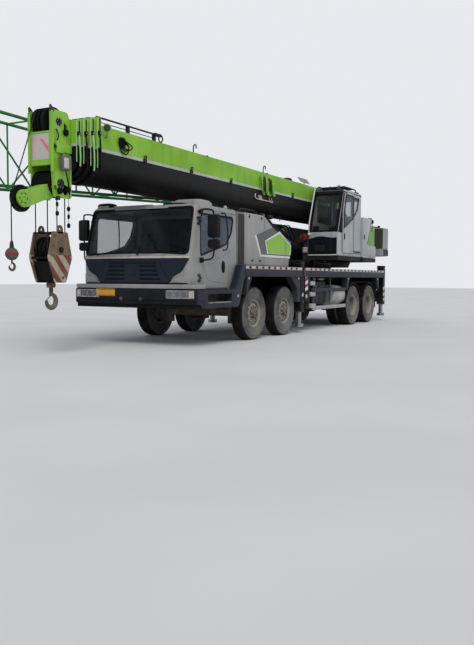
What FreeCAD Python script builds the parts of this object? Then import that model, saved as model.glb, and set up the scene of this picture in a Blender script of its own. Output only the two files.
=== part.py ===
import FreeCAD
import Part
import Sketcher
import math
import os

# A four-axle truck crane. X points forward, Y to the left and Z up, in millimetres.
# The origin lies on the ground below the middle of the crane's length and width.

# Driving sizes. A name that ends in _aft is a distance behind the front bumper's face.
SIZES = {
    # the whole crane and its travelling gear
    "half_width": 1375, "axle_one_aft": 2430, "front_axle_spacing": 1450,
    "rear_axle_spacing": 1350, "tyre_clearance": 97,
    "tyre_radius": 543, "tyre_width": 293, "bead_radius": 255, "bead_width": 220,
    "shoulder_drop": 26, "shoulder_inset": 18, "wall_bulge_radius": 400,
    "rim_wall": 14, "disc_wall": 16, "front_tyre_offset": 1155,
    "outer_tyre_offset": 1183, "twin_spacing": 335, "king_pin_offset": 930,
    "spindle_radius": 60, "hub_radius": 115, "hub_nose": 60, "dish_depth": 60,
    "knuckle_height": 300, "knuckle_depth": 110, "knuckle_width": 90,
    "king_pin_radius": 28, "axle_beam_height": 150, "axle_beam_depth": 140,
    "axle_end_gap": 34, "diff_radius": 220, "shaft_height": 945, "shaft_radius": 36, "slant_shaft_radius": 40,
    "spring_width": 84, "spring_length": 1090,
    "spring_height": 110, "spring_seat": 90,
    # small clearances
    "seat_gap": 0.3, "slide_gap": 10, "door_gap": 8,
    # chassis
    "rail_inner": 370, "rail_outer": 460, "rail_top": 1230, "rail_bottom": 900,
    "nose_rail_top": 980, "nose_rail_bottom": 720, "nose_rail_aft": 200,
    "rail_rise_start_aft": 1860, "rail_rise_end_aft": 2100, "nose_drop_start_aft": 1600,
    "nose_drop_end_aft": 1880,
    "cross_tube_radius": 70, "slew_box_half_length": 700,
    "slew_box_half_width": 640, "slew_box_top": 1440, "ring_radius": 620, "ring_top": 1590,
    "ring_bore": 450, "rest_front_aft": 1900, "rest_rear_aft": 2140, "rest_leg_inner": 300,
    "rest_leg_outer": 420, "rest_beam": 70,
    # outriggers
    "leg_behind_axle": 845, "leg_stagger": 320, "rear_leg_behind_axle": 980,
    "box_width": 300, "box_bottom": 560, "box_wall": 12, "box_half_length": 1140,
    "beam_width": 250, "beam_height": 280, "beam_reach": 1160, "beam_tail": 1080,
    "housing_side": 190, "housing_inner": 1160, "housing_bottom": 480, "housing_top": 1640,
    "leg_radius": 62, "leg_bottom": 205, "leg_top": 1500, "foot_radius": 110,
    "foot_bottom": 140, "foot_height": 80, "housing_bore_wall": 14,
    # deck
    "deck_top": 1500, "deck_skirt_bottom": 1300, "deck_plate": 30, "deck_front_aft": 1880,
    "deck_rear_margin": 130, "skirt_wall": 30, "bearer_depth": 90, "bearer_bottom": 1380,
    "deck_hole_margin": 40, "bay_half_width": 600, "bay_front_aft": 2240, "bay_rear_aft": 4200,
    # driver's cab
    "cab_half_width": 1210, "cab_wall": 60, "cab_face_aft": 72, "cab_rear_aft": 1850,
    "cab_floor": 1040, "cab_roof": 2590, "screen_bottom": 1655, "screen_top": 2490,
    "roof_front_aft": 330, "screen_half_width": 1090, "screen_sill": 60, "glass": 8,
    "door_front_aft": 420, "door_rear_aft": 1715, "door_bottom": 1060, "door_top": 2500,
    "window_front_aft": 520, "window_rear_aft": 1640, "window_top": 2420,
    "window_low_front": 1700, "window_low_mid_aft": 1100, "window_low_mid": 1850,
    "window_low_rear": 1950, "hump_front_aft": 820, "hump_rear_aft": 1500, "hump_top": 2712,
    "hump_inner": 250, "hump_outer": 900, "beacon_radius": 60, "beacon_aft": 560,
    "beacon_offset": 1000, "beacon_top": 2700, "grille_half_top": 640, "grille_half_bottom": 830,
    "grille_bottom": 1160, "grille_top": 1600, "grille_proud": 30, "louvre_pitch": 78,
    "louvre_height": 40, "louvre_depth": 22, "louvre_gap": 70, "louvre_inset": 60,
    "mount_block": 60, "hinge_radius": 14, "hinge_pin": 7, "hinge_plate": 4,
    "hinge_height": 150, "hinge_reach": 60, "hinge_low": 1180, "hinge_high": 2200,
    # seats and dashboard
    "dash_depth": 330, "dash_top": 1640, "seat_aft": 1180, "seat_offset": 640,
    "seat_depth": 480, "seat_width": 500, "seat_base_top": 1420, "seat_back_top": 2100,
    "seat_back_depth": 130, "console_half_width": 90, "wheel_ring": 220, "wheel_tube": 16, "wheel_tilt": 35,
    # mirrors
    "mirror_front_aft": 390, "mirror_depth": 90, "mirror_bottom": 1780,
    "mirror_top": 2360, "mirror_clearance": 120, "mirror_width": 230, "mirror_tube": 14,
    "mirror_arm": 11,
    # bumper and steps
    "bumper_bottom": 700, "bumper_top": 1150, "bumper_wall": 62, "bumper_flat_half": 1240,
    "bumper_corner_aft": 190, "bumper_side_inner": 1225, "door_room": 40, "step_front_aft": 440,
    "step_rear_aft": 1550, "step_bottom": 650, "step_top": 1030, "step_inner": 900,
    "step_side_gap": 120, "step_low": 760, "step_high": 960, "step_recess": 150,
    "lamp_inner": 750, "lamp_outer": 1130, "lamp_bottom": 860,
    "lamp_top": 1010, "lamp_depth": 30,
    # hood, intake and engine
    "hood_front_aft": 2180, "hood_top": 2570, "hood_brow_aft": 3050, "hood_knee_aft": 3560,
    "hood_knee": 2300, "hood_end_aft": 4380, "hood_end": 2080, "hood_foot_aft": 4280,
    "hood_half_width": 1200, "hood_wall": 40, "intake_front_aft": 1885, "intake_inner": 640,
    "intake_outer": 1180, "engine_front_aft": 2350, "engine_rear_aft": 3750,
    "engine_half_width": 340, "engine_top": 1850, "engine_bottom": 760,
    # side equipment
    "guard_clearance": 255, "guard_length": 1340, "guard_upper": 980, "guard_lower": 550,
    "guard_offset": 1335, "guard_section": 46, "tank_gap": 120, "tank_length": 850,
    "tank_offset": 1090, "tank_centre": 835, "tank_radius": 262, "bracket": 60,
    "locker_front_margin": 100, "locker_rear_margin": 80, "locker_bottom": 620,
    "locker_top": 1180, "locker_inner": 620, "locker_outer": 1180,
    # turntable
    "table_floor": 1650, "table_ahead": 690, "table_plate_inner": 385,
    "table_plate_outer": 415, "pivot_behind": 1650, "pivot_height": 3000, "pivot_radius": 60,
    "boss_radius": 105, "boss_proud": 20,
    "table_shoulder_behind": 450, "table_shoulder": 2300, "head_over_pivot": 190,
    "table_head_half": 210, "table_behind_pivot": 820, "table_rear_top": 2320,
    "table_front_top": 1980, "platform_bottom": 1740, "platform_top": 1850,
    "ballast_gap": 40, "ballast_length": 740, "ballast_bottom": 1950, "ballast_top": 2800,
    "ballast_half_width": 1350, "ballast_corner": 220,
    "cover_gap": 90, "cover_crest": 810, "cover_ledge": 2210, "cover_slant": 420, "cover_rear_margin": 620, "cover_top": 2980, "cover_inner": 440,
    "cover_outer": 1330, "right_cover_ahead": 550, "right_cover_top": 2700,
    # operator's cab
    "op_inner": 450, "op_outer": 1300, "op_wall": 45, "op_ahead": 1160, "op_length": 1770,
    "op_screen_bottom": 2450, "op_screen_slope": 410, "op_roof": 3600, "op_door_wall": 38,
    "op_door_setback": 270, "op_door_width": 770, "op_window_margin": 120,
    "op_window_bottom": 2640, "op_window_top": 3480, "op_door_bottom": 1960,
    "op_door_top": 3540, "op_rail": 24, "op_screen_margin": 60, "op_seat_setback": 1160,
    "op_seat_offset": 880,
    # winches
    "main_winch_behind": 500, "aux_winch_ahead": 200, "winch_height": 2120,
    "drum_radius": 165, "drum_flange": 235, "drum_half_width": 330, "flange_wall": 22,
    "winch_shaft": 40,
    # luffing cylinder
    "cylinder_foot_behind": 50, "cylinder_foot_height": 1800, "cylinder_reach": 3000,
    "cylinder_head_drop": 600, "barrel_radius": 125, "barrel_bore": 95,
    "barrel_length": 2800, "barrel_start": 150, "barrel_base": 60, "rod_radius": 80,
    "rod_buried": 2730, "piston_length": 110,
    "eye_width": 176, "eye_radius": 105, "cylinder_pin": 50, "rod_eye_bore": 52,
    "ear_wall": 30, "ear_gap": 8, "ear_half_length": 130, "ear_drop": 90, "gland_radius": 145,
    "gland_length": 90,
    # boom
    "boom_over_pivot": 250, "boom_height": 960, "boom_half_width": 350, "section_step": 35,
    "boom_wall": 12, "boom_overhang": 300, "collar_front_ahead": 1450, "collar_pitch": 125,
    "collar_length": 100, "collar_proud": 88, "collar_keel": 26, "section_tail_ahead": 600,
    "tail_pitch": 100, "wear_pad": 150,
    # boom head
    "head_front_ahead": 2270, "head_plate_inner": 198, "head_plate_outer": 222,
    "head_rise": 560, "head_drop": 770, "head_low_front_ahead": 2180,
    "sheave_ahead": 2060, "sheave_drop": 650, "sheave_radius": 205, "sheave_wall": 42,
    "sheave_pitch": 60, "sheave_shaft": 38, "groove_depth": 22, "sheave_lip": 5,
    "guide_ahead": 2090, "guide_rise": 390, "guide_radius": 230, "cross_bar": 35,
    "rooster_ahead": 2780, "rooster_drop": 840, "rooster_radius": 200, "rooster_offset": 100,
    "rooster_plate": 16, "rooster_gap": 40, "rooster_arm_height": 150,
    # jib
    "jib_clearance": 210, "jib_width": 530, "jib_front_rise": 540, "jib_front_drop": 610,
    "jib_front_ahead": 2950, "jib_rear_aft": 5600, "jib_rear_drop": 190, "jib_rear_rise": 390,
    "jib_tube": 52, "jib_lace": 30,
    # hooks
    "block_top": 1960, "block_shoulder": 1560, "block_bottom": 1170, "block_top_half": 165,
    "block_shoulder_half": 265, "block_bottom_half": 120, "block_half_width": 105,
    "block_plate": 26, "rope_radius": 9,
    "hook_shank": 32, "hook_centre": 880, "hook_ring": 105, "hook_tube": 40,
    "ball_height": 1590, "ball_radius": 95, "small_hook_ring": 52, "small_hook_tube": 18,
    "small_hook_shank": 15,
}

doc = FreeCAD.newDocument("TruckCrane")
sheet = doc.addObject("Spreadsheet::Sheet", "Dims")
for row, (alias, number) in enumerate(SIZES.items(), start=1):
    sheet.set(f"A{row}", alias)
    sheet.set(f"B{row}", str(number))
    sheet.setAlias(f"B{row}", alias)
doc.recompute()


class Size:
    """A number together with the sheet expression that gives it."""

    def __init__(self, value, text):
        self.value = value
        self.text = text

    def __add__(self, other):
        other = as_size(other)
        return Size(self.value + other.value, f"{self.text} + {other.text}")

    def __sub__(self, other):
        other = as_size(other)
        return Size(self.value - other.value, f"{self.text} - ({other.text})")

    def __neg__(self):
        return Size(-self.value, f"0 - ({self.text})")

    def __mul__(self, factor):
        return Size(self.value * factor, f"({self.text}) * ({factor})")

    def __truediv__(self, divisor):
        return Size(self.value / divisor, f"({self.text}) / ({divisor})")


class Sheet:
    """Gives each alias of the sheet as a Size."""

    def __getattr__(self, alias):
        return Size(float(sheet.get(alias)), f"Dims.{alias}")


def as_size(number):
    return number if isinstance(number, Size) else Size(float(number), f"({number})")


def bind(thing, prop, size):
    """Ties one property of a document object to the sheet."""
    thing.setExpression(prop, as_size(size).text)


def place(thing, x=0, y=0, z=0):
    for axis, size in (("x", x), ("y", y), ("z", z)):
        bind(thing, f"Placement.Base.{axis}", size)
    return thing


d = Sheet()

# Places along the carrier, each from the one ahead of it
d.axle_two_aft = d.axle_one_aft + d.front_axle_spacing
d.front_left_leg_aft = d.axle_two_aft + d.leg_behind_axle
d.front_right_leg_aft = d.front_left_leg_aft + d.leg_stagger
d.guard_front_aft = d.front_right_leg_aft + d.guard_clearance
d.guard_rear_aft = d.guard_front_aft + d.guard_length
d.locker_front_aft = d.guard_front_aft + d.locker_front_margin
d.locker_rear_aft = d.guard_rear_aft - d.locker_rear_margin
d.tank_front_aft = d.guard_rear_aft + d.tank_gap
d.tank_rear_aft = d.tank_front_aft + d.tank_length
d.axle_three_aft = d.tank_rear_aft + d.tyre_radius + d.tyre_clearance
d.axle_four_aft = d.axle_three_aft + d.rear_axle_spacing
d.rear_right_leg_aft = d.axle_four_aft + d.rear_leg_behind_axle
d.rear_left_leg_aft = d.rear_right_leg_aft + d.leg_stagger
d.deck_rear_aft = d.rear_left_leg_aft - d.deck_rear_margin
d.carrier_end_aft = d.rear_left_leg_aft + d.box_width / 2

# Places on the turntable, from the slewing ring over the third axle
d.slew_aft = d.axle_three_aft
d.pivot_aft = d.slew_aft + d.pivot_behind
d.table_front_aft = d.slew_aft - d.table_ahead
d.table_shoulder_aft = d.slew_aft + d.table_shoulder_behind
d.table_rear_aft = d.pivot_aft + d.table_behind_pivot
d.ballast_front_aft = d.table_rear_aft + d.ballast_gap
d.tail_aft = d.ballast_front_aft + d.ballast_length
d.op_front_aft = d.slew_aft - d.op_ahead
d.op_rear_aft = d.op_front_aft + d.op_length
d.op_roof_front_aft = d.op_front_aft + d.op_screen_slope
d.op_door_front_aft = d.op_front_aft + d.op_door_setback
d.op_door_rear_aft = d.op_door_front_aft + d.op_door_width
d.op_window_rear_aft = d.op_rear_aft - d.op_window_margin
d.op_seat_aft = d.op_front_aft + d.op_seat_setback
d.cover_front_aft = d.op_rear_aft + d.cover_gap
d.cover_rear_aft = d.table_rear_aft - d.cover_rear_margin
d.right_cover_front_aft = d.slew_aft - d.right_cover_ahead
d.main_winch_aft = d.pivot_aft + d.main_winch_behind
d.aux_winch_aft = d.pivot_aft - d.aux_winch_ahead
d.cylinder_foot_aft = d.slew_aft + d.cylinder_foot_behind
d.cylinder_head_aft = d.cylinder_foot_aft - d.cylinder_reach
d.boom_tail_aft = d.pivot_aft + d.boom_overhang
d.section_tail_aft = d.pivot_aft - d.section_tail_ahead

# Heights on the boom and its head, from the boom's pivot
d.table_head = d.pivot_height + d.head_over_pivot
d.boom_centre = d.pivot_height + d.boom_over_pivot
d.cylinder_head_height = d.boom_centre - d.cylinder_head_drop
d.head_top = d.boom_centre + d.head_rise
d.head_bottom = d.boom_centre - d.head_drop
d.sheave_height = d.boom_centre - d.sheave_drop
d.guide_height = d.boom_centre + d.guide_rise
d.rooster_height = d.boom_centre - d.rooster_drop
d.jib_top_front = d.boom_centre + d.jib_front_rise
d.jib_low_front = d.boom_centre - d.jib_front_drop
d.jib_low_rear = d.boom_centre - d.jib_rear_drop
d.jib_top_rear = d.boom_centre + d.jib_rear_rise

# Offsets to the side
d.mirror_inner = d.cab_half_width + d.mirror_clearance
d.mirror_outer = d.mirror_inner + d.mirror_width
d.mirror_rear_aft = d.mirror_front_aft + d.mirror_depth
d.jib_inner = d.boom_half_width + d.jib_clearance
d.jib_outer = d.jib_inner + d.jib_width

hook_rope_ahead = d.rooster_ahead + d.rooster_radius - d.groove_depth + d.rope_radius + d.seat_gap
nose = (d.tail_aft - hook_rope_ahead - d.ball_radius) / 2
nodes = {}
CENTRE = as_size(0)
LOUVRES = 5
JIB_BAYS = 8


def aft(distance):
    """X of a point that lies this far behind the bumper's face."""
    return nose - distance


def ahead(distance):
    """X of a point that lies this far ahead of the bumper's face."""
    return nose + distance


def span(side, low, high):
    """A stretch of Y from the middle outwards, on the left (1) or the right (-1)."""
    return (low, high) if side > 0 else (-high, -low)


def keep(label, thing):
    """Names a finished sub-part, which becomes one file."""
    thing.Label = label
    nodes[label] = thing
    return thing


def box(x, y, z):
    """A block between two values on each axis."""
    block = doc.addObject("Part::Box", "Block")
    for prop, (low, high) in (("Length", x), ("Width", y), ("Height", z)):
        bind(block, prop, as_size(high) - low)
    return place(block, x[0], y[0], z[0])


AXIS_TURNS = {
    "x": FreeCAD.Rotation(FreeCAD.Vector(0, 1, 0), 90),
    "y": FreeCAD.Rotation(FreeCAD.Vector(1, 0, 0), -90),
    "z": FreeCAD.Rotation(),
}


def cylinder(axis, centre, ends, radius):
    """A cylinder along x, y or z. centre gives the other two coordinates in that order."""
    rod = doc.addObject("Part::Cylinder", "Rod")
    rod.Placement = FreeCAD.Placement(FreeCAD.Vector(), AXIS_TURNS[axis])
    bind(rod, "Radius", radius)
    bind(rod, "Height", as_size(ends[1]) - ends[0])
    spot = list(centre)
    spot.insert("xyz".index(axis), ends[0])
    return place(rod, *spot)


PLANES = {"XY": ("XY_Plane", 1), "XZ": ("XZ_Plane", -1), "YZ": ("YZ_Plane", 1)}


def sketched_body(plane, points):
    """A body with one closed outline, each corner held from the sketch's origin."""
    body = doc.addObject("PartDesign::Body", "Shape")
    sketch = body.newObject("Sketcher::SketchObject", "Outline")
    role = PLANES[plane][0]
    origin_plane = [part for part in body.Origin.OriginFeatures if part.Role == role][0]
    sketch.AttachmentSupport = [(origin_plane, "")]
    sketch.MapMode = "FlatFace"
    points = [(as_size(u), as_size(v)) for u, v in points]
    corners = [FreeCAD.Vector(u.value, v.value, 0) for u, v in points]
    count = len(corners)
    for index, corner in enumerate(corners):
        sketch.addGeometry(Part.LineSegment(corner, corners[(index + 1) % count]), False)
    for index in range(count):
        sketch.addConstraint(Sketcher.Constraint("Coincident", index, 2, (index + 1) % count, 1))
    for index, (u, v) in enumerate(points):
        for kind, size in (("DistanceX", u), ("DistanceY", v)):
            held = sketch.addConstraint(Sketcher.Constraint(kind, -1, 1, index, 1, size.value))
            name = f"{kind}{index}"
            sketch.renameConstraint(held, name)
            sketch.setExpression(f"Constraints.{name}", size.text)
    return body, sketch


def prism(plane, points, low, high):
    """An outline in XY, XZ or YZ, drawn out along the third axis from low to high."""
    body, sketch = sketched_body(plane, points)
    pad = body.newObject("PartDesign::Pad", "Pad")
    pad.Profile = sketch
    bind(pad, "Length", as_size(high) - low)
    body.Tip = pad
    start = {"XY": (0, 0, low), "XZ": (0, high, 0), "YZ": (low, 0, 0)}[plane]
    return place(body, *start)


def turned(points, x, y, z):
    """A ring or wheel about an axle along Y; points are (radius, offset along Y)."""
    body, sketch = sketched_body("YZ", [(offset, radius) for radius, offset in points])
    spun = body.newObject("PartDesign::Revolution", "Turning")
    spun.Profile = sketch
    spun.ReferenceAxis = (sketch, ["H_Axis"])
    spun.Angle = 360
    body.Tip = spun
    return place(body, x, y, z)


def fuse(*things):
    joined = doc.addObject("Part::MultiFuse", "Joined")
    joined.Shapes = list(things)
    return joined


def cut(base, *tools):
    carved = doc.addObject("Part::Cut", "Carved")
    carved.Base = base
    carved.Tool = tools[0] if len(tools) == 1 else fuse(*tools)
    return carved


def bar_between(start, end, radius):
    """A round bar between two points, for members that lie at a slant."""
    first = FreeCAD.Vector(*[as_size(value).value for value in start])
    last = FreeCAD.Vector(*[as_size(value).value for value in end])
    run = last - first
    bar = doc.addObject("Part::Feature", "Bar")
    bar.Shape = Part.makeCylinder(as_size(radius).value, run.Length, first, run)
    return bar


# Carrier
def chassis_frame():
    solids = []
    outline = [
        (aft(d.nose_rail_aft), d.nose_rail_bottom), (aft(d.nose_rail_aft), d.nose_rail_top),
        (aft(d.rail_rise_start_aft), d.nose_rail_top), (aft(d.rail_rise_end_aft), d.rail_top),
        (aft(d.carrier_end_aft), d.rail_top), (aft(d.carrier_end_aft), d.rail_bottom),
        (aft(d.nose_drop_end_aft), d.rail_bottom),
        (aft(d.nose_drop_start_aft), d.nose_rail_bottom),
    ]
    for side in (1, -1):
        solids.append(prism("XZ", outline, *span(side, d.rail_inner, d.rail_outer)))
    cross_height = (d.rail_top + d.rail_bottom) / 2
    for place_aft in (d.axle_two_aft + d.tyre_radius, d.guard_rear_aft, d.rear_right_leg_aft):
        solids.append(cylinder("y", (aft(place_aft), cross_height),
                               (-d.rail_inner, d.rail_inner), d.cross_tube_radius))
    nose_height = (d.nose_rail_top + d.nose_rail_bottom) / 2
    solids.append(cylinder("y", (aft(d.step_front_aft), nose_height),
                           (-d.rail_inner, d.rail_inner), d.cross_tube_radius))
    slew_x = aft(d.slew_aft)
    slew_box = box((slew_x - d.slew_box_half_length, slew_x + d.slew_box_half_length),
                   (-d.slew_box_half_width, d.slew_box_half_width),
                   (d.rail_top, d.slew_box_top))
    ring = cylinder("z", (slew_x, 0), (d.slew_box_top, d.ring_top), d.ring_radius)
    bore = cylinder("z", (slew_x, 0), (d.rail_top, d.ring_top), d.ring_bore)
    solids.append(cut(fuse(slew_box, ring), bore))
    rest_x = (aft(d.rest_rear_aft), aft(d.rest_front_aft))
    keel = d.boom_centre - d.boom_height / 2
    for side in (1, -1):
        solids.append(box(rest_x, span(side, d.rest_leg_inner, d.rest_leg_outer),
                          (d.rail_bottom + d.cross_tube_radius, keel - d.rest_beam)))
    solids.append(box(rest_x, (-d.rest_leg_outer, d.rest_leg_outer),
                      (keel - d.rest_beam, keel - d.seat_gap)))
    for leg_aft in (d.front_left_leg_aft, d.front_right_leg_aft,
                    d.rear_left_leg_aft, d.rear_right_leg_aft):
        solids.append(outrigger_box(leg_aft))
    return keep("chassis_frame", fuse(*solids))


def outrigger_box(leg_aft):
    """The square tube across the chassis that one outrigger beam slides in."""
    middle = aft(leg_aft)
    half = d.box_width / 2
    outer = box((middle - half, middle + half), (-d.box_half_length, d.box_half_length),
                (d.box_bottom, d.rail_bottom))
    inner = box((middle - half + d.box_wall, middle + half - d.box_wall),
                (-d.box_half_length, d.box_half_length),
                (d.box_bottom + d.box_wall, d.rail_bottom - d.box_wall))
    return cut(outer, inner)


# side, leg position and node name of each outrigger
OUTRIGGERS = [
    ("fl", 1, "front_left_leg_aft"), ("fr", -1, "front_right_leg_aft"),
    ("rl", 1, "rear_left_leg_aft"), ("rr", -1, "rear_right_leg_aft"),
]


def outriggers():
    for name, side, leg_name in OUTRIGGERS:
        middle = aft(getattr(d, leg_name))
        low = d.box_bottom + d.box_wall + d.seat_gap
        arm = box((middle - d.beam_width / 2, middle + d.beam_width / 2),
                  span(side, -d.beam_tail, d.beam_reach), (low, low + d.beam_height))
        half = d.housing_side / 2
        axis_y = (d.housing_inner + half) * side
        housing = box((middle - half, middle + half),
                      span(side, d.housing_inner, d.housing_inner + d.housing_side),
                      (d.housing_bottom, d.housing_top))
        bore = cylinder("z", (middle, axis_y),
                        (d.housing_bottom, d.housing_top - d.housing_bore_wall),
                        d.leg_radius + d.seat_gap)
        keep(f"outrigger_beam_{name}", cut(fuse(arm, housing), bore))
        leg = cylinder("z", (middle, axis_y), (d.leg_bottom, d.leg_top), d.leg_radius)
        foot = cylinder("z", (middle, axis_y), (d.foot_bottom, d.foot_bottom + d.foot_height),
                        d.foot_radius)
        keep(f"jack_{name}", fuse(leg, foot))


def carrier_deck():
    plate = box((aft(d.deck_rear_aft), aft(d.deck_front_aft)), (-d.half_width, d.half_width),
                (d.deck_top - d.deck_plate, d.deck_top))
    solids = [plate]
    for side in (1, -1):
        solids.append(box((aft(d.deck_rear_aft), aft(d.deck_front_aft)),
                          span(side, d.half_width - d.skirt_wall, d.half_width),
                          (d.deck_skirt_bottom, d.deck_top)))
    behind_rest = d.rest_rear_aft + d.slide_gap + d.bearer_depth
    bearers = (behind_rest, d.axle_two_aft + d.tyre_radius,
               d.guard_front_aft, d.guard_rear_aft, d.axle_four_aft,
               d.deck_rear_aft - d.bearer_depth)
    for bearer_aft in bearers:
        x = (aft(bearer_aft), aft(bearer_aft) + d.bearer_depth)
        solids.append(box(x, (-d.half_width, d.half_width), (d.bearer_bottom, d.deck_top)))
        for side in (1, -1):
            solids.append(box(x, span(side, d.rail_inner, d.rail_outer),
                              (d.rail_top + d.seat_gap, d.bearer_bottom)))
    holes = [slew_hole(), engine_bay()]
    margin = d.housing_side / 2 + d.slide_gap
    for name, side, leg_name in OUTRIGGERS:
        middle = aft(getattr(d, leg_name))
        holes.append(box((middle - margin, middle + margin),
                         span(side, d.housing_inner - d.slide_gap, d.half_width * 2),
                         (d.deck_skirt_bottom, d.deck_top)))
    return keep("carrier_deck", cut(fuse(*solids), *holes))


def slew_hole():
    slew_x = aft(d.slew_aft)
    reach = d.slew_box_half_length + d.deck_hole_margin
    half = d.slew_box_half_width + d.deck_hole_margin
    return box((slew_x - reach, slew_x + reach), (-half, half),
               (d.deck_skirt_bottom, d.deck_top))


def engine_bay():
    """The opening in the deck for the engine and for the boom rest's legs."""
    bay = box((aft(d.bay_rear_aft), aft(d.bay_front_aft)),
              (-d.bay_half_width, d.bay_half_width), (d.deck_skirt_bottom, d.deck_top))
    legs = box((aft(d.rest_rear_aft + d.slide_gap), aft(d.rest_front_aft - d.slide_gap)),
               (-d.rest_leg_outer - d.slide_gap, d.rest_leg_outer + d.slide_gap),
               (d.deck_skirt_bottom, d.deck_top))
    return fuse(bay, legs)


def cab_outline(inset):
    """The side view of the driver's cab, drawn in by a wall's thickness."""
    return [
        (aft(d.cab_face_aft + inset), d.cab_floor + inset),
        (aft(d.cab_face_aft + inset), d.screen_bottom),
        (aft(d.roof_front_aft + inset), d.cab_roof - inset),
        (aft(d.cab_rear_aft - inset), d.cab_roof - inset),
        (aft(d.cab_rear_aft - inset), d.cab_floor + inset),
    ]


def door_outline(gap):
    return [
        (aft(d.door_front_aft + gap), d.door_bottom + gap),
        (aft(d.door_front_aft + gap), d.door_top - gap),
        (aft(d.door_rear_aft - gap), d.door_top - gap),
        (aft(d.door_rear_aft - gap), d.door_bottom + gap),
    ]


def window_outline(gap):
    return [
        (aft(d.window_front_aft + gap), d.window_low_front + gap),
        (aft(d.window_front_aft + gap), d.window_top - gap),
        (aft(d.window_rear_aft - gap), d.window_top - gap),
        (aft(d.window_rear_aft - gap), d.window_low_rear + gap),
        (aft(d.window_low_mid_aft), d.window_low_mid + gap),
    ]


def screen_cutter(gap):
    """The windscreen's opening, right through the sloping front."""
    return box((aft(d.roof_front_aft + d.cab_wall * 2), aft(0)),
               (-d.screen_half_width + gap, d.screen_half_width - gap),
               (d.screen_bottom + d.screen_sill + gap, d.screen_top - gap))


def cab_shell():
    skin = prism("XZ", cab_outline(CENTRE), -d.cab_half_width, d.cab_half_width)
    room = prism("XZ", cab_outline(d.cab_wall), -d.cab_half_width + d.cab_wall,
                 d.cab_half_width - d.cab_wall)
    openings = [screen_cutter(CENTRE)]
    for side in (1, -1):
        openings.append(prism("XZ", door_outline(CENTRE),
                              *span(side, d.cab_half_width - d.cab_wall * 2, d.half_width)))
    hull = cut(skin, room, *openings)
    hump = box((aft(d.hump_rear_aft), aft(d.hump_front_aft)), (d.hump_inner, d.hump_outer),
               (d.cab_roof, d.hump_top))
    beacon = cylinder("z", (aft(d.beacon_aft), -d.beacon_offset),
                      (d.cab_roof, d.beacon_top), d.beacon_radius)
    feet = []
    for side in (1, -1):
        for foot_aft in (d.door_front_aft, d.rail_rise_start_aft - d.mount_block):
            feet.append(box((aft(foot_aft), aft(foot_aft) + d.mount_block),
                            span(side, d.rail_inner, d.rail_outer),
                            (d.nose_rail_top + d.seat_gap, d.cab_floor)))
    hinges = door_hinges(1)[1] + door_hinges(-1)[1]
    return keep("cab_shell", fuse(hull, grille_panel(), hump, beacon, *feet, *hinges))


def grille_panel():
    front = aft(d.cab_face_aft - d.grille_proud)
    outline = [
        (-d.grille_half_bottom, d.grille_bottom), (d.grille_half_bottom, d.grille_bottom),
        (d.grille_half_top, d.grille_top), (-d.grille_half_top, d.grille_top),
    ]
    panel = prism("YZ", outline, aft(d.cab_face_aft), front)
    louvres = []
    for side in (1, -1):
        for row in range(LOUVRES):
            low = d.grille_bottom + d.louvre_inset + d.louvre_pitch * row
            louvres.append(box((front - d.louvre_depth, front),
                               span(side, d.louvre_gap, d.grille_half_top - d.louvre_inset),
                               (low, low + d.louvre_height)))
    return cut(panel, *louvres)


def cab_glass():
    outline = [
        (aft(d.cab_face_aft + d.glass), d.screen_bottom),
        (aft(d.roof_front_aft + d.glass), d.cab_roof),
        (aft(d.roof_front_aft + d.glass * 3), d.cab_roof),
        (aft(d.cab_face_aft + d.glass * 3), d.screen_bottom),
    ]
    pane = prism("XZ", outline, -d.screen_half_width + d.seat_gap,
                 d.screen_half_width - d.seat_gap)
    trimmed = doc.addObject("Part::Common", "Trimmed")
    trimmed.Base = pane
    trimmed.Tool = screen_cutter(d.seat_gap)
    return keep("cab_glass", trimmed)


def cab_interior():
    floor = d.cab_floor + d.cab_wall + d.seat_gap
    inner = d.cab_half_width - d.cab_wall - d.slide_gap
    dash_x = aft(d.cab_face_aft + d.cab_wall + d.slide_gap)
    solids = [box((dash_x - d.dash_depth, dash_x), (-inner, inner), (floor, d.dash_top))]
    for side in (1, -1):
        middle = d.seat_offset * side
        y = (middle - d.seat_width / 2, middle + d.seat_width / 2)
        solids.append(box((aft(d.seat_aft) - d.seat_depth / 2, aft(d.seat_aft) + d.seat_depth / 2),
                          y, (floor, d.seat_base_top)))
        back = aft(d.seat_aft) - d.seat_depth / 2
        solids.append(box((back - d.seat_back_depth, back), y, (floor, d.seat_back_top)))
    solids.append(box((aft(d.seat_aft), dash_x - d.dash_depth),
                      (-d.console_half_width, d.console_half_width),
                      (floor, floor + d.wheel_ring)))
    solids.append(steering_wheel(dash_x - d.dash_depth))
    return keep("cab_interior", fuse(*solids))


def steering_wheel(dash_x):
    """A ring on a slanted column that grows out of the dashboard."""
    tilt = math.radians(d.wheel_tilt.value)
    direction = FreeCAD.Vector(-math.sin(tilt), 0, math.cos(tilt))
    foot = FreeCAD.Vector((dash_x + d.wheel_tube).value, d.seat_offset.value,
                          (d.dash_top - d.wheel_ring / 2).value)
    centre = foot + direction * d.wheel_ring.value
    reach = d.wheel_ring.value - d.wheel_tube.value
    wheel = doc.addObject("Part::Feature", "SteeringWheel")
    face = centre - direction * d.wheel_tube.value
    ring = Part.makeCylinder(d.wheel_ring.value, d.wheel_tube.value * 2, face, direction).cut(
        Part.makeCylinder(d.wheel_ring.value - d.wheel_tube.value * 2, d.wheel_tube.value * 2,
                          face, direction))
    column = Part.makeCylinder(d.wheel_tube.value * 2, d.wheel_ring.value, foot, direction)
    across = FreeCAD.Vector(0, 1, 0)
    spoke = Part.makeCylinder(d.wheel_tube.value / 2, reach * 2, centre - across * reach, across)
    wheel.Shape = ring.fuse([column, spoke])
    return wheel


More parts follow.
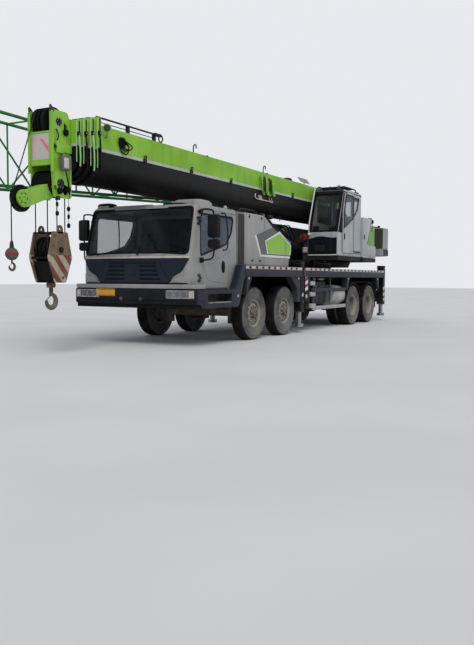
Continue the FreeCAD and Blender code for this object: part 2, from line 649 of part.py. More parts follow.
def hinge_knuckle(side, low, high, front_aft, rear_aft):
    """A stretch of hinge tube with the plate that ties it to the panel beside it."""
    y = d.cab_half_width + d.hinge_radius
    tube = cylinder("z", (aft(d.door_front_aft), y * side), (low, high), d.hinge_radius)
    plate = box((aft(rear_aft), aft(front_aft)),
                span(side, d.cab_half_width - d.hinge_plate, y), (low, high))
    return fuse(tube, plate)


def door_hinges(side):
    """The door's and the cab's share of the two hinges."""
    on_door, on_cab = [], []
    y = (d.cab_half_width + d.hinge_radius) * side
    x = aft(d.door_front_aft)
    front, rear = d.door_front_aft - d.hinge_reach, d.door_front_aft + d.hinge_reach
    for height in (d.hinge_low, d.hinge_high):
        third = d.hinge_height / 3
        knuckle = hinge_knuckle(side, height + third + d.seat_gap,
                                height + third * 2 - d.seat_gap, d.door_front_aft, rear)
        hole = cylinder("z", (x, y), (height, height + d.hinge_height),
                        d.hinge_pin + d.seat_gap)
        on_door.append(cut(knuckle, hole))
        for low in (height, height + third * 2):
            on_cab.append(hinge_knuckle(side, low, low + third, front, d.door_front_aft))
        on_cab.append(cylinder("z", (x, y), (height, height + d.hinge_height), d.hinge_pin))
    return on_door, on_cab


def doors():
    for name, side in (("left", 1), ("right", -1)):
        y = span(side, d.cab_half_width - d.cab_wall, d.cab_half_width)
        leaf = prism("XZ", door_outline(d.door_gap), *y)
        opening = prism("XZ", window_outline(CENTRE), *y)
        middle = (d.cab_half_width - d.cab_wall / 2)
        pane = prism("XZ", window_outline(-d.glass),
                     *span(side, middle - d.glass / 2, middle + d.glass / 2))
        on_door, on_cab = door_hinges(side)
        keep(f"door_{name}", fuse(cut(leaf, opening), pane, mirror_arm(side), *on_door))


def mirror_arm(side):
    """Two mirror heads on a tube frame that is bolted to the door."""
    mast_y = (d.mirror_inner + d.mirror_outer) / 2 * side
    mast_x = aft(d.mirror_rear_aft)
    foot_y = (d.cab_half_width - d.cab_wall / 2) * side
    over = d.mirror_tube * 4
    solids = [cylinder("z", (mast_x, mast_y), (d.screen_bottom, d.mirror_top + over),
                       d.mirror_tube)]
    for height in (d.screen_bottom + over / 2, d.mirror_top + over / 2):
        solids.append(bar_between((mast_x, foot_y, height), (mast_x, mast_y, height),
                                  d.mirror_arm))
    split = d.mirror_bottom + (d.mirror_top - d.mirror_bottom) / 3
    for low, high in ((d.mirror_bottom, split - d.door_gap), (split, d.mirror_top)):
        solids.append(box((mast_x - d.mirror_tube, aft(d.mirror_front_aft)),
                          span(side, d.mirror_inner, d.mirror_outer), (low, high)))
    return fuse(*solids)


def front_bumper():
    outer = [
        (aft(0), -d.bumper_flat_half), (aft(0), d.bumper_flat_half),
        (aft(d.bumper_corner_aft), d.half_width), (aft(d.step_front_aft), d.half_width),
        (aft(d.step_front_aft), -d.half_width), (aft(d.bumper_corner_aft), -d.half_width),
    ]
    inside = box((aft(d.step_rear_aft), aft(d.bumper_wall)),
                 (-d.bumper_side_inner, d.bumper_side_inner), (d.bumper_bottom, d.bumper_top))
    shell = cut(prism("XY", outer, d.bumper_bottom, d.bumper_top), inside)
    door_room = box((aft(d.step_front_aft), aft(d.step_front_aft - d.door_room)),
                    (-d.half_width, d.half_width), (d.step_top, d.bumper_top))
    shell = cut(shell, door_room)
    beam = box((aft(d.nose_rail_aft - d.seat_gap), aft(d.bumper_wall)),
               (-d.rail_outer, d.rail_outer), (d.nose_rail_bottom, d.nose_rail_top))
    solids = [shell, beam]
    for side in (1, -1):
        block = box((aft(d.step_rear_aft), aft(d.step_front_aft)),
                    span(side, d.step_inner, d.half_width), (d.step_bottom, d.step_top))
        recess = box((aft(d.step_rear_aft - d.step_side_gap),
                      aft(d.step_front_aft + d.step_side_gap)),
                     span(side, d.half_width - d.step_recess, d.half_width),
                     (d.step_low, d.step_high))
        solids.append(cut(block, recess))
        lamp = box((aft(d.lamp_depth), aft(0)), span(side, d.lamp_inner, d.lamp_outer),
                   (d.lamp_bottom, d.lamp_top))
        solids[0] = cut(solids[0], lamp)
        solids.append(box((aft(d.cab_rear_aft - d.step_side_gap), aft(d.nose_rail_aft * 2)),
                          span(side, d.rail_outer + d.seat_gap, d.step_inner),
                          (d.nose_rail_bottom, d.nose_rail_bottom + d.bumper_wall)))
    return keep("front_bumper", fuse(*solids))


def engine_hood():
    def outline(inset):
        return [
            (aft(d.hood_front_aft + inset), d.deck_top + d.seat_gap),
            (aft(d.hood_front_aft + inset), d.hood_top - inset),
            (aft(d.hood_brow_aft), d.hood_top - inset),
            (aft(d.hood_knee_aft), d.hood_knee - inset),
            (aft(d.hood_end_aft - inset), d.hood_end - inset),
            (aft(d.hood_foot_aft - inset), d.deck_top + d.seat_gap),
        ]
    skin = prism("XZ", outline(CENTRE), -d.hood_half_width, d.hood_half_width)
    room = prism("XZ", outline(d.hood_wall), -d.hood_half_width + d.hood_wall,
                 d.hood_half_width - d.hood_wall)
    intake = box((aft(d.hood_front_aft), aft(d.intake_front_aft)),
                 (d.intake_inner, d.intake_outer), (d.deck_top + d.seat_gap, d.hood_top))
    return keep("engine_hood", fuse(cut(skin, room), intake))


def engine():
    half = d.engine_half_width
    block = box((aft(d.engine_rear_aft), aft(d.engine_front_aft)), (-half, half),
                (d.engine_bottom, d.engine_top))
    ledge = d.rail_inner - d.seat_gap
    mounts = box((aft(d.engine_rear_aft - d.bearer_depth),
                  aft(d.engine_rear_aft - d.bearer_depth * 2)), (-ledge, ledge),
                 (d.rail_bottom, d.rail_bottom + d.bearer_depth))
    return keep("engine", fuse(block, mounts))


def axles():
    solids = []
    height = d.tyre_radius
    beam_half = d.axle_beam_height / 2
    for axle_aft in (d.axle_one_aft, d.axle_two_aft):
        reach = d.king_pin_offset - d.knuckle_width / 2 - d.axle_end_gap
        x = (aft(axle_aft) - d.axle_beam_depth / 2, aft(axle_aft) + d.axle_beam_depth / 2)
        solids.append(box(x, (-reach, reach), (height - beam_half, height + beam_half)))
        for side in (1, -1):
            pin = (aft(axle_aft), d.king_pin_offset * side)
            arm = d.knuckle_height / 2
            for sign in (1, -1):
                centre = height + (arm + d.seat_gap + beam_half / 2) * sign
                z = (centre - beam_half / 2, centre + beam_half / 2)
                lug = box((aft(axle_aft) - d.knuckle_depth / 2,
                           aft(axle_aft) + d.knuckle_depth / 2),
                          span(side, reach - d.axle_beam_height,
                               d.king_pin_offset + d.king_pin_radius * 2), z)
                solids.append(cut(lug, cylinder("z", pin, z, d.king_pin_radius + d.seat_gap)))
            solids.append(box(x, span(side, reach - d.axle_beam_height, reach),
                              (height - arm - d.seat_gap - beam_half,
                               height + arm + d.seat_gap + beam_half)))
    for axle_aft in (d.axle_three_aft, d.axle_four_aft):
        reach = d.outer_tyre_offset
        solids.append(cylinder("y", (aft(axle_aft), height), (-reach, reach),
                               d.spindle_radius))
        inner = d.outer_tyre_offset - d.twin_spacing - d.tyre_width
        solids.append(cylinder("y", (aft(axle_aft), height), (-inner, inner),
                               d.spindle_radius * 2))
        solids.append(cylinder("x", (0, height), (aft(axle_aft) - d.diff_radius,
                                                  aft(axle_aft) + d.diff_radius),
                               d.diff_radius))
    spring_y = (d.rail_outer + d.rail_inner) / 2
    for axle_aft in (d.axle_one_aft, d.axle_two_aft, d.axle_three_aft, d.axle_four_aft):
        for side in (1, -1):
            y = (spring_y * side - d.spring_width / 2, spring_y * side + d.spring_width / 2)
            low = height + beam_half
            half = d.spring_length / 2
            solids.append(box((aft(axle_aft) - half, aft(axle_aft) + half), y,
                              (d.rail_bottom - d.spring_height, d.rail_bottom - d.seat_gap)))
            solids.append(box((aft(axle_aft) - d.spring_seat, aft(axle_aft) + d.spring_seat), y,
                              (low, d.rail_bottom - d.spring_height)))
    joint_x = aft(d.guard_front_aft)
    solids.append(cylinder("x", (0, d.shaft_height), (joint_x, aft(d.engine_rear_aft)),
                           d.shaft_radius))
    solids.append(bar_between((joint_x + d.shaft_radius, 0, d.shaft_height),
                              (aft(d.axle_three_aft - d.diff_radius), 0, height),
                              d.slant_shaft_radius))
    solids.append(cylinder("x", (0, height), (aft(d.axle_four_aft), aft(d.axle_three_aft)),
                           d.shaft_radius))
    return keep("axles", fuse(*solids))


def tyre_points():
    half = d.tyre_width / 2
    return [
        (d.bead_radius + d.seat_gap, -d.bead_width / 2), (d.wall_bulge_radius, -half),
        (d.tyre_radius - d.shoulder_drop, -half + d.shoulder_inset),
        (d.tyre_radius, -half + d.shoulder_inset * 2),
        (d.tyre_radius, half - d.shoulder_inset * 2),
        (d.tyre_radius - d.shoulder_drop, half - d.shoulder_inset),
        (d.wall_bulge_radius, half), (d.bead_radius + d.seat_gap, d.bead_width / 2),
    ]


def barrel_points():
    """The rim's bed under one tyre."""
    half = d.bead_width / 2
    return [
        (d.bead_radius - d.rim_wall, -half), (d.bead_radius, -half),
        (d.bead_radius, half), (d.bead_radius - d.rim_wall, half),
    ]


def disc_points(outer, middle, hub_inner, hub_outer):
    """A wheel disc with its hub, from the hub bore out to the rim's bed."""
    bore = d.spindle_radius + d.seat_gap
    return [
        (bore, hub_inner), (d.hub_radius, hub_inner), (d.hub_radius, middle),
        (outer, middle), (outer, middle + d.disc_wall), (d.hub_radius, middle + d.disc_wall),
        (d.hub_radius, hub_outer), (bore, hub_outer),
    ]


# axle position, node number and whether the axle steers
AXLES = [("axle_one_aft", 1, True), ("axle_two_aft", 2, True),
         ("axle_three_aft", 3, False), ("axle_four_aft", 4, False)]


def wheels():
    inner_radius = d.bead_radius - d.rim_wall / 2
    for axle_name, number, steers in AXLES:
        x = aft(getattr(d, axle_name))
        for letter, side in (("l", 1), ("r", -1)):
            name = f"{number}{letter}"
            if steers:
                middle = d.front_tyre_offset * side
                keep(f"tyre_{name}", turned(tyre_points(), x, middle, d.tyre_radius))
                bed = turned(barrel_points(), x, middle, d.tyre_radius)
                face = d.dish_depth * side if side > 0 else d.dish_depth * side - d.disc_wall
                hub = (-d.bead_width / 2, d.dish_depth + d.hub_nose)
                hub = hub if side > 0 else (-hub[1], -hub[0])
                disc = turned(disc_points(inner_radius, face, *hub), x, middle, d.tyre_radius)
                keep(f"rim_{name}", fuse(bed, disc))
                continue
            centres = [d.outer_tyre_offset * side, (d.outer_tyre_offset - d.twin_spacing) * side]
            tyres = [turned(tyre_points(), x, y, d.tyre_radius) for y in centres]
            keep(f"tyre_{name}", fuse(*tyres))
            beds = [turned(barrel_points(), x, y, d.tyre_radius) for y in centres]
            inside = -d.bead_width / 2
            hub = (inside - d.twin_spacing, -inside)
            hub = hub if side > 0 else (-hub[1], -hub[0])
            faces = [inside, inside - d.twin_spacing + d.bead_width - d.disc_wall]
            faces = faces if side > 0 else [-face - d.disc_wall for face in faces]
            discs = [turned(disc_points(inner_radius, face, *hub), x, centres[0], d.tyre_radius)
                     for face in faces]
            keep(f"rim_{name}", fuse(*beds, *discs))


def knuckles():
    for axle_name, number, steers in AXLES:
        if not steers:
            continue
        x = aft(getattr(d, axle_name))
        for letter, side in (("l", 1), ("r", -1)):
            pin_y = d.king_pin_offset * side
            half = d.knuckle_height / 2
            upright = box((x - d.knuckle_depth / 2, x + d.knuckle_depth / 2),
                          (pin_y - d.knuckle_width / 2, pin_y + d.knuckle_width / 2),
                          (d.tyre_radius - half, d.tyre_radius + half))
            pin_half = half + d.seat_gap + d.axle_beam_height / 2
            king_pin = cylinder("z", (x, pin_y), (d.tyre_radius - pin_half,
                                                  d.tyre_radius + pin_half),
                                d.king_pin_radius)
            spindle = cylinder("y", (x, d.tyre_radius),
                               span(side, d.king_pin_offset, d.front_tyre_offset + d.dish_depth),
                               d.spindle_radius)
            keep(f"knuckle_{number}{letter}", fuse(upright, king_pin, spindle))


def side_equipment():
    solids = []
    for side in (1, -1):
        y = (d.guard_offset * side - d.guard_section / 2, d.guard_offset * side + d.guard_section / 2)
        for height in (d.guard_upper, d.guard_lower):
            solids.append(box((aft(d.guard_rear_aft), aft(d.guard_front_aft)), y,
                              (height - d.guard_section / 2, height + d.guard_section / 2)))
        for post_aft in (d.guard_front_aft + d.bracket * 2, d.guard_rear_aft - d.bracket):
            x = (aft(post_aft), aft(post_aft) + d.bracket)
            solids.append(box(x, y, (d.guard_lower, d.guard_upper)))
            solids.append(box(x, span(side, d.rail_outer + d.seat_gap, d.guard_offset),
                              (d.rail_bottom + d.bracket, d.rail_bottom + d.bracket * 2)))
        solids.append(box((aft(d.locker_rear_aft), aft(d.locker_front_aft)),
                          span(side, d.locker_inner, d.locker_outer),
                          (d.locker_bottom, d.locker_top)))
    solids.append(cylinder("x", (d.tank_offset, d.tank_centre),
                           (aft(d.tank_rear_aft), aft(d.tank_front_aft)), d.tank_radius))
    for strap_aft in (d.tank_front_aft + d.bracket * 2, d.tank_rear_aft - d.bracket * 2):
        solids.append(box((aft(strap_aft), aft(strap_aft) + d.bracket),
                          (d.rail_outer + d.seat_gap, d.tank_offset),
                          (d.rail_bottom + d.bracket, d.rail_bottom + d.bracket * 2)))
    return keep("side_equipment", fuse(*solids))


# Turntable
def turntable_frame():
    slew_x = aft(d.slew_aft)
    floor = cylinder("z", (slew_x, 0), (d.ring_top + d.seat_gap, d.table_floor), d.ring_radius)
    sole = box((aft(d.table_rear_aft - d.table_head_half * 2), slew_x + d.ring_radius),
               (-d.table_plate_outer, d.table_plate_outer),
               (d.ring_top + d.seat_gap, d.table_floor))
    outline = [
        (aft(d.table_front_aft), d.ring_top + d.seat_gap), (aft(d.table_front_aft), d.table_front_top),
        (aft(d.table_shoulder_aft), d.table_shoulder),
        (aft(d.pivot_aft - d.table_head_half), d.table_head),
        (aft(d.pivot_aft + d.table_head_half), d.table_head),
        (aft(d.table_rear_aft), d.table_rear_top), (aft(d.table_rear_aft), d.ballast_bottom),
        (aft(d.table_rear_aft - d.table_head_half * 2), d.ring_top + d.seat_gap),
    ]
    solids = [floor, sole]
    for side in (1, -1):
        solids.append(prism("XZ", outline, *span(side, d.table_plate_inner, d.table_plate_outer)))
    across = (-d.table_plate_outer, d.table_plate_outer)
    solids.append(cylinder("y", (aft(d.pivot_aft), d.pivot_height), across, d.pivot_radius))
    solids.append(cylinder("y", (aft(d.cylinder_foot_aft), d.cylinder_foot_height), across,
                           d.cylinder_pin))
    solids.append(box((aft(d.op_rear_aft), aft(d.op_front_aft)),
                      (d.table_plate_outer, d.op_outer), (d.platform_bottom, d.platform_top)))
    solids.append(box((aft(d.cover_rear_aft), aft(d.cover_front_aft)),
                      (d.table_plate_outer, d.cover_outer), (d.platform_bottom, d.platform_top)))
    solids.append(box((aft(d.cover_rear_aft), aft(d.right_cover_front_aft)),
                      (-d.cover_outer, -d.table_plate_outer), (d.platform_bottom, d.platform_top)))
    return keep("turntable_frame", fuse(*solids))


def side_covers():
    low = d.platform_top + d.seat_gap
    crest_aft = d.cover_front_aft + d.cover_crest
    outline = [
        (aft(d.cover_front_aft), low), (aft(d.cover_front_aft), d.cover_top),
        (aft(crest_aft), d.cover_top), (aft(crest_aft - d.cover_slant), d.cover_ledge),
        (aft(d.cover_rear_aft), d.cover_ledge), (aft(d.cover_rear_aft), low),
    ]
    left = prism("XZ", outline, d.cover_inner, d.cover_outer)
    right = box((aft(d.cover_rear_aft), aft(d.right_cover_front_aft)),
                (-d.cover_outer, -d.cover_inner), (low, d.right_cover_top))
    return keep("side_covers", fuse(left, right))


def counterweight():
    outline = [
        (aft(d.ballast_front_aft), -d.ballast_half_width),
        (aft(d.ballast_front_aft), d.ballast_half_width),
        (aft(d.tail_aft - d.ballast_corner), d.ballast_half_width),
        (aft(d.tail_aft), d.ballast_half_width - d.ballast_corner),
        (aft(d.tail_aft), -d.ballast_half_width + d.ballast_corner),
        (aft(d.tail_aft - d.ballast_corner), -d.ballast_half_width),
    ]
    block = prism("XY", outline, d.ballast_bottom, d.ballast_top)
    tongue = box((aft(d.ballast_front_aft), aft(d.table_rear_aft + d.seat_gap)),
                 (-d.table_plate_outer, d.table_plate_outer),
                 (d.ballast_bottom, d.table_rear_top))
    return keep("counterweight", fuse(block, tongue))


def op_outline(inset):
    return [
        (aft(d.op_front_aft + inset), d.platform_top + d.seat_gap + inset),
        (aft(d.op_front_aft + inset), d.op_screen_bottom),
        (aft(d.op_roof_front_aft + inset), d.op_roof - inset),
        (aft(d.op_rear_aft - inset), d.op_roof - inset),
        (aft(d.op_rear_aft - inset), d.platform_top + d.seat_gap + inset),
    ]


def op_screen_cutter(gap):
    return box((aft(d.op_roof_front_aft + d.op_wall * 2), aft(0)),
               (d.op_inner + d.op_screen_margin + gap, d.op_outer - d.op_screen_margin - gap),
               (d.op_screen_bottom + d.op_screen_margin + gap,
                d.op_roof - d.op_screen_margin * 2 - gap))


def op_rear_window(gap):
    return box((aft(d.op_window_rear_aft - gap), aft(d.op_door_rear_aft + d.op_screen_margin + gap)),
               (d.op_outer - d.op_wall * 2, d.half_width),
               (d.op_window_bottom + gap, d.op_window_top - gap))


def operator_cab_shell():
    skin = prism("XZ", op_outline(CENTRE), d.op_inner, d.op_outer)
    room = prism("XZ", op_outline(d.op_wall), d.op_inner + d.op_wall, d.op_outer - d.op_wall)
    doorway = box((aft(d.op_door_rear_aft), aft(d.op_door_front_aft)),
                  (d.op_outer - d.op_wall * 2, d.half_width), (d.op_door_bottom, d.op_door_top))
    hull = cut(skin, room, doorway, op_screen_cutter(CENTRE), op_rear_window(CENTRE))
    rails = []
    for low in (d.op_door_bottom - d.op_rail, d.op_door_top - d.op_rail / 2):
        rails.append(box((aft(d.op_rear_aft), aft(d.op_door_front_aft)),
                         (d.op_outer - d.op_wall / 2, d.op_outer + d.door_gap - d.seat_gap),
                         (low, low + d.op_rail)))
    return keep("operator_cab_shell", fuse(hull, *rails))


def operator_cab_glass():
    outline = [
        (aft(d.op_front_aft + d.glass), d.op_screen_bottom),
        (aft(d.op_roof_front_aft + d.glass), d.op_roof),
        (aft(d.op_roof_front_aft + d.glass * 3), d.op_roof),
        (aft(d.op_front_aft + d.glass * 3), d.op_screen_bottom),
    ]
    pane = prism("XZ", outline, d.op_inner, d.op_outer)
    front = doc.addObject("Part::Common", "Trimmed")
    front.Base = pane
    front.Tool = op_screen_cutter(d.seat_gap)
    sheet_y = (d.op_outer - d.glass * 3, d.op_outer - d.glass * 2)
    side = box((aft(d.op_window_rear_aft - d.seat_gap),
                aft(d.op_door_rear_aft + d.op_screen_margin + d.seat_gap)), sheet_y,
               (d.op_window_bottom + d.seat_gap, d.op_window_top - d.seat_gap))
    return keep("operator_cab_glass", fuse(front, side))


def operator_cab_interior():
    floor = d.platform_top + d.seat_gap * 2 + d.op_wall
    x = aft(d.op_seat_aft)
    y = (d.op_seat_offset - d.seat_width / 2, d.op_seat_offset + d.seat_width / 2)
    rise = d.seat_base_top - d.cab_floor
    seat = box((x - d.seat_depth / 2, x + d.seat_depth / 2), y, (floor, floor + rise))
    back_x = x - d.seat_depth / 2
    back = box((back_x - d.seat_back_depth, back_x), y,
               (floor, floor + (d.seat_back_top - d.cab_floor)))
    return keep("operator_cab_interior", fuse(seat, back))


def operator_door():
    gap = d.door_gap
    y = (d.op_outer + gap, d.op_outer + gap + d.op_door_wall)
    x = (aft(d.op_door_rear_aft + d.op_screen_margin / 2), aft(d.op_door_front_aft))
    leaf = box(x, y, (d.op_door_bottom - d.op_screen_margin / 2, d.op_door_top))
    hole = box((x[0] + d.op_screen_margin, x[1] - d.op_screen_margin), y,
               (d.op_window_bottom, d.op_window_top))
    middle = d.op_outer + gap + d.op_door_wall / 2
    pane = box((x[0] + d.op_screen_margin / 2, x[1] - d.op_screen_margin / 2),
               (middle - d.glass / 2, middle + d.glass / 2),
               (d.op_window_bottom - d.op_screen_margin / 2,
                d.op_window_top + d.op_screen_margin / 2))
    return keep("operator_door", fuse(cut(leaf, hole), pane))


def winches():
    for name, winch_aft in (("main", d.main_winch_aft), ("aux", d.aux_winch_aft)):
        centre = (aft(winch_aft), d.winch_height)
        half = d.drum_half_width
        solids = [cylinder("y", centre, (-half, half), d.drum_radius)]
        for side in (1, -1):
            solids.append(cylinder("y", centre, span(side, half - d.flange_wall, half),
                                   d.drum_flange))
        reach = d.table_plate_inner - d.seat_gap
        solids.append(cylinder("y", centre, (-reach, reach), d.winch_shaft))
        keep(f"{name}_winch_drum", fuse(*solids))


def cylinder_line():
    """Foot, head and direction of the luffing cylinder."""
    foot = FreeCAD.Vector(aft(d.cylinder_foot_aft).value, 0, d.cylinder_foot_height.value)
    head = FreeCAD.Vector(aft(d.cylinder_head_aft).value, 0, d.cylinder_head_height.value)
    direction = head - foot
    length = direction.Length
    direction.normalize()
    return foot, head, direction, length


def luff_cylinder():
    foot, head, way, length = cylinder_line()
    across = FreeCAD.Vector(0, 1, 0)
    half = d.eye_width.value / 2
    start = foot + way * d.barrel_start.value
    tube = Part.makeCylinder(d.barrel_radius.value, d.barrel_length.value, start, way)
    gland_start = start + way * (d.barrel_length.value - d.gland_length.value)
    gland = Part.makeCylinder(d.gland_radius.value, d.gland_length.value, gland_start, way)
    eye = Part.makeCylinder(d.eye_radius.value, half * 2, foot - across * half, across)
    neck = Part.makeCylinder(half, d.barrel_start.value, foot, way)
    bore = Part.makeCylinder(d.barrel_bore.value, d.barrel_length.value,
                             start + way * d.barrel_base.value, way)
    pin_hole = Part.makeCylinder((d.cylinder_pin + d.seat_gap).value, half * 2,
                                 foot - across * half, across)
    barrel = doc.addObject("Part::Feature", "Barrel")
    barrel.Shape = tube.fuse([gland, eye, neck]).cut(bore.fuse(pin_hole))
    keep("luff_barrel", barrel)
    rod_bottom = start + way * (d.barrel_length.value - d.rod_buried.value)
    rod_length = (head - rod_bottom).Length - half
    shank = Part.makeCylinder(d.rod_radius.value, rod_length, rod_bottom, way)
    piston = Part.makeCylinder(d.barrel_bore.value - d.seat_gap.value, d.piston_length.value,
                               rod_bottom, way)
    rod_eye = Part.makeCylinder(d.eye_radius.value, half * 2, head - across * half, across)
    eye_hole = Part.makeCylinder(d.rod_eye_bore.value, half * 2, head - across * half, across)
    rod = doc.addObject("Part::Feature", "Rod")
    rod.Shape = shank.fuse([piston, rod_eye]).cut(eye_hole)
    keep("luff_rod", rod)


# Boom
def u_block(half_width, height, x):
    """A block with flat top and sides and a half-round keel, centred on the boom's line."""
    top = d.boom_centre + height / 2
    round_centre = d.boom_centre - height / 2 + half_width
    upper = box(x, (-half_width, half_width), (round_centre, top))
    keel = cylinder("x", (CENTRE, round_centre), x, half_width)
    return fuse(upper, keel)


def section_size(number):
    """Half width and height of one boom section, 1 being the base."""
    steps = number - 1
    return (d.boom_half_width - d.section_step * steps,
            d.boom_height - d.section_step * (2 * steps))


def collar(number):
    """The thick frame at a section's mouth that guides the next section."""
    front = d.collar_front_ahead + d.collar_pitch * (number - 1)
    half, height = section_size(number)
    x = (ahead(front - d.collar_length), ahead(front))
    top = d.boom_centre + height / 2 + d.collar_proud
    bottom = d.boom_centre - height / 2 - d.collar_keel
    return box(x, (-half - d.collar_proud, half + d.collar_proud),
               (d.boom_centre - height / 4, top)), u_block(
                   half + d.collar_keel, (top - bottom) - d.collar_proud, x)


def hollow_section(number, x, mouth_x):
    """One tube of the boom, with its mouth narrowed to guide the next tube."""
    half, height = section_size(number)
    tube = u_block(half, height, x)
    room = u_block(half - d.boom_wall, height - d.boom_wall * 2, x)
    next_half, next_height = section_size(number + 1)
    passage = u_block(next_half + d.seat_gap, next_height + d.seat_gap * 2, mouth_x)
    frame, keel_ring = collar(number)
    return cut(fuse(cut(tube, room), frame, keel_ring), passage)


def heel(number):
    """Wear pads around a section's rear end that fill the tube outside it."""
    half, height = section_size(number)
    outer_half, outer_height = section_size(number - 1)
    tail = aft(d.section_tail_aft - d.tail_pitch * (number - 2))
    x = (tail, tail + d.wear_pad)
    pad = u_block(outer_half - d.boom_wall - d.seat_gap,
                  outer_height - (d.boom_wall + d.seat_gap) * 2, x)
    return cut(pad, u_block(half - d.boom_wall, height - d.boom_wall * 2, x))


def mouth(number):
    front = d.collar_front_ahead + d.collar_pitch * (number - 1)
    return (ahead(front - d.collar_length), ahead(front))


def boom_base():
    x = (aft(d.boom_tail_aft), mouth(1)[1])
    hull = hollow_section(1, x, mouth(1))
    keel = d.boom_centre - d.boom_height / 2
    boss_half = d.boom_half_width + d.boss_proud
    pivot_hole = cylinder("y", (aft(d.pivot_aft), d.pivot_height), (-boss_half, boss_half),
                          d.pivot_radius + d.seat_gap)
    boss = cylinder("y", (aft(d.pivot_aft), d.pivot_height), (-boss_half, boss_half),
                    d.boss_radius)
    ears = []
    head_x = aft(d.cylinder_head_aft)
    for side in (1, -1):
        inner = d.eye_width / 2 + d.ear_gap
        ears.append(box((head_x - d.ear_half_length, head_x + d.ear_half_length),
                        span(side, inner, inner + d.ear_wall),
                        (d.cylinder_head_height - d.ear_drop, keel + d.ear_wall * 2)))
    room = u_block(d.boom_half_width - d.boom_wall / 2, d.boom_height - d.boom_wall,
                   (head_x - d.ear_half_length * 2, head_x + d.ear_half_length * 2))
    ears = cut(fuse(*ears), room)
    return keep("boom_base", cut(fuse(hull, boss, ears), pivot_hole))


def boom_sections():
    for number in (2, 3, 4):
        tail = aft(d.section_tail_aft - d.tail_pitch * (number - 2))
        hull = hollow_section(number, (tail, mouth(number)[1]), mouth(number))
        keep(f"boom_section_{number}", fuse(hull, heel(number)))


def boom_head():
    number = 5
    half, height = section_size(number)
    tail = aft(d.section_tail_aft - d.tail_pitch * (number - 2))
    x = (tail, ahead(d.guide_ahead - d.guide_radius - d.slide_gap))
    tube = cut(u_block(half, height, x),
               u_block(half - d.boom_wall, height - d.boom_wall * 2, x))
    plates = []
    rear = mouth(4)[1] + d.slide_gap
    outline = [
        (rear, d.head_bottom), (rear, d.head_top), (ahead(d.head_front_ahead), d.head_top),
        (ahead(d.head_front_ahead), d.boom_centre),
        (ahead(d.head_low_front_ahead + d.cross_bar), d.head_bottom),
    ]
    for side in (1, -1):
        plates.append(prism("XZ", outline, *span(side, d.head_plate_inner, d.head_plate_outer)))
    across = (-d.head_plate_outer, d.head_plate_outer)
    bars = []
    for x_ahead, z in ((d.sheave_ahead, d.sheave_height), (d.guide_ahead, d.guide_height)):
        bars.append(cylinder("y", (ahead(x_ahead), z), across, d.sheave_shaft))
    bars.append(cylinder("y", (ahead(d.head_front_ahead - d.cross_bar * 2), d.boom_centre),
                         across, d.cross_bar))
    sheaves = [sheave(d.guide_ahead, d.guide_height, d.guide_radius, CENTRE)]
    for place_number in (-1.5, -0.5, 0.5, 1.5):
        sheaves.append(sheave(d.sheave_ahead, d.sheave_height, d.sheave_radius,
                              d.sheave_pitch * place_number))
    return keep("boom_section_5", fuse(tube, heel(number), *plates, *bars, *sheaves,
                                       *rooster()))


def sheave(x_ahead, height, radius, offset):
    half = d.sheave_wall / 2
    lip = half - d.sheave_lip
    groove = radius - d.groove_depth
    points = [
        (d.sheave_shaft - d.seat_gap, -half), (radius, -half), (radius, -lip),
        (groove, -lip), (groove, lip), (radius, lip), (radius, half),
        (d.sheave_shaft - d.seat_gap, half),
    ]
    return turned(points, ahead(x_ahead), offset, height)


def rooster():
    """The small sheave that leads the second rope ahead of the boom's head."""
    offset = d.rooster_offset
    centre = (ahead(d.rooster_ahead), d.rooster_height)
    root = ahead(d.head_low_front_ahead - d.cross_bar)
    half = d.rooster_arm_height / 2
    outline = [
        (root, d.head_bottom + half), (root, d.head_bottom + half * 3),
        (ahead(d.rooster_ahead), d.rooster_height + half),
        (ahead(d.rooster_ahead), d.rooster_height - half),
    ]
    solids = []
    for side in (1, -1):
        middle = offset + d.rooster_gap * side
        solids.append(prism("XZ", outline, middle - d.rooster_plate / 2,
                            middle + d.rooster_plate / 2))
    solids.append(cylinder("y", centre, (offset - d.rooster_gap, offset + d.rooster_gap),
                           d.sheave_shaft))
    solids.append(sheave(d.rooster_ahead, d.rooster_height, d.rooster_radius, offset))
    solids.append(cylinder("y", (root + d.cross_bar, d.head_bottom + half * 2),
                           (-d.head_plate_outer, d.head_plate_outer), d.cross_bar))
    return solids


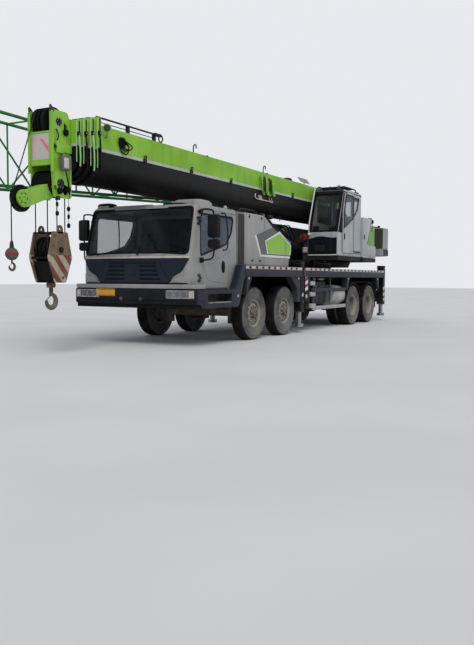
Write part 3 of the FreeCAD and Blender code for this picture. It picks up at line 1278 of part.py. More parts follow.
def jib():
    """The lattice extension stowed along the boom's right side."""
    tube = d.jib_tube.value / 2
    lace = d.jib_lace.value / 2
    front = ahead(d.jib_front_ahead).value
    rear = aft(d.jib_rear_aft).value
    inner = -d.jib_inner.value
    outer = -d.jib_outer.value
    low_front, top_front = d.jib_low_front.value, d.jib_top_front.value
    low_rear, top_rear = d.jib_low_rear.value, d.jib_top_rear.value
    bars = []

    def height(x, first, last):
        share = (front - x) / (front - rear)
        return first + (last - first) * share

    def bar(start, end, radius):
        first, last = FreeCAD.Vector(*start), FreeCAD.Vector(*end)
        bars.append(Part.makeCylinder(radius, (last - first).Length, first, last - first))

    stations = [front + (rear - front) * number / JIB_BAYS for number in range(JIB_BAYS + 1)]
    for y in (inner, outer):
        bar((front, y, low_front), (rear, y, low_rear), tube)
        bar((front, y, top_front), (rear, y, top_rear), tube)
    for number, x in enumerate(stations):
        low, top = height(x, low_front, low_rear), height(x, top_front, top_rear)
        for y in (inner, outer):
            bar((x, y, low), (x, y, top), lace)
        for z in (low, top):
            bar((x, inner, z), (x, outer, z), lace)
        if number == JIB_BAYS:
            break
        following = stations[number + 1]
        next_low = height(following, low_front, low_rear)
        next_top = height(following, top_front, top_rear)
        for y in (inner, outer):
            if number % 2:
                bar((x, y, low), (following, y, next_top), lace)
            else:
                bar((x, y, top), (following, y, next_low), lace)
    hanger_y = -d.boom_half_width.value
    for x in (stations[2], stations[5]):
        top = height(x, top_front, top_rear)
        bar((x, hanger_y, top - tube * 4), (x, inner, top - tube * 4), tube)
    lattice = doc.addObject("Part::Feature", "Lattice")
    lattice.Shape = bars[0].fuse(bars[1:])
    return keep("jib", lattice)


def hook_block():
    axis_x = ahead(d.sheave_ahead)
    low_half, mid_half, top_half = d.block_bottom_half, d.block_shoulder_half, d.block_top_half
    outline = [
        (axis_x - top_half, d.block_top), (axis_x - mid_half, d.block_shoulder),
        (axis_x - low_half, d.block_bottom), (axis_x + low_half, d.block_bottom),
        (axis_x + mid_half, d.block_shoulder), (axis_x + top_half, d.block_top),
    ]
    solids = [prism("XZ", outline, -d.block_half_width, d.block_half_width)]
    fall_reach = d.sheave_radius - d.groove_depth + d.rope_radius + d.seat_gap * 4
    for way in (1, -1):
        for side in (1, -1):
            fall_y = d.sheave_pitch / 2 * side
            top = (axis_x + fall_reach * way, fall_y, d.sheave_height)
            foot = (axis_x + (d.block_top_half - d.block_plate) * way, fall_y,
                    d.block_top - d.block_plate)
            solids.append(bar_between(top, foot, d.rope_radius))
    solids.append(cylinder("z", (axis_x, CENTRE),
                           (d.hook_centre + d.hook_ring, d.block_bottom + d.block_plate),
                           d.hook_shank))
    solids.append(hook_ring(axis_x, CENTRE, d.hook_centre, d.hook_ring, d.hook_tube))
    return keep("hook_block", fuse(*solids))


def hook_ring(x, y, z, ring, tube):
    """Three quarters of a ring cut from thick plate, open at its front."""
    steps = 9
    angles = [math.radians(90 + 270 * step / steps) for step in range(steps + 1)]
    outline = [(x + (ring + tube) * math.cos(turn), z + (ring + tube) * math.sin(turn))
               for turn in angles]
    outline += [(x + (ring - tube) * math.cos(turn), z + (ring - tube) * math.sin(turn))
                for turn in reversed(angles)]
    return prism("XZ", outline, y - tube, y + tube)


def aux_hook():
    rope_x = ahead(hook_rope_ahead)
    y = d.rooster_offset
    rope = cylinder("z", (rope_x, y), (d.ball_height, d.rooster_height), d.rope_radius)
    steps = 8
    turns = [math.pi * step / steps for step in range(steps + 1)]
    profile = [(d.ball_radius * math.sin(turn), d.ball_radius * -math.cos(turn))
               for turn in turns]
    profile[0] = (CENTRE, -d.ball_radius)
    profile[-1] = (CENTRE, d.ball_radius)
    ball = turned(profile, rope_x, y, d.ball_height)
    ring_z = d.ball_height - d.ball_radius - d.small_hook_ring - d.small_hook_tube * 2
    ring = hook_ring(rope_x, y, ring_z, d.small_hook_ring, d.small_hook_tube)
    shank = cylinder("z", (rope_x, y), (ring_z + d.small_hook_ring, d.ball_height),
                     d.small_hook_shank)
    return keep("aux_hook", fuse(rope, ball, shank, ring))


for make in (chassis_frame, carrier_deck, cab_shell, cab_glass, cab_interior, front_bumper,
             engine_hood, engine, axles, side_equipment, doors, knuckles, wheels, outriggers,
             turntable_frame, side_covers, counterweight, operator_cab_shell,
             operator_cab_glass, operator_cab_interior, operator_door, winches, luff_cylinder,
             boom_base, boom_sections, boom_head, jib, hook_block, aux_hook):
    make()
doc.recompute()

for thing in doc.Objects:
    if "Invalid" in thing.State or "Error" in thing.State:
        raise RuntimeError(f"{thing.Name} did not recompute: {thing.State}")
os.makedirs("parts", exist_ok=True)
for label, thing in nodes.items():
    shape = thing.Shape
    if shape.isNull() or not shape.isValid() or not shape.Solids:
        raise RuntimeError(f"{label} has no valid solid")
    shape.exportStep(f"parts/{label}.step")
print(f"{len(nodes)} parts")
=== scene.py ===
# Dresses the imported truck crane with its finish, its small parts, the light and the camera.
# Metres. X points forward, Y to the left and Z up, from the ground under its middle.
import math

import bmesh
import bpy
from mathutils import Matrix, Vector


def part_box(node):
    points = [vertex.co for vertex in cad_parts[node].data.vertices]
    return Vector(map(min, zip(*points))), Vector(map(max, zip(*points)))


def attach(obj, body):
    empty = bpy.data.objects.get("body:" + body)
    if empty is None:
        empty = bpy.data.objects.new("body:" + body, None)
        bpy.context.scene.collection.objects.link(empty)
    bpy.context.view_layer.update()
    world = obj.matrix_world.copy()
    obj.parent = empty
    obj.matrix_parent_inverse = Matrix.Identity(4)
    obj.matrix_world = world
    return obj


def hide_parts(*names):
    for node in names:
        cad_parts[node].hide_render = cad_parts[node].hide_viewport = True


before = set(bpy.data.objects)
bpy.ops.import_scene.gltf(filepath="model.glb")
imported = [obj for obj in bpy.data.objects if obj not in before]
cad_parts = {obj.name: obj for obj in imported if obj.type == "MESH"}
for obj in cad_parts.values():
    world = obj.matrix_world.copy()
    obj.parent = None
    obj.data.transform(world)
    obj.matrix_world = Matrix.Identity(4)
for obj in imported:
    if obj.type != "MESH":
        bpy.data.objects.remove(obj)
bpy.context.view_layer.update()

# The bumper's face. Places along the crane are distances behind it, as in the CAD model.
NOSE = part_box("front_bumper")[1].x
SEAT = 0.0005


def aft(distance):
    return NOSE - distance


def behind(points):
    """Outline points given as distances behind the bumper, turned into X."""
    return [(NOSE - distance, height) for distance, height in points]


# Shapes
def angles(steps, start=0.0, end=360.0):
    """Angles in radians; a full turn leaves out the last, which is the first again."""
    whole = abs(end - start) >= 360
    last = steps if whole else steps - 1
    return [math.radians(start + (end - start) * index / last) for index in range(steps)]


def arc(centre, radius, start, end, steps=8):
    return [(centre[0] + radius * math.cos(a), centre[1] + radius * math.sin(a))
            for a in angles(steps, start, end)]


def eased(outline, radius, steps=4):
    """An outline with its corners rounded."""
    made = []
    count = len(outline)
    for index in range(count):
        corner = Vector(outline[index])
        before = Vector(outline[index - 1]) - corner
        after = Vector(outline[(index + 1) % count]) - corner
        reach = min(radius, before.length * 0.45, after.length * 0.45)
        first = corner + before.normalized() * reach
        last = corner + after.normalized() * reach
        for step in range(steps + 1):
            t = step / steps
            made.append(tuple(first * (1 - t) ** 2 + corner * (2 * t * (1 - t)) + last * t ** 2))
    return made


def smooth(points, steps=6):
    """A curved path through a few points."""
    points = [Vector(point) for point in points]
    ends = [points[0] * 2 - points[1]] + points + [points[-1] * 2 - points[-2]]
    made = []
    for index in range(len(points) - 1):
        a, b, c, e = ends[index:index + 4]
        for step in range(steps):
            t = step / steps
            made.append(b + (c - a) * (t / 2) + (a * 2 - b * 5 + c * 4 - e) * (t * t / 2)
                        + (b * 3 - a - c * 3 + e) * (t ** 3 / 2))
    return made + [points[-1]]


def softened(shape, bevel, segments=1):
    """Rounds the sharp edges of a shape."""
    if bevel:
        edges = [edge for edge in shape.edges if edge.calc_face_angle(0) > 0.5]
        bmesh.ops.bevel(shape, geom=edges, offset=bevel, segments=segments, affect="EDGES",
                        profile=0.5, clamp_overlap=True)
    return shape


def loft(rings, closed=False):
    """A skin over rings with the same number of points; closed joins the last to the first."""
    shape = bmesh.new()
    rows = [[shape.verts.new(point) for point in ring] for ring in rings]
    count = len(rows[0])
    pairs = list(zip(rows, rows[1:]))
    if closed:
        pairs.append((rows[-1], rows[0]))
    for low, high in pairs:
        for index in range(count):
            after = (index + 1) % count
            shape.faces.new((low[index], low[after], high[after], high[index]))
    if not closed:
        shape.faces.new(rows[0][::-1])
        shape.faces.new(rows[-1])
    bmesh.ops.recalc_face_normals(shape, faces=shape.faces[:])
    return shape


PLANES = {
    "XY": lambda u, v, w: (u, v, w),
    "XZ": lambda u, v, w: (u, w, v),
    "YZ": lambda u, v, w: (w, u, v),
}


def prism(plane, outline, low, high, bevel=0.0, segments=1):
    spot = PLANES[plane]
    return softened(loft([[spot(u, v, w) for u, v in outline] for w in (low, high)]),
                    bevel, segments)


def block(x, y, z, bevel=0.004, segments=1):
    x, y = sorted(x), sorted(y)
    outline = [(x[0], y[0]), (x[1], y[0]), (x[1], y[1]), (x[0], y[1])]
    return prism("XY", outline, min(z), max(z), bevel, segments)


def facing(direction):
    return Vector(direction).to_track_quat("Z", "Y").to_matrix().to_4x4()


def lathe(profile, centre, direction=(0, 1, 0), steps=40, ring=False):
    """A turned shape; the profile is (radius, offset) and a ring's profile is a closed one."""
    turn = Matrix.Translation(Vector(centre)) @ facing(direction)
    rows = [[turn @ Vector((radius * math.cos(a), radius * math.sin(a), offset))
             for a in angles(steps)] for radius, offset in profile]
    return loft(rows, closed=ring)


def rod(start, end, radius, sides=12, end_radius=None, bevel=0.0):
    way = Vector(end) - Vector(start)
    last = radius if end_radius is None else end_radius
    profile = [(radius, 0), (last, way.length)]
    if bevel:
        profile = [(radius - bevel, 0), (radius, bevel), (last, way.length - bevel),
                   (last - bevel, way.length)]
    return lathe(profile, start, way, sides)


def tube(path, radius, sides=8, closed=False):
    """A round section along a path; radius may be one number or one for each point."""
    path = [Vector(point) for point in path]
    count = len(path)
    radii = radius if isinstance(radius, list) else [radius] * count
    rows = []
    normal = None
    for index, point in enumerate(path):
        before = path[index - 1] if index or closed else point
        after = path[(index + 1) % count] if index < count - 1 or closed else point
        way = (after - before).normalized()
        normal = normal or way.orthogonal().normalized()
        normal = (normal - way * normal.dot(way)).normalized()
        side = way.cross(normal)
        rows.append([point + (normal * math.cos(a) + side * math.sin(a)) * radii[index]
                     for a in angles(sides)])
    return loft(rows, closed=closed)


def mirrored(shape):
    """The same shape on the other side of the crane."""
    twin = shape.copy()
    for corner in twin.verts:
        corner.co.y = -corner.co.y
    bmesh.ops.reverse_faces(twin, faces=twin.faces[:])
    return twin


def sliced(shape, axis, cuts):
    """Cuts a shape into strips so that it can be bent."""
    normal = Vector((0, 0, 0))
    normal["xyz".index(axis)] = 1
    for place in cuts:
        geometry = shape.verts[:] + shape.edges[:] + shape.faces[:]
        bmesh.ops.bisect_plane(shape, geom=geometry, dist=1e-6, plane_co=normal * place,
                               plane_no=normal)
    return shape


def carved(base, tool, operation="DIFFERENCE"):
    """One shape cut by, or kept inside, another; both are used up."""
    things = []
    for shape in (base, tool):
        data = bpy.data.meshes.new("shape")
        shape.to_mesh(data)
        shape.free()
        thing = bpy.data.objects.new("shape", data)
        bpy.context.scene.collection.objects.link(thing)
        things.append(thing)
    modifier = things[0].modifiers.new("carve", "BOOLEAN")
    modifier.solver = "EXACT"
    modifier.operation = operation
    modifier.object = things[1]
    result = bmesh.new()
    result.from_object(things[0], bpy.context.evaluated_depsgraph_get())
    for thing in things:
        data = thing.data
        bpy.data.objects.remove(thing)
        bpy.data.meshes.remove(data)
    return result


class Piece:
    """Gathers shapes of several materials into one object that rides on a body."""

    def __init__(self, name):
        self.name = name
        self.mesh = bmesh.new()
        self.materials = []

    def add(self, shape, material, both=False, second=None):
        """Adds a shape; faces marked 1 take the second material, and both adds its mirror."""
        if both:
            self.add(mirrored(shape), material, second=second)
        places = []
        for finish in (material, second or material):
            if finish not in self.materials:
                self.materials.append(finish)
            places.append(self.materials.index(finish))
        shape.verts.index_update()
        corners = [self.mesh.verts.new(corner.co) for corner in shape.verts]
        for face in shape.faces:
            made = self.mesh.faces.new([corners[corner.index] for corner in face.verts])
            made.material_index = places[min(face.material_index, 1)]
            made.smooth = True
        shape.free()
        return self

    def data(self):
        data = bpy.data.meshes.new(self.name)
        self.mesh.to_mesh(data)
        self.mesh.free()
        for material in self.materials:
            data.materials.append(material)
        data.set_sharp_from_angle(angle=math.radians(34))
        return data

    def finish(self, body, slot, *nodes):
        return stand(self.name, self.data(), body, slot, *nodes)


def stand(name, data, body, slot, *nodes, centre=(0, 0, 0), turned=False):
    """Puts a mesh in the scene, on a body and in place of its CAD nodes."""
    thing = bpy.data.objects.new(name, data)
    bpy.context.scene.collection.objects.link(thing)
    thing.location = centre
    if turned:
        thing.rotation_euler.z = math.pi
    if nodes:
        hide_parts(*nodes)
    if body:
        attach(thing, body)
    return thing


# Materials
def srgb(red, green, blue):
    """A colour as a screen shows it, from 0 to 255, turned into a linear one."""
    def linear(value):
        value /= 255
        return value / 12.92 if value <= 0.04045 else ((value + 0.055) / 1.055) ** 2.4
    return (linear(red), linear(green), linear(blue), 1.0)


DUST = srgb(150, 141, 126)
GRIME = srgb(46, 41, 36)


class Finish:
    """A node material, put together step by step."""

    def __init__(self, name, **sockets):
        self.material = bpy.data.materials.new(name)
        self.material.use_nodes = True
        self.tree = self.material.node_tree
        self.shader = self.tree.nodes["Principled BSDF"]
        for socket, value in sockets.items():
            self.shader.inputs[socket.replace("_", " ")].default_value = value
        place = self.tree.nodes.new("ShaderNodeTexCoord")
        self.place = place.outputs["Object"]
        self.normal = place.outputs["Normal"]

    def node(self, kind, inputs, **settings):
        made = self.tree.nodes.new("ShaderNode" + kind)
        for setting, value in settings.items():
            setattr(made, setting, value)
        for socket, value in inputs.items():
            if isinstance(value, bpy.types.NodeSocket):
                self.tree.links.new(value, made.inputs[socket])
            else:
                made.inputs[socket].default_value = value
        return made

    def maths(self, operation, first, second=0.0, clamp=False):
        made = self.node("Math", {0: first, 1: second}, operation=operation, use_clamp=clamp)
        return made.outputs[0]

    def span(self, value, low, high, first=0.0, last=1.0):
        """Maps a value from one range to another, held at the ends."""
        made = self.node("MapRange", {"Value": value, "From Min": low, "From Max": high,
                                      "To Min": first, "To Max": last})
        return made.outputs["Result"]

    def noise(self, scale, detail=4.0, stretch=(1, 1, 1), low=0.35, high=0.65):
        shifted = self.node("Mapping", {"Vector": self.place, "Scale": stretch})
        made = self.node("TexNoise", {"Vector": shifted.outputs[0], "Scale": scale,
                                      "Detail": detail})
        return self.span(made.outputs[0], low, high)

    def part(self, source, axis):
        return self.node("SeparateXYZ", {0: source}).outputs["XYZ".index(axis)]

    def mix(self, factor, first, second):
        made = self.node("Mix", {0: factor, 6: first, 7: second}, data_type="RGBA")
        return made.outputs[2]

    def bump(self, height, strength, distance=0.002):
        made = self.node("Bump", {"Height": height, "Strength": strength,
                                  "Distance": distance})
        self.tree.links.new(made.outputs[0], self.shader.inputs["Normal"])

    def set(self, socket, value):
        self.tree.links.new(value, self.shader.inputs[socket])


# Dark paint and rubber have lost their gloss
DULL_BELOW = 75


def shade(colour, factor):
    return tuple(min(1.0, value * factor) for value in colour[:3]) + (1.0,)


def painted(name, colour, roughness=0.42, dust=0.35, dust_height=1.7, streaks=0.3,
            wear=0.12, metallic=0.0, pattern=None, grain=240.0, relief=0.08):
    """Paint or metal out of doors: uneven tone, rain streaks, dust low down and on top."""
    finish = Finish(name, Metallic=metallic,
                    Specular_IOR_Level=0.4 if max(colour) > DULL_BELOW else 0.12)
    base = srgb(*colour)
    blotch = finish.noise(1.1, 5.0)
    if pattern:
        tone = pattern(finish)
        tone = finish.mix(finish.maths("MULTIPLY", blotch, 0.18), tone, GRIME)
    else:
        tone = finish.mix(blotch, shade(base, 0.88), shade(base, 1.08))
    streak = finish.noise(7.0, 4.0, (1, 1, 0.10), 0.52, 0.78)
    tone = finish.mix(finish.maths("MULTIPLY", streak, streaks), tone, GRIME)
    speck = finish.noise(38.0, 3.0, (1, 1, 1), 0.66, 0.74)
    tone = finish.mix(finish.maths("MULTIPLY", speck, wear), tone, DUST)
    low = finish.span(finish.part(finish.place, "Z"), dust_height, dust_height - 1.3)
    top = finish.span(finish.part(finish.normal, "Z"), 0.55, 1.0, 0.0, 0.7)
    settled = finish.maths("MULTIPLY", finish.maths("MAXIMUM", low, top),
                           finish.noise(3.3, 6.0, (1, 1, 1), 0.25, 0.7))
    tone = finish.mix(finish.maths("MULTIPLY", settled, dust), tone, DUST)
    finish.set("Base Color", tone)
    rough = finish.maths("ADD", finish.span(blotch, 0, 1, roughness - 0.07, roughness + 0.09),
                         finish.maths("MULTIPLY", settled, 0.35), clamp=True)
    finish.set("Roughness", rough)
    finish.bump(finish.noise(grain, 2.0, (1, 1, 1), 0.0, 1.0), relief, 0.001)
    return finish.material


def flat_dust(name, colour, other, scale, roughness, relief=0.4, metallic=0.0, distance=0.003):
    """Rubber, plastic, cloth and rough steel: two tones mixed by a noise, with a grain."""
    finish = Finish(name, Metallic=metallic, Roughness=roughness,
                    Specular_IOR_Level=0.4 if max(colour) > DULL_BELOW else 0.12)
    blend = finish.noise(scale, 6.0, (1, 1, 1), 0.3, 0.7)
    tone = finish.mix(blend, srgb(*colour), srgb(*other))
    finish.set("Base Color", tone)
    finish.bump(finish.noise(scale * 30, 3.0, (1, 1, 1), 0.0, 1.0), relief, distance)
    return finish.material


def glazed(name, colour, alpha, roughness=0.03):
    finish = Finish(name, Roughness=roughness, Alpha=alpha, IOR=1.5)
    film = finish.noise(2.4, 5.0, (1, 1, 0.4), 0.3, 0.8)
    finish.set("Base Color", finish.mix(film, srgb(*colour), shade(srgb(*colour), 1.7)))
    return finish.material


def lit(name, colour, roughness=0.12, ribs=160.0):
    """A lamp's lens with fine ribs."""
    finish = Finish(name, Roughness=roughness, Coat_Weight=0.6)
    wave = finish.node("TexWave", {"Vector": finish.place, "Scale": ribs}, bands_direction="Z")
    tone = finish.mix(wave.outputs["Fac"], srgb(*colour), shade(srgb(*colour), 1.35))
    finish.set("Base Color", tone)
    finish.bump(wave.outputs["Fac"], 0.4, 0.002)
    return finish.material


def boom_colours(finish):
    """Green above, a pale line, and nearly black below, split by height."""
    height = finish.part(finish.place, "Z")
    green = finish.mix(finish.noise(0.8, 4.0), srgb(122, 174, 46), srgb(144, 196, 64))
    lower = finish.maths("GREATER_THAN", 3.306, height)
    line = finish.maths("GREATER_THAN", 3.356, height)
    return finish.mix(lower, finish.mix(line, green, srgb(186, 190, 182)), srgb(10, 10, 11))


def slanting(first, second, pitch, slope=1.0, bare=None, top=0.0):
    """Stripes at a slant over the side of a piece, up to a height above which it is bare."""
    def pattern(finish):
        height = finish.part(finish.place, "Z")
        across = finish.maths("MULTIPLY", finish.part(finish.place, "X"), slope)
        across = finish.maths("ADD", across, height)
        share = finish.maths("FRACT", finish.maths("DIVIDE", across, pitch))
        tone = finish.mix(finish.maths("GREATER_THAN", share, 0.5), srgb(*first), srgb(*second))
        if bare:
            tone = finish.mix(finish.maths("GREATER_THAN", height, top), tone, srgb(*bare))
        return tone
    return pattern


CAB_GREY = painted("cab_grey", (142, 141, 139), dust=0.30, dust_height=1.5)
HOOD_GREY = painted("hood_grey", (147, 145, 143), dust=0.25, dust_height=1.9)
NAVY = painted("navy", (30, 38, 50), roughness=0.35, dust=0.14, dust_height=1.4)
BLACK = flat_dust("black_plastic", (17, 17, 18), (34, 33, 32), 3.0, 0.5, 0.15)
SEAL = flat_dust("seal", (9, 9, 10), (20, 20, 20), 6.0, 0.65, 0.2)
DARK_STEEL = painted("dark_steel", (44, 44, 47), roughness=0.55, dust=0.4, dust_height=1.9)
SLATE = painted("slate_steel", (42, 46, 56), roughness=0.45, dust=0.14, dust_height=1.9)
FRAME_GREY = painted("frame_grey", (88, 88, 90), roughness=0.5, dust=0.5, dust_height=2.0)
WHITE = painted("white_paint", (214, 212, 204), dust=0.25, streaks=0.2)
RED = painted("red_paint", (130, 26, 30), dust=0.25, streaks=0.2)
MAROON = painted("maroon_square", (58, 18, 26), dust=0.15, streaks=0.1)
STRIP = painted("pale_strip", (190, 178, 172), dust=0.3, streaks=0.35)
CHROME = flat_dust("chrome", (196, 198, 200), (160, 160, 158), 8.0, 0.16, 0.05, 1.0)
BRIGHT_STEEL = flat_dust("bright_steel", (168, 168, 166), (120, 118, 114), 10.0, 0.34, 0.1, 1.0)
ROD_STEEL = flat_dust("rod_steel", (188, 190, 190), (150, 150, 150), 4.0, 0.14, 0.03, 1.0)
GREEN = painted("crane_green", (132, 184, 54), roughness=0.38, dust=0.14, dust_height=1.0)
PINK = painted("faded_red", (206, 120, 128), dust=0.2)
PALE_PINK = painted("faded_pink", (208, 168, 168), dust=0.2)
RUSTED = painted("rusted_bolt", (104, 72, 54), roughness=0.75, dust=0.3, dust_height=2.5)
LIME = painted("pale_green", (150, 190, 128), roughness=0.5, dust=0.2)
JIB_GREEN = painted("jib_green", (44, 118, 58), roughness=0.45, dust=0.15, dust_height=1.0,
                    streaks=0.5)
BOOM = painted("boom_two_tone", (0, 0, 0), roughness=0.40, dust=0.04, dust_height=1.0,
               streaks=0.22, pattern=boom_colours)
OP_GREY = painted("operator_grey", (163, 166, 168), dust=0.2, dust_height=2.2)
COVER_GREY = painted("cover_grey", (143, 143, 143), dust=0.25, dust_height=2.4)
# Olive paint; on the counterweight's front face and behind the boom's hose bundle it also paints shade
OLIVE_AND_SHADE = painted("olive_paint_and_shade", (62, 66, 50), roughness=0.6, dust=0.2)
TABLE = painted("table_dark", (20, 21, 24), roughness=0.5, dust=0.10, dust_height=2.3)
DECK = painted("deck_grey", (98, 98, 98), roughness=0.6, dust=0.6, dust_height=2.0, grain=60,
               relief=0.5)
CHASSIS = painted("chassis_black", (30, 30, 32), roughness=0.6, dust=0.45, dust_height=1.6)
IRON = painted("cast_iron", (58, 54, 50), roughness=0.7, dust=0.6, dust_height=1.8)
GLASS = glazed("dark_glass", (18, 27, 30), 0.24)
SIDE_GLASS = glazed("side_glass", (110, 124, 134), 0.24)
CLEAR = glazed("lamp_glass", (205, 210, 212), 0.10, 0.02)
MIRROR = flat_dust("mirror_glass", (150, 156, 160), (120, 126, 130), 2.0, 0.04, 0.0, 1.0)
RED_LENS = lit("red_lens", (128, 10, 16))
AMBER = lit("amber_lens", (214, 120, 20))
DEEP_RED = painted("deep_red_lens", (112, 16, 20), roughness=0.3, dust=0.1)
PALE_AMBER = painted("pale_lens", (196, 176, 160), roughness=0.2, dust=0.1)
PLATE = painted("plate_yellow", (222, 158, 40), dust=0.15, streaks=0.1)
FABRIC = flat_dust("seat_cloth", (48, 50, 54), (66, 68, 72), 14.0, 0.9, 0.6)
TRIM = flat_dust("cabin_trim", (70, 70, 72), (92, 90, 88), 5.0, 0.75, 0.3)
CURTAIN = flat_dust("curtain", (150, 148, 142), (176, 174, 168), 3.0, 0.9, 0.5)
LEG = painted("leg_navy", (15, 18, 25), roughness=0.45, dust=0.06, dust_height=1.6)
INTAKE = painted("intake_grey", (112, 110, 107), roughness=0.5, dust=0.3, dust_height=2.0)
RUBBER = flat_dust("tyre_rubber", (56, 56, 55), (116, 115, 110), 2.6, 0.86, 0.5)
TREAD = flat_dust("tyre_tread", (18, 18, 18), (44, 41, 38), 4.0, 0.9, 0.6)
RIM = painted("rim_grey", (122, 121, 115), roughness=0.55, dust=0.75, dust_height=9.0)
ROPE = flat_dust("wire_rope", (34, 33, 31), (70, 66, 60), 20.0, 0.6, 0.6, 0.4)
HOSE = flat_dust("hose", (13, 13, 13), (26, 26, 26), 9.0, 0.45, 0.2)
TANK = painted("tank_grey", (164, 165, 167), roughness=0.35, dust=0.45, dust_height=1.6,
               metallic=0.3)
HOOK_TAN = painted("hook_stripes", (0, 0, 0), roughness=0.6, dust=0.5, dust_height=2.5,
                   streaks=0.5, wear=0.4,
                   pattern=slanting((188, 168, 150), (112, 44, 34), 0.30, -1.15,
                                    (118, 98, 80), 1.60))
BALL = painted("ball_paint", (70, 66, 60), roughness=0.6, dust=0.4, dust_height=2.5)


# Driver's cab: height, front, half width and corner radius of its rounded shell
LEVELS = [
    (1.04, 0.095, 1.200, 0.09), (1.12, 0.073, 1.210, 0.11), (1.655, 0.070, 1.210, 0.11),
    (1.70, 0.084, 1.209, 0.11), (2.30, 0.248, 1.196, 0.10), (2.50, 0.304, 1.188, 0.09),
    (2.555, 0.325, 1.176, 0.09), (2.583, 0.360, 1.145, 0.08), (2.592, 0.430, 1.080, 0.07),
]
CAB_REAR = 1.85
BOW = 0.05
CAB_WALL = 0.055


def front_path(front, half, corner, bow, rear):
    """A plan line from the left side round the front to the right side, as (aft, y)."""
    reach = half - corner
    start = front + bow * (reach / half) ** 2
    left = [(rear, half)]
    left += [(start + corner - corner * math.cos(a), reach + corner * math.sin(a))
             for a in angles(7, 90, 0)]
    for step in range(1, 6):
        y = reach * (1 - step / 5)
        left.append((front + bow * (y / half) ** 2, y))
    return left + [(distance, -y) for distance, y in left[-2::-1]]


def cab_ring(level, inset):
    height, front, half, corner = level
    path = front_path(front + inset, half - inset, corner, BOW, CAB_REAR - 0.05 - inset)
    rear = [(CAB_REAR - inset, -half + 0.05 + inset), (CAB_REAR - inset, half - 0.05 - inset)]
    return [(aft(distance), y, height) for distance, y in path + rear]


def cab_solid(inset, floor, roof):
    rings = [(min(max(level[0], floor), roof),) + level[1:] for level in LEVELS]
    kept = []
    for ring in rings:
        if not kept or ring[0] > kept[-1][0]:
            kept.append(ring)
    return loft([cab_ring(level, inset) for level in kept])


def level_at(height):
    """Front, half width and corner radius of the cab at a height."""
    for low, high in zip(LEVELS, LEVELS[1:]):
        if height <= high[0]:
            break
    share = min(1.0, max(0.0, (height - low[0]) / (high[0] - low[0])))
    return [a + (b - a) * share for a, b in zip(low[1:], high[1:])]


def front_at(across, height):
    """How far aft the cab's front lies at a place across it."""
    front, half, corner = level_at(height)
    reach = half - corner
    across = min(abs(across), half - 0.002)
    if across <= reach:
        return front + BOW * (across / half) ** 2
    start = front + BOW * (reach / half) ** 2
    return start + corner - math.sqrt(corner ** 2 - (across - reach) ** 2)


def on_front(shape):
    """Bends a shape over the cab's front; its X is the height above the panel."""
    sliced(shape, "y", [step * 0.1 for step in range(-12, 13)])
    sliced(shape, "z", [level[0] for level in LEVELS])
    for corner in shape.verts:
        corner.co.x += aft(front_at(corner.co.y, corner.co.z))
    return shape


def on_side(shape):
    """Lays a shape on the cab's left side; its Y is the height above the panel."""
    sliced(shape, "z", [level[0] for level in LEVELS])
    for corner in shape.verts:
        corner.co.y += level_at(corner.co.z)[1]
    return shape


SCREEN = eased([(-1.143, 1.69), (1.143, 1.69), (1.118, 2.520), (-1.118, 2.520)], 0.07, 5)
DOOR = [(0.42, 1.07), (0.42, 2.30), (0.47, 2.46), (1.70, 2.46), (1.715, 2.40), (1.715, 1.52),
        (1.47, 1.07)]
WINDOW = [(0.46, 1.655), (1.18, 1.83), (1.40, 1.90), (1.60, 2.12), (1.675, 2.36), (1.65, 2.425),
          (0.53, 2.415), (0.475, 2.33)]


def grown(outline, amount):
    """An outline moved outwards from its middle."""
    middle = sum((Vector(point) for point in outline), Vector((0, 0))) / len(outline)
    return [tuple(Vector(point) + (Vector(point) - middle).normalized() * amount)
            for point in outline]


door_shape = eased(DOOR, 0.04)
window_shape = eased(WINDOW, 0.05)


def side_cutter(outline, inner=0.95):
    return prism("XZ", behind(outline), inner, 1.45)


skin = carved(cab_solid(0, 1.0, 3.0), cab_solid(CAB_WALL, 1.06, 2.535))
leaf = carved(skin.copy(), side_cutter(grown(door_shape, -0.006)), "INTERSECT")
leaf = carved(leaf, side_cutter(window_shape))
pane_shell = carved(cab_solid(0.024, 1.1, 2.56), cab_solid(0.030, 1.1, 2.55))
door_pane = carved(pane_shell.copy(), side_cutter(grown(window_shape, 0.02)), "INTERSECT")
screen_block = prism("YZ", grown(SCREEN, 0.02), aft(0.75), aft(-0.2))
screen_pane = carved(pane_shell, screen_block, "INTERSECT")
skin = carved(skin, prism("YZ", SCREEN, aft(0.75), aft(-0.2)))
for side_shape in (side_cutter(door_shape), mirrored(side_cutter(door_shape))):
    skin = carved(skin, side_shape)


def outlined(points, radius, closed=True, sides=6):
    return tube(points, radius, sides, closed=closed)


cab = Piece("cab_panels")
cab.add(skin, CAB_GREY)
cab.add(outlined([(aft(front_at(y, z)), y, z) for y, z in SCREEN], 0.028), SEAL)
cab.add(on_front(prism("YZ", [(-1.18, 1.606), (1.18, 1.606), (1.18, 1.640), (-1.18, 1.640)],
                       -0.01, 0.012, 0.004)), STRIP)
NAVY_FRONT = [(-0.80, 1.165), (0.80, 1.165), (0.86, 1.275), (1.04, 1.36), (1.13, 1.50),
              (1.19, 1.602), (-1.19, 1.602), (-1.13, 1.50), (-1.04, 1.36), (-0.86, 1.275)]
cab.add(on_front(prism("YZ", eased(NAVY_FRONT, 0.05), -0.01, 0.014, 0.005)), NAVY)
GRILLE = [(-0.80, 1.175), (0.80, 1.175), (0.70, 1.30), (0.58, 1.545), (-0.58, 1.545),
          (-0.70, 1.30)]
grille = prism("YZ", eased(GRILLE, 0.04), -0.01, 0.040, 0.010, 2)
cab.add(on_front(grille), NAVY)
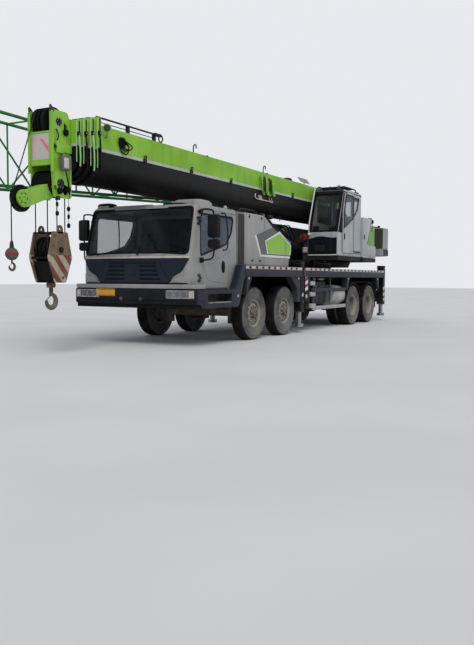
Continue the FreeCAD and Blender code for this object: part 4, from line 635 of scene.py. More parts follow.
for row in range(4):
    low = 1.215 + 0.078 * row
    for start, end in ((0.17, 0.62 - 0.030 * row), (-0.62 + 0.030 * row, -0.17)):
        cab.add(on_front(block((0.030, 0.046), (start, end), (low, low + 0.030), 0.006)), SEAL)
        cab.add(on_front(block((0.036, 0.056), (start, end), (low + 0.026, low + 0.044), 0.006)),
                NAVY)
cab.add(on_front(block((0.034, 0.054), (-0.54, 0.54), (1.515, 1.540), 0.006)), BLACK)
cab.add(on_front(prism("YZ", eased([(-0.085, 1.30), (0.085, 1.30), (0.085, 1.44), (-0.085, 1.44)],
                                   0.03), 0.036, 0.048, 0.004)), NAVY)
cab.add(on_front(block((-0.02, 0.006), (-1.15, 1.15), (1.140, 1.162), 0.004)), SEAL)
wing = prism("YZ", [(0.83, 1.175), (1.205, 1.160), (1.205, 1.335), (1.10, 1.300), (0.90, 1.262)],
             -0.01, 0.016, 0.006)
cab.add(on_front(wing), CAB_GREY, both=True)
hump_levels = [(2.585, 0.0), (2.69, 0.02), (2.735, 0.06), (2.750, 0.12)]
hump = loft([[(x, y, z) for x, y in eased(
    [(aft(0.82 + inset * 2.2), 0.27 + inset), (aft(1.50 - inset), 0.27 + inset),
     (aft(1.50 - inset), 0.90 - inset), (aft(0.82 + inset * 2.2), 0.90 - inset)], 0.12)]
    for z, inset in hump_levels])
cab.add(hump, CAB_GREY)
cab.add(block((aft(0.70), aft(0.50)), (0.36, 0.80), (2.585, 2.625), 0.012, 2), BLACK)
vent = loft([[(aft(distance), y, z) for distance, y in eased(
    [(0.70 - inset, -0.82 - inset), (0.70 - inset, -1.15 + inset), (0.45 + inset, -1.15 + inset),
     (0.45 + inset, -0.82 - inset)], 0.05)]
    for z, inset in ((2.56, 0.0), (2.64, 0.0), (2.67, 0.015), (2.685, 0.05))])
cab.add(vent, BLACK)
cab.add(block((aft(0.60), aft(0.44)), (-1.12, -0.85), (2.60, 2.622), 0.006), STRIP)
cab.add(block((aft(0.47), aft(0.44)), (-0.72, 0.18), (2.588, 2.612), 0.006), STRIP)
cab.add(lathe([(0.045, 0), (0.05, 0.025), (0.042, 0.06), (0.0, 0.072)],
              (aft(0.62), 0.98, 2.575), (0, 0, 1), 20), CAB_GREY)
cab.add(lathe([(0.036, 0), (0.036, 0.03), (0.028, 0.055), (0.0, 0.062)],
              (aft(1.575), 1.08, 2.588), (0, 0, 1), 20), STRIP)
cab.add(on_side(prism("XZ", behind([(0.13, 1.045), (1.45, 1.045), (1.45, 1.062),
                                    (0.13, 1.062)]), -0.02, 0.008)), SEAL, both=True)
drip = [(aft(distance), level_at(z)[1] + 0.006, z) for distance, z in
        smooth([(0.44, 2.36), (0.50, 2.47), (0.80, 2.50), (1.30, 2.505), (1.80, 2.50)], 3)]
cab.add(outlined(drip, 0.009, closed=False), CAB_GREY, both=True)
for start, end, tip in ((0.10, 0.72, 1.745), (-0.85, -0.22, 1.745)):
    arm = [(0.020, start, 1.685), (0.042, start + 0.10, 1.705), (0.036, end, tip)]
    arm = [(aft(front_at(y, z)) + x, y, z) for x, y, z in smooth(arm, 4)]
    cab.add(outlined(arm, 0.008, closed=False), BLACK)
    blade = [(0.022, start + 0.18, tip - 0.035), (0.026, (start + end) / 2 + 0.2, tip - 0.010),
             (0.022, end + 0.22, tip + 0.01)]
    cab.add(outlined([(aft(front_at(y, z)) + x, y, z) for x, y, z in smooth(blade, 4)], 0.009,
                     closed=False), BLACK)
    cab.add(lathe([(0.02, 0), (0.026, 0.01), (0.024, 0.035), (0.0, 0.04)],
                  (aft(front_at(start, 1.685)) - 0.005, start, 1.685), (1, 0, 0.3), 14), BLACK)
# grab rail before the right end of the windscreen, and the roof gutter
cab.add(outlined([(aft(front_at(-0.99, 1.93)) - 0.02, -1.03, 1.93),
                  (aft(front_at(-0.99, 1.93)) + 0.035, -1.01, 1.93),
                  (aft(front_at(-0.99, 2.12)) + 0.035, -1.01, 2.12),
                  (aft(front_at(-0.99, 2.12)) - 0.02, -1.03, 2.12)], 0.010, closed=False), BLACK)
cab.add(block((aft(1.84), aft(1.80)), (-1.02, 1.02), (2.575, 2.60), 0.006), CAB_GREY)
cab.finish("carrier", "cab_paint", "cab_shell")

screen = Piece("windscreen")
screen.add(screen_pane, GLASS)
screen.finish("carrier", "cab_glass", "cab_glass")

# Doors
door = Piece("left_door_panels")
door.add(leaf, CAB_GREY)
door.add(outlined([(aft(x), level_at(z)[1] - 0.004, z) for x, z in window_shape], 0.015), SEAL)
door.add(door_pane, SIDE_GLASS)
ridge = smooth([(0.60, 1.49), (0.95, 1.60), (1.40, 1.735), (1.69, 1.85)], 4)
door.add(outlined([(aft(x), level_at(z)[1] - 0.003, z) for x, z in ridge], 0.016, closed=False),
         CAB_GREY)
low_ridge = smooth([(0.60, 1.47), (0.66, 1.30), (0.76, 1.22), (1.10, 1.185), (1.44, 1.17)], 4)
door.add(outlined([(aft(x), level_at(z)[1] - 0.004, z) for x, z in low_ridge], 0.012,
                  closed=False), CAB_GREY)
handle = eased([(1.27, 1.33), (1.335, 1.42), (1.335, 1.52), (1.27, 1.60), (1.215, 1.52),
                (1.215, 1.42)], 0.04)
door.add(on_side(prism("XZ", behind(handle), -0.01, 0.014, 0.005)), SEAL)
door.add(on_side(prism("XZ", behind([(1.245, 1.37), (1.30, 1.37), (1.30, 1.56),
                                     (1.245, 1.56)]), 0.012, 0.030, 0.010, 2)), BLACK)
door.add(lathe([(0.012, 0), (0.012, 0.012), (0.0, 0.013)], (aft(1.275), 1.208, 1.30),
               (0, 1, 0), 12), CHROME)
MIRROR_X, MIRROR_INNER, MIRROR_OUTER = 0.470, 1.365, 1.60
for low, high, deep in ((1.97, 2.385, 0.075), (1.775, 1.945, 0.065)):
    head = loft([[(aft(MIRROR_X) + x, y, z) for y, z in eased(
        [(MIRROR_INNER + inset, low + inset), (MIRROR_OUTER - inset, low + inset),
         (MIRROR_OUTER - inset, high - inset), (MIRROR_INNER + inset, high - inset)],
        0.05 - inset)] for x, inset in
        ((-0.022, 0.0), (0.0, 0.0), (deep * 0.6, 0.012), (deep * 0.6 + 0.012, 0.04))])
    door.add(head, BLACK)
    door.add(block((aft(MIRROR_X) - 0.026, aft(MIRROR_X) - 0.020),
                   (MIRROR_INNER + 0.014, MIRROR_OUTER - 0.014), (low + 0.014, high - 0.014),
                   0.002), MIRROR)
arm = smooth([(aft(0.41), 1.17, 2.43), (aft(0.40), 1.27, 2.47), (aft(0.41), 1.42, 2.47),
              (aft(0.455), 1.48, 2.42), (aft(0.47), 1.485, 2.20), (aft(0.47), 1.485, 1.90),
              (aft(0.465), 1.48, 1.68), (aft(0.45), 1.44, 1.60), (aft(0.44), 1.32, 1.575),
              (aft(0.44), 1.20, 1.575)], 4)
door.add(outlined(arm, 0.015, closed=False, sides=10), BLACK)
for low, high in ((1.53, 1.62), (2.40, 2.475)):
    door.add(on_side(block((aft(0.52), aft(0.425)), (-0.005, 0.045), (low, high), 0.010, 2)),
             BLACK)
grab = smooth([(aft(1.24), 1.175, 2.47), (aft(1.25), 1.250, 2.465), (aft(1.28), 1.270, 2.40),
               (aft(1.32), 1.285, 2.10), (aft(1.31), 1.285, 1.86), (aft(1.29), 1.265, 1.79),
               (aft(1.27), 1.20, 1.78)], 4)
door.add(outlined(grab, 0.013, closed=False, sides=8), BLACK)
for height in (1.18, 2.20):
    door.add(block((aft(0.482), aft(0.42)), (1.19, 1.226), (height + 0.052, height + 0.098),
                   0.004), DARK_STEEL)
    door.add(lathe([(0.013, -0.024), (0.013, 0.024)], (aft(0.42), 1.224, height + 0.075),
                   (0, 0, 1), 14), DARK_STEEL)
left_door = door.data()
stand("left_door_panels", left_door, "door_left", "cab_paint", "door_left")
right_shape = bmesh.new()
right_shape.from_mesh(left_door)
for corner in right_shape.verts:
    corner.co.y = -corner.co.y
bmesh.ops.reverse_faces(right_shape, faces=right_shape.faces[:])
right_door = left_door.copy()
right_shape.to_mesh(right_door)
right_shape.free()
stand("right_door_panels", right_door, "door_right", "cab_paint", "door_right")
hinges = Piece("door_hinges")
for height in (1.18, 2.20):
    for low in (height, height + 0.1):
        hinges.add(block((aft(0.418), aft(0.362)), (1.18, 1.226), (low + 0.002, low + 0.048),
                         0.004), DARK_STEEL, both=True)
        hinges.add(lathe([(0.0135, 0.001), (0.0135, 0.049)], (aft(0.42), 1.224, low),
                         (0, 0, 1), 14), DARK_STEEL, both=True)
hinges.finish("carrier", "cab_paint")


def pillow(x, y, z, power=5.0, cuts=5):
    """A padded block with full sides and round edges."""
    shape = bmesh.new()
    bmesh.ops.create_cube(shape, size=2.0)
    bmesh.ops.subdivide_edges(shape, edges=shape.edges[:], cuts=cuts, use_grid_fill=True)
    middle = Vector(((x[0] + x[1]) / 2, (y[0] + y[1]) / 2, (z[0] + z[1]) / 2))
    half = Vector((abs(x[1] - x[0]) / 2, abs(y[1] - y[0]) / 2, abs(z[1] - z[0]) / 2))
    for corner in shape.verts:
        spot = corner.co
        length = sum(abs(value) ** power for value in spot) ** (1 / power)
        spot = spot / max(length, 1e-6)
        corner.co = middle + Vector((spot.x * half.x, spot.y * half.y, spot.z * half.z))
    return shape


def leaned(shape, foot, amount):
    """Leans a back rest towards the rear."""
    for corner in shape.verts:
        corner.co.x -= max(0.0, corner.co.z - foot) * amount
    return shape


def seat(name, x, y, floor, body, slot):
    """A sprung seat: base, cushion, side bolsters, back and head rest."""
    base = Piece(name + "_base")
    base.add(block((x - 0.20, x + 0.20), (y - 0.19, y + 0.19), (floor, floor + 0.07), 0.01),
             TRIM)
    base.add(block((x - 0.13, x + 0.13), (y - 0.13, y + 0.13), (floor + 0.06, floor + 0.22),
                   0.02, 2), TRIM)
    base.finish(body, slot)
    pad = Piece(name + "_cushions")
    low = floor + 0.21
    pad.add(pillow((x - 0.22, x + 0.24), (y - 0.20, y + 0.20), (low, low + 0.13)), FABRIC)
    for side in (1, -1):
        edge = sorted((y + 0.17 * side, y + 0.25 * side))
        pad.add(pillow((x - 0.21, x + 0.22), edge, (low + 0.01, low + 0.16)), FABRIC)
        pad.add(leaned(pillow((x - 0.30, x - 0.15), edge, (low + 0.12, low + 0.62)), low, 0.16),
                FABRIC)
    pad.add(leaned(pillow((x - 0.31, x - 0.18), (y - 0.20, y + 0.20), (low + 0.08, low + 0.68)),
                   low, 0.16), FABRIC)
    pad.add(leaned(pillow((x - 0.29, x - 0.19), (y - 0.13, y + 0.13), (low + 0.69, low + 0.86)),
                   low, 0.16), FABRIC)
    made = pad.finish(body, slot)


def steering(piece, centre, direction, radius):
    turn = Matrix.Translation(Vector(centre)) @ facing(direction)
    ring = [turn @ Vector((radius * math.cos(a), radius * math.sin(a), 0)) for a in angles(28)]
    piece.add(tube(ring, 0.015, 8, closed=True), BLACK)
    for a in angles(3, 90, 330):
        rim_point = turn @ Vector((radius * math.cos(a), radius * math.sin(a), 0))
        piece.add(rod(turn @ Vector((0, 0, -0.02)), rim_point, 0.014, 8, 0.011), BLACK)
    piece.add(lathe([(0.0, 0.012), (0.05, 0.008), (0.06, -0.02), (0.035, -0.05),
                     (0.03, -0.20)][::-1], centre, direction, 16), BLACK)


FLOOR = 1.101
room = Piece("cabin_fittings")
dash = eased([(0.15, FLOOR), (0.15, 1.60), (0.20, 1.63), (0.34, 1.64), (0.46, 1.60),
              (0.49, 1.50), (0.43, 1.36), (0.42, FLOOR)], 0.03, 2)
room.add(prism("XZ", behind(dash), -1.13, 1.13, 0.01), TRIM)
room.add(block((aft(0.42), aft(0.28)), (0.42, 0.86), (1.62, 1.70), 0.03, 3), BLACK)
room.add(block((aft(0.46), aft(0.43)), (-0.25, 0.25), (1.42, 1.58), 0.01), BLACK)
room.add(block((aft(1.10), aft(0.46)), (-0.10, 0.10), (FLOOR, 1.32), 0.03, 2), TRIM)
room.add(rod((aft(0.80), 0.0, 1.31), (aft(0.76), 0.0, 1.52), 0.012), BLACK)
room.add(pillow((aft(0.79), aft(0.73)), (-0.03, 0.03), (1.51, 1.57), 3.0, 3), BLACK)
steering(room, (aft(0.62), 0.64, 1.72), (-0.57, 0, 0.82), 0.22)
room.add(block((aft(1.785), aft(1.755)), (-1.05, 1.05), (1.12, 2.45), 0.01), TRIM)
room.finish("carrier", "cabin_trim", "cab_interior")
seat("driver_seat", aft(1.18), 0.64, FLOOR, "carrier", "cabin_trim")
seat("second_seat", aft(1.18), -0.64, FLOOR, "carrier", "cabin_trim")


# Bumper, lamps and steps
BUMPER = (0.0, 1.375, 0.09, 0.035, 0.39)


def band(proud, depth, low, high, bevel=0.0, segments=1):
    """A strip that follows the bumper's plan, standing proud of it by a distance."""
    front, half, corner, bow, rear = BUMPER
    outer = front_path(front - proud, half + proud, corner + proud, bow, rear)
    inner = front_path(front - proud + depth, half + proud - depth,
                       max(0.03, corner + proud - depth), bow, rear)
    outline = [(aft(distance), y) for distance, y in outer + inner[::-1]]
    return prism("XY", outline, low, high, bevel, segments)


def lamp_slot(y, z, reach=0.35):
    return block((aft(reach), aft(-0.1)), y, z, 0)


LAMP_Y, LAMP_Z = (0.75, 1.335), (0.885, 1.035)
bumper = Piece("bumper_shell")
shell = band(0.0, 0.07, 0.775, 1.052, 0.018, 2)
for slot_shape in (lamp_slot(LAMP_Y, LAMP_Z, 0.12), mirrored(lamp_slot(LAMP_Y, LAMP_Z, 0.12)),
                   lamp_slot((-0.86, -0.36), (0.895, 1.065), 0.035)):
    shell = carved(shell, slot_shape)
bumper.add(shell, LEG)
bumper.add(band(-0.012, 0.07, 1.060, 1.136, 0.010, 2), COVER_GREY)
bumper.add(band(-0.030, 0.035, 0.705, 1.13), SEAL)
bumper.add(block((aft(0.060), aft(0.034)), (-0.86, -0.36), (0.895, 1.050), 0.004), SEAL)
bumper.add(block((aft(0.036), aft(0.028)), (-0.83, -0.39), (0.910, 1.050), 0.004), PLATE)
bumper.add(block((aft(0.027), aft(0.023)), (-0.815, -0.405), (0.924, 0.930), 0.001), SEAL)
bumper.add(block((aft(0.027), aft(0.023)), (-0.815, -0.405), (1.030, 1.036), 0.001), SEAL)
for y in (-0.70, -0.52):
    bumper.add(lathe([(0.008, 0), (0.008, 0.005), (0.0, 0.006)], (aft(0.027), y, 0.98),
                     (1, 0, 0), 10), CHROME)
bumper.add(band(0.004, 0.02, 0.835, 0.848, 0.004), SEAL)
for y in (-0.22, 0.22):
    bumper.add(lathe([(0.03, -0.02), (0.035, 0.012), (0.022, 0.02), (0.0, 0.02)],
                     (aft(0.0), y, 0.87), (1, 0, 0), 18), DARK_STEEL)
bumper.add(block((aft(0.16), aft(0.055)), (-0.44, 0.44), (0.74, 0.96), 0.01), DARK_STEEL)


def clipped(shape, y, z, reach):
    return carved(shape, lamp_slot(y, z, reach), "INTERSECT")


lamps = Piece("headlamps")
lamps.add(clipped(band(-0.058, 0.010, 0.80, 1.06), LAMP_Y, LAMP_Z, 0.30), SEAL, both=True)
for y, radius, distance in ((0.835, 0.062, 0.03), (0.985, 0.062, 0.034), (1.125, 0.058, 0.04)):
    bowl = lathe([(0.018, -0.055), (radius * 0.6, -0.045), (radius * 0.92, -0.015),
                  (radius, 0.0), (radius + 0.006, 0.0), (radius + 0.004, -0.02),
                  (0.03, -0.06)], (aft(distance + 0.004), y, 0.96), (1, 0, 0), 28, ring=True)
    lamps.add(bowl, CHROME, both=True)
    lamps.add(lathe([(0.016, -0.05), (0.018, -0.03), (0.0, -0.022)],
                    (aft(distance + 0.004), y, 0.96), (1, 0, 0), 14), WHITE, both=True)
lamps.add(clipped(band(-0.014, 0.03, 0.90, 1.02, 0.004), (1.225, 1.33), LAMP_Z, 0.165),
          PALE_AMBER, both=True)
for low, high in ((0.888, 0.898), (1.022, 1.032)):
    lamps.add(clipped(band(-0.020, 0.05, low, high), (0.76, 1.33), (0.80, 1.06), 0.17),
              CHROME, both=True)
lamps.add(clipped(band(-0.002, 0.006, 0.80, 1.06), (0.755, 1.33), (0.889, 1.031), 0.18),
          CLEAR, both=True)
for start in (0.905, 1.055, 1.195):
    lamps.add(clipped(band(-0.024, 0.03, 0.895, 1.025), (start, start + 0.028), LAMP_Z, 0.17),
              SEAL, both=True)
lamps.finish("carrier", "bumper_paint")

STEP_SIDE = [(0.09, 1.04), (0.09, 0.80), (0.19, 0.775), (0.29, 0.705), (1.58, 0.700),
             (1.64, 0.78), (1.72, 0.98), (1.80, 1.20), (1.945, 1.36), (1.945, 1.520),
             (1.742, 1.520), (1.715, 1.490), (1.487, 1.04)]
step = prism("XZ", behind(eased(STEP_SIDE, 0.03, 3)), 1.235, 1.379, 0.012, 2)
step = carved(step, prism("XZ", behind(eased([(0.44, 0.965), (0.46, 0.815), (1.31, 0.815),
                                              (1.34, 0.965)], 0.03)), 1.20, 1.40))
bumper.add(step, NAVY, both=True)
inner = [(0.46, 1.035), (0.46, 0.72), (1.60, 0.72), (1.66, 1.035)]
inner_step = carved(prism("XZ", behind(inner), 0.90, 1.24, 0.008),
                    block((aft(1.34), aft(0.48)), (1.10, 1.3), (0.815, 0.965), 0))
bumper.add(inner_step, DARK_STEEL, both=True)
bumper.add(block((aft(1.31), aft(0.46)), (1.20, 1.383), (0.795, 0.818), 0.006), BRIGHT_STEEL,
           both=True)
for tooth in range(20):
    x = aft(0.50 + tooth * 0.04)
    bumper.add(block((x - 0.012, x + 0.012), (1.22, 1.37), (0.816, 0.824), 0.002), BRIGHT_STEEL,
               both=True)
bumper.add(lathe([(0.030, 0), (0.030, 0.006), (0.0, 0.007)], (aft(1.56), 1.378, 0.915),
                 (0, 1, 0), 20), STRIP, both=True)
bumper.add(lathe([(0.024, 0), (0.024, 0.004), (0.0, 0.005)], (aft(1.56), 1.384, 0.915),
                 (0, 1, 0), 20), CHROME, both=True)
for distance in (0.36, 1.46):
    for z in (0.76, 0.99):
        bumper.add(lathe([(0.012, 0), (0.012, 0.004), (0.0, 0.006)], (aft(distance), 1.378, z),
                         (0, 1, 0), 8), DARK_STEEL, both=True)
bumper.finish("carrier", "bumper_paint", "front_bumper")

# Engine hood with its rear slope, side panel and the air intake in front of it
HOOD = [(2.180, 1.505), (2.180, 2.570), (3.050, 2.570), (3.560, 2.300), (4.380, 2.080),
        (4.280, 1.505)]
HOOD_SIDE = 1.198
hood = Piece("hood_panels")
hood.add(prism("XZ", behind(eased(HOOD, 0.05, 4)), -HOOD_SIDE, HOOD_SIDE, 0.035, 4), HOOD_GREY)


def on_hood(outline, low, high, bevel=0.004):
    return prism("XZ", behind(outline), HOOD_SIDE + low, HOOD_SIDE + high, bevel)


hood.add(on_hood([(2.805, 1.735), (2.585, 2.120), (2.650, 2.150), (2.875, 1.765)], -0.01, 0.012),
         WHITE, both=True)
hood.add(on_hood([(2.815, 1.700), (2.815, 1.750), (4.305, 1.750), (4.314, 1.700)], -0.01, 0.012),
         WHITE, both=True)
hood.add(on_hood([(2.850, 1.745), (2.650, 2.140), (3.430, 2.345), (3.560, 2.300), (4.375, 2.080),
                  (4.315, 1.745)], -0.02, 0.006, 0.003), FRAME_GREY, both=True)
PENTAGON = [(3.10, 2.040), (3.770, 2.232), (4.320, 2.000), (4.300, 1.790), (3.200, 1.790)]
hood.add(on_hood(grown(PENTAGON, 0.048), -0.01, 0.012), WHITE, both=True)
hood.add(on_hood(PENTAGON, 0.0, 0.018), GREEN, both=True)
for distance in (2.215, 3.02):
    hood.add(block((aft(distance + 0.008), aft(distance)), (-1.202, 1.202), (1.53, 2.56), 0.003),
             FRAME_GREY)
hood.add(block((aft(3.02), aft(2.22)), (-0.006, 0.006), (2.50, 2.577), 0.002), FRAME_GREY)
for y in (-0.62, 0.62):
    hood.add(block((aft(2.95), aft(2.30)), (y - 0.28, y + 0.28), (2.55, 2.580), 0.010, 2),
             HOOD_GREY)
    for bar in range(9):
        x = aft(2.36 + bar * 0.065)
        hood.add(block((x - 0.022, x + 0.010), (y - 0.25, y + 0.25), (2.575, 2.592), 0.005),
                 DARK_STEEL)
for distance in (2.45, 2.80):
    hood.add(block((aft(distance + 0.07), aft(distance)), (1.19, 1.212), (1.60, 1.635), 0.006),
             DARK_STEEL, both=True)
for distance, height in ((2.35, 2.50), (2.90, 2.50)):
    hood.add(lathe([(0.028, 0), (0.028, 0.012), (0.0, 0.016)], (aft(distance), 1.196, height),
                   (0, 1, 0), 16), DARK_STEEL, both=True)
RAIL_Y = 1.02
rail = smooth([(aft(2.26), RAIL_Y, 2.56), (aft(2.27), RAIL_Y, 2.635), (aft(2.34), RAIL_Y, 2.66),
               (aft(2.86), RAIL_Y, 2.66), (aft(2.94), RAIL_Y, 2.635), (aft(2.95), RAIL_Y, 2.56)], 4)
hood.add(tube(rail, 0.013, 8), DARK_STEEL, both=True)
intake = block((aft(2.172), aft(1.892)), (0.645, 1.178), (1.505, 2.562), 0.02, 2)
hood.add(intake, INTAKE)
for rib in range(6):
    distance = 1.92 + rib * 0.044
    hood.add(block((aft(distance + 0.016), aft(distance)), (1.170, 1.190), (1.53, 2.53), 0.006),
             DARK_STEEL)
for rib in range(22):
    z = 1.60 + rib * 0.042
    hood.add(block((aft(1.894), aft(1.880)), (0.70, 1.13), (z, z + 0.018), 0.004), DARK_STEEL)
hood.add(lathe([(0.10, 0), (0.13, 0.03), (0.13, 0.07), (0.09, 0.10), (0.0, 0.105)],
               (aft(2.03), 0.80, 2.556), (0, 0, 1), 24), BLACK)
hood.finish("carrier", "hood_paint", "engine_hood")

# Deck edge: pale strip with dark squares, steel fascia, brackets and steps
EDGE = 1.375
trim = Piece("deck_trim")
LEGS = {1: (4.725, 10.900), -1: (5.045, 10.580)}
for side in (1, -1):
    stops = [1.885]
    for leg in LEGS[side]:
        stops += [leg - 0.11, leg + 0.11]
    stops.append(10.765)
    for start, end in zip(stops[::2], stops[1::2]):
        if end - start < 0.1:
            continue
        y = sorted((EDGE * side, (EDGE + 0.006) * side))
        trim.add(block((aft(end), aft(start)), y, (1.442, 1.502), 0.003), STRIP)
        y = sorted((EDGE * side, (EDGE + 0.012) * side))
        trim.add(block((aft(end), aft(start)), y, (1.302, 1.438), 0.008, 2), SLATE)
        lip = sorted(((EDGE - 0.04) * side, (EDGE + 0.016) * side))
        trim.add(block((aft(end), aft(start)), lip, (1.292, 1.304), 0.003), DARK_STEEL)
    number = 0
    distance = 2.02
    while distance < 10.6:
        if all(abs(distance + 0.035 - leg) > 0.16 for leg in LEGS[side]):
            y = sorted(((EDGE + 0.003) * side, (EDGE + 0.009) * side))
            trim.add(block((aft(distance + 0.10), aft(distance)), y, (1.451, 1.495), 0.002),
                     SEAL if number % 3 == 0 else MAROON)
        distance += 0.28
        number += 1
for outline in ([(1.96, 1.30), (2.20, 1.30), (1.96, 0.92)], [(4.05, 1.30), (4.575, 1.30),
                                                           (4.575, 0.72), (4.42, 0.72),
                                                           (4.40, 1.02)],
                [(7.64, 1.30), (7.86, 1.30), (7.70, 0.95), (7.64, 0.95)],
                [(10.13, 1.30), (10.36, 1.30), (10.36, 0.95), (10.30, 0.95)]):
    trim.add(prism("XZ", behind(outline), 1.20, 1.36, 0.006), SLATE, both=True)
for distance in (2.04, 4.47, 7.72, 10.24):
    trim.add(lathe([(0.026, 0), (0.026, 0.006), (0.0, 0.008)], (aft(distance), 1.36, 1.255),
                   (0, 1, 0), 18), STRIP, both=True)
# raised tread bars over the deck's walkways
for side in (1, -1):
    for row in range(70):
        x = aft(4.40 + row * 0.085)
        low = min((0.74, 1.30), (0.74, 1.30))
        y = sorted((low[0] * side, low[1] * side))
        if abs(aft(8.25) - x) < 0.70 or x < aft(10.70) or abs(aft(LEGS[side][0]) - x) < 0.14:
            continue
        trim.add(block((x - 0.006, x + 0.006), y, (1.499, 1.505), 0.002), DECK)
trim.finish("carrier", "deck_paint")


# Wheels. Each mesh is made once at the origin and stands at every wheel of its kind.
TYRE_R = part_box("tyre_1l")[1].z / 2
HALF_TREAD = 0.1465


def tyre_shape(offset):
    """A worn road tyre: ribbed tread, rounded shoulders, bulged walls and beads."""
    half = [(0.258, 0.108), (0.285, 0.118), (0.297, 0.128), (0.306, 0.126), (0.345, 0.141),
            (0.400, HALF_TREAD), (0.432, 0.1455), (0.436, 0.1475), (0.446, 0.147),
            (0.450, 0.144), (0.495, 0.136), (0.520, 0.127), (0.538, 0.112), (TYRE_R, 0.098)]
    for middle in (0.068, 0.024):
        half += [(TYRE_R, middle + 0.008), (TYRE_R - 0.013, middle + 0.005),
                 (TYRE_R - 0.013, middle - 0.005), (TYRE_R, middle - 0.008)]
    outline = half + [(radius, -place) for radius, place in half[::-1]]
    outline += [(0.250, -0.10), (0.250, 0.10)]
    shape = lathe([(radius, place + offset) for radius, place in outline], (0, 0, 0),
                  (0, 1, 0), 72, ring=True)
    for face in shape.faces:
        middle = face.calc_center_median()
        if math.hypot(middle.x, middle.z) > 0.522:
            face.material_index = 1
    return shape


def shoulder_lugs(offset):
    """The sipes' edges along both shoulders, as shallow raised blocks."""
    lugs = bmesh.new()
    for side in (1, -1):
        for turn in angles(48):
            frame_turn = Matrix.Rotation(turn, 4, "Y")
            corners = []
            for radius, place in ((0.512, 0.128), (0.5435, 0.110), (0.5435, 0.086),
                                  (0.512, 0.100)):
                for half in (-0.020, 0.020):
                    corners.append(lugs.verts.new(
                        frame_turn @ Vector((half, offset + place * side, radius))))
            for a, b in ((0, 1), (1, 2), (2, 3), (3, 0)):
                lugs.faces.new((corners[a * 2], corners[a * 2 + 1], corners[b * 2 + 1],
                                corners[b * 2]))
            lugs.faces.new([corners[index] for index in (0, 2, 4, 6)])
            lugs.faces.new([corners[index] for index in (7, 5, 3, 1)])
    bmesh.ops.recalc_face_normals(lugs, faces=lugs.faces[:])
    return lugs


def bolts(piece, radius, offset, count, size, depth, material, start=0.0):
    for turn in angles(count):
        spot = (radius * math.cos(turn + start), offset, radius * math.sin(turn + start))
        piece.add(lathe([(size, 0), (size, depth * 0.6), (size * 0.7, depth), (0.0, depth)],
                        spot, (0, 1, 0), 6), material)


def hand_holes(shape, low, high, outward):
    """Sinks ten openings into the disc between two radii; their floors take the near-black second
    material as painted shade, standing in for the dark seen through a real opening.
    """
    picked = []
    for face in shape.faces:
        middle = face.calc_center_median()
        radius = math.hypot(middle.x, middle.z)
        if low < radius < high and face.normal.y * outward > 0.3:
            turn = math.degrees(math.atan2(middle.z, middle.x)) % 36
            if 9 < turn < 27:
                picked.append(face)
    grown_faces = bmesh.ops.inset_region(shape, faces=picked, thickness=0.004, depth=0.0)
    bmesh.ops.inset_region(shape, faces=picked, thickness=0.003, depth=-0.028)
    for face in picked:
        face.material_index = 1
    return shape


front_tyre = Piece("front_tyre")
front_tyre.add(tyre_shape(0), RUBBER, second=TREAD)
front_tyre.add(shoulder_lugs(0), TREAD)
front_tyre = front_tyre.data()
TWIN = 0.335
rear_tyre = Piece("rear_tyre")
for offset in (0, -TWIN):
    rear_tyre.add(tyre_shape(offset), RUBBER, second=TREAD)
    rear_tyre.add(shoulder_lugs(offset), TREAD)
rear_tyre = rear_tyre.data()


def barrel(offset):
    half = [(0.286, 0.122), (0.292, 0.118), (0.292, 0.108), (0.262, 0.102), (0.258, 0.060),
            (0.246, 0.045)]
    outline = half + [(radius, -place) for radius, place in half[::-1]]
    outline += [(0.238, -0.050), (0.250, -0.104), (0.280, -0.120), (0.280, 0.120),
                (0.250, 0.104), (0.238, 0.050)]
    return lathe([(radius, place + offset) for radius, place in outline], (0, 0, 0),
                 (0, 1, 0), 60, ring=True)


front_rim = Piece("front_rim")
front_rim.add(barrel(0), RIM)
disc = lathe([(0.061, 0.040), (0.245, 0.030), (0.246, 0.046), (0.236, 0.062), (0.222, 0.078),
              (0.196, 0.094), (0.176, 0.100), (0.130, 0.102), (0.118, 0.096), (0.061, 0.096)],
             (0, 0, 0), (0, 1, 0), 60, ring=True)
# the holes' near-black floors are painted shade
front_rim.add(hand_holes(disc, 0.190, 0.236, 1), RIM, second=SEAL)
front_rim.add(lathe([(0.061, 0.06), (0.112, 0.06), (0.112, 0.108), (0.104, 0.116),
                     (0.098, 0.146), (0.088, 0.160), (0.040, 0.166), (0.0, 0.167)],
                    (0, 0, 0), (0, 1, 0), 32), IRON)
bolts(front_rim, 0.1475, 0.101, 10, 0.017, 0.036, BRIGHT_STEEL, math.radians(18))
bolts(front_rim, 0.074, 0.160, 6, 0.008, 0.010, BRIGHT_STEEL)
front_rim.add(lathe([(0.05, -0.108), (0.19, -0.100), (0.20, -0.060), (0.20, 0.0),
                     (0.061, 0.02)], (0, 0, 0), (0, 1, 0), 32), IRON)
front_rim = front_rim.data()

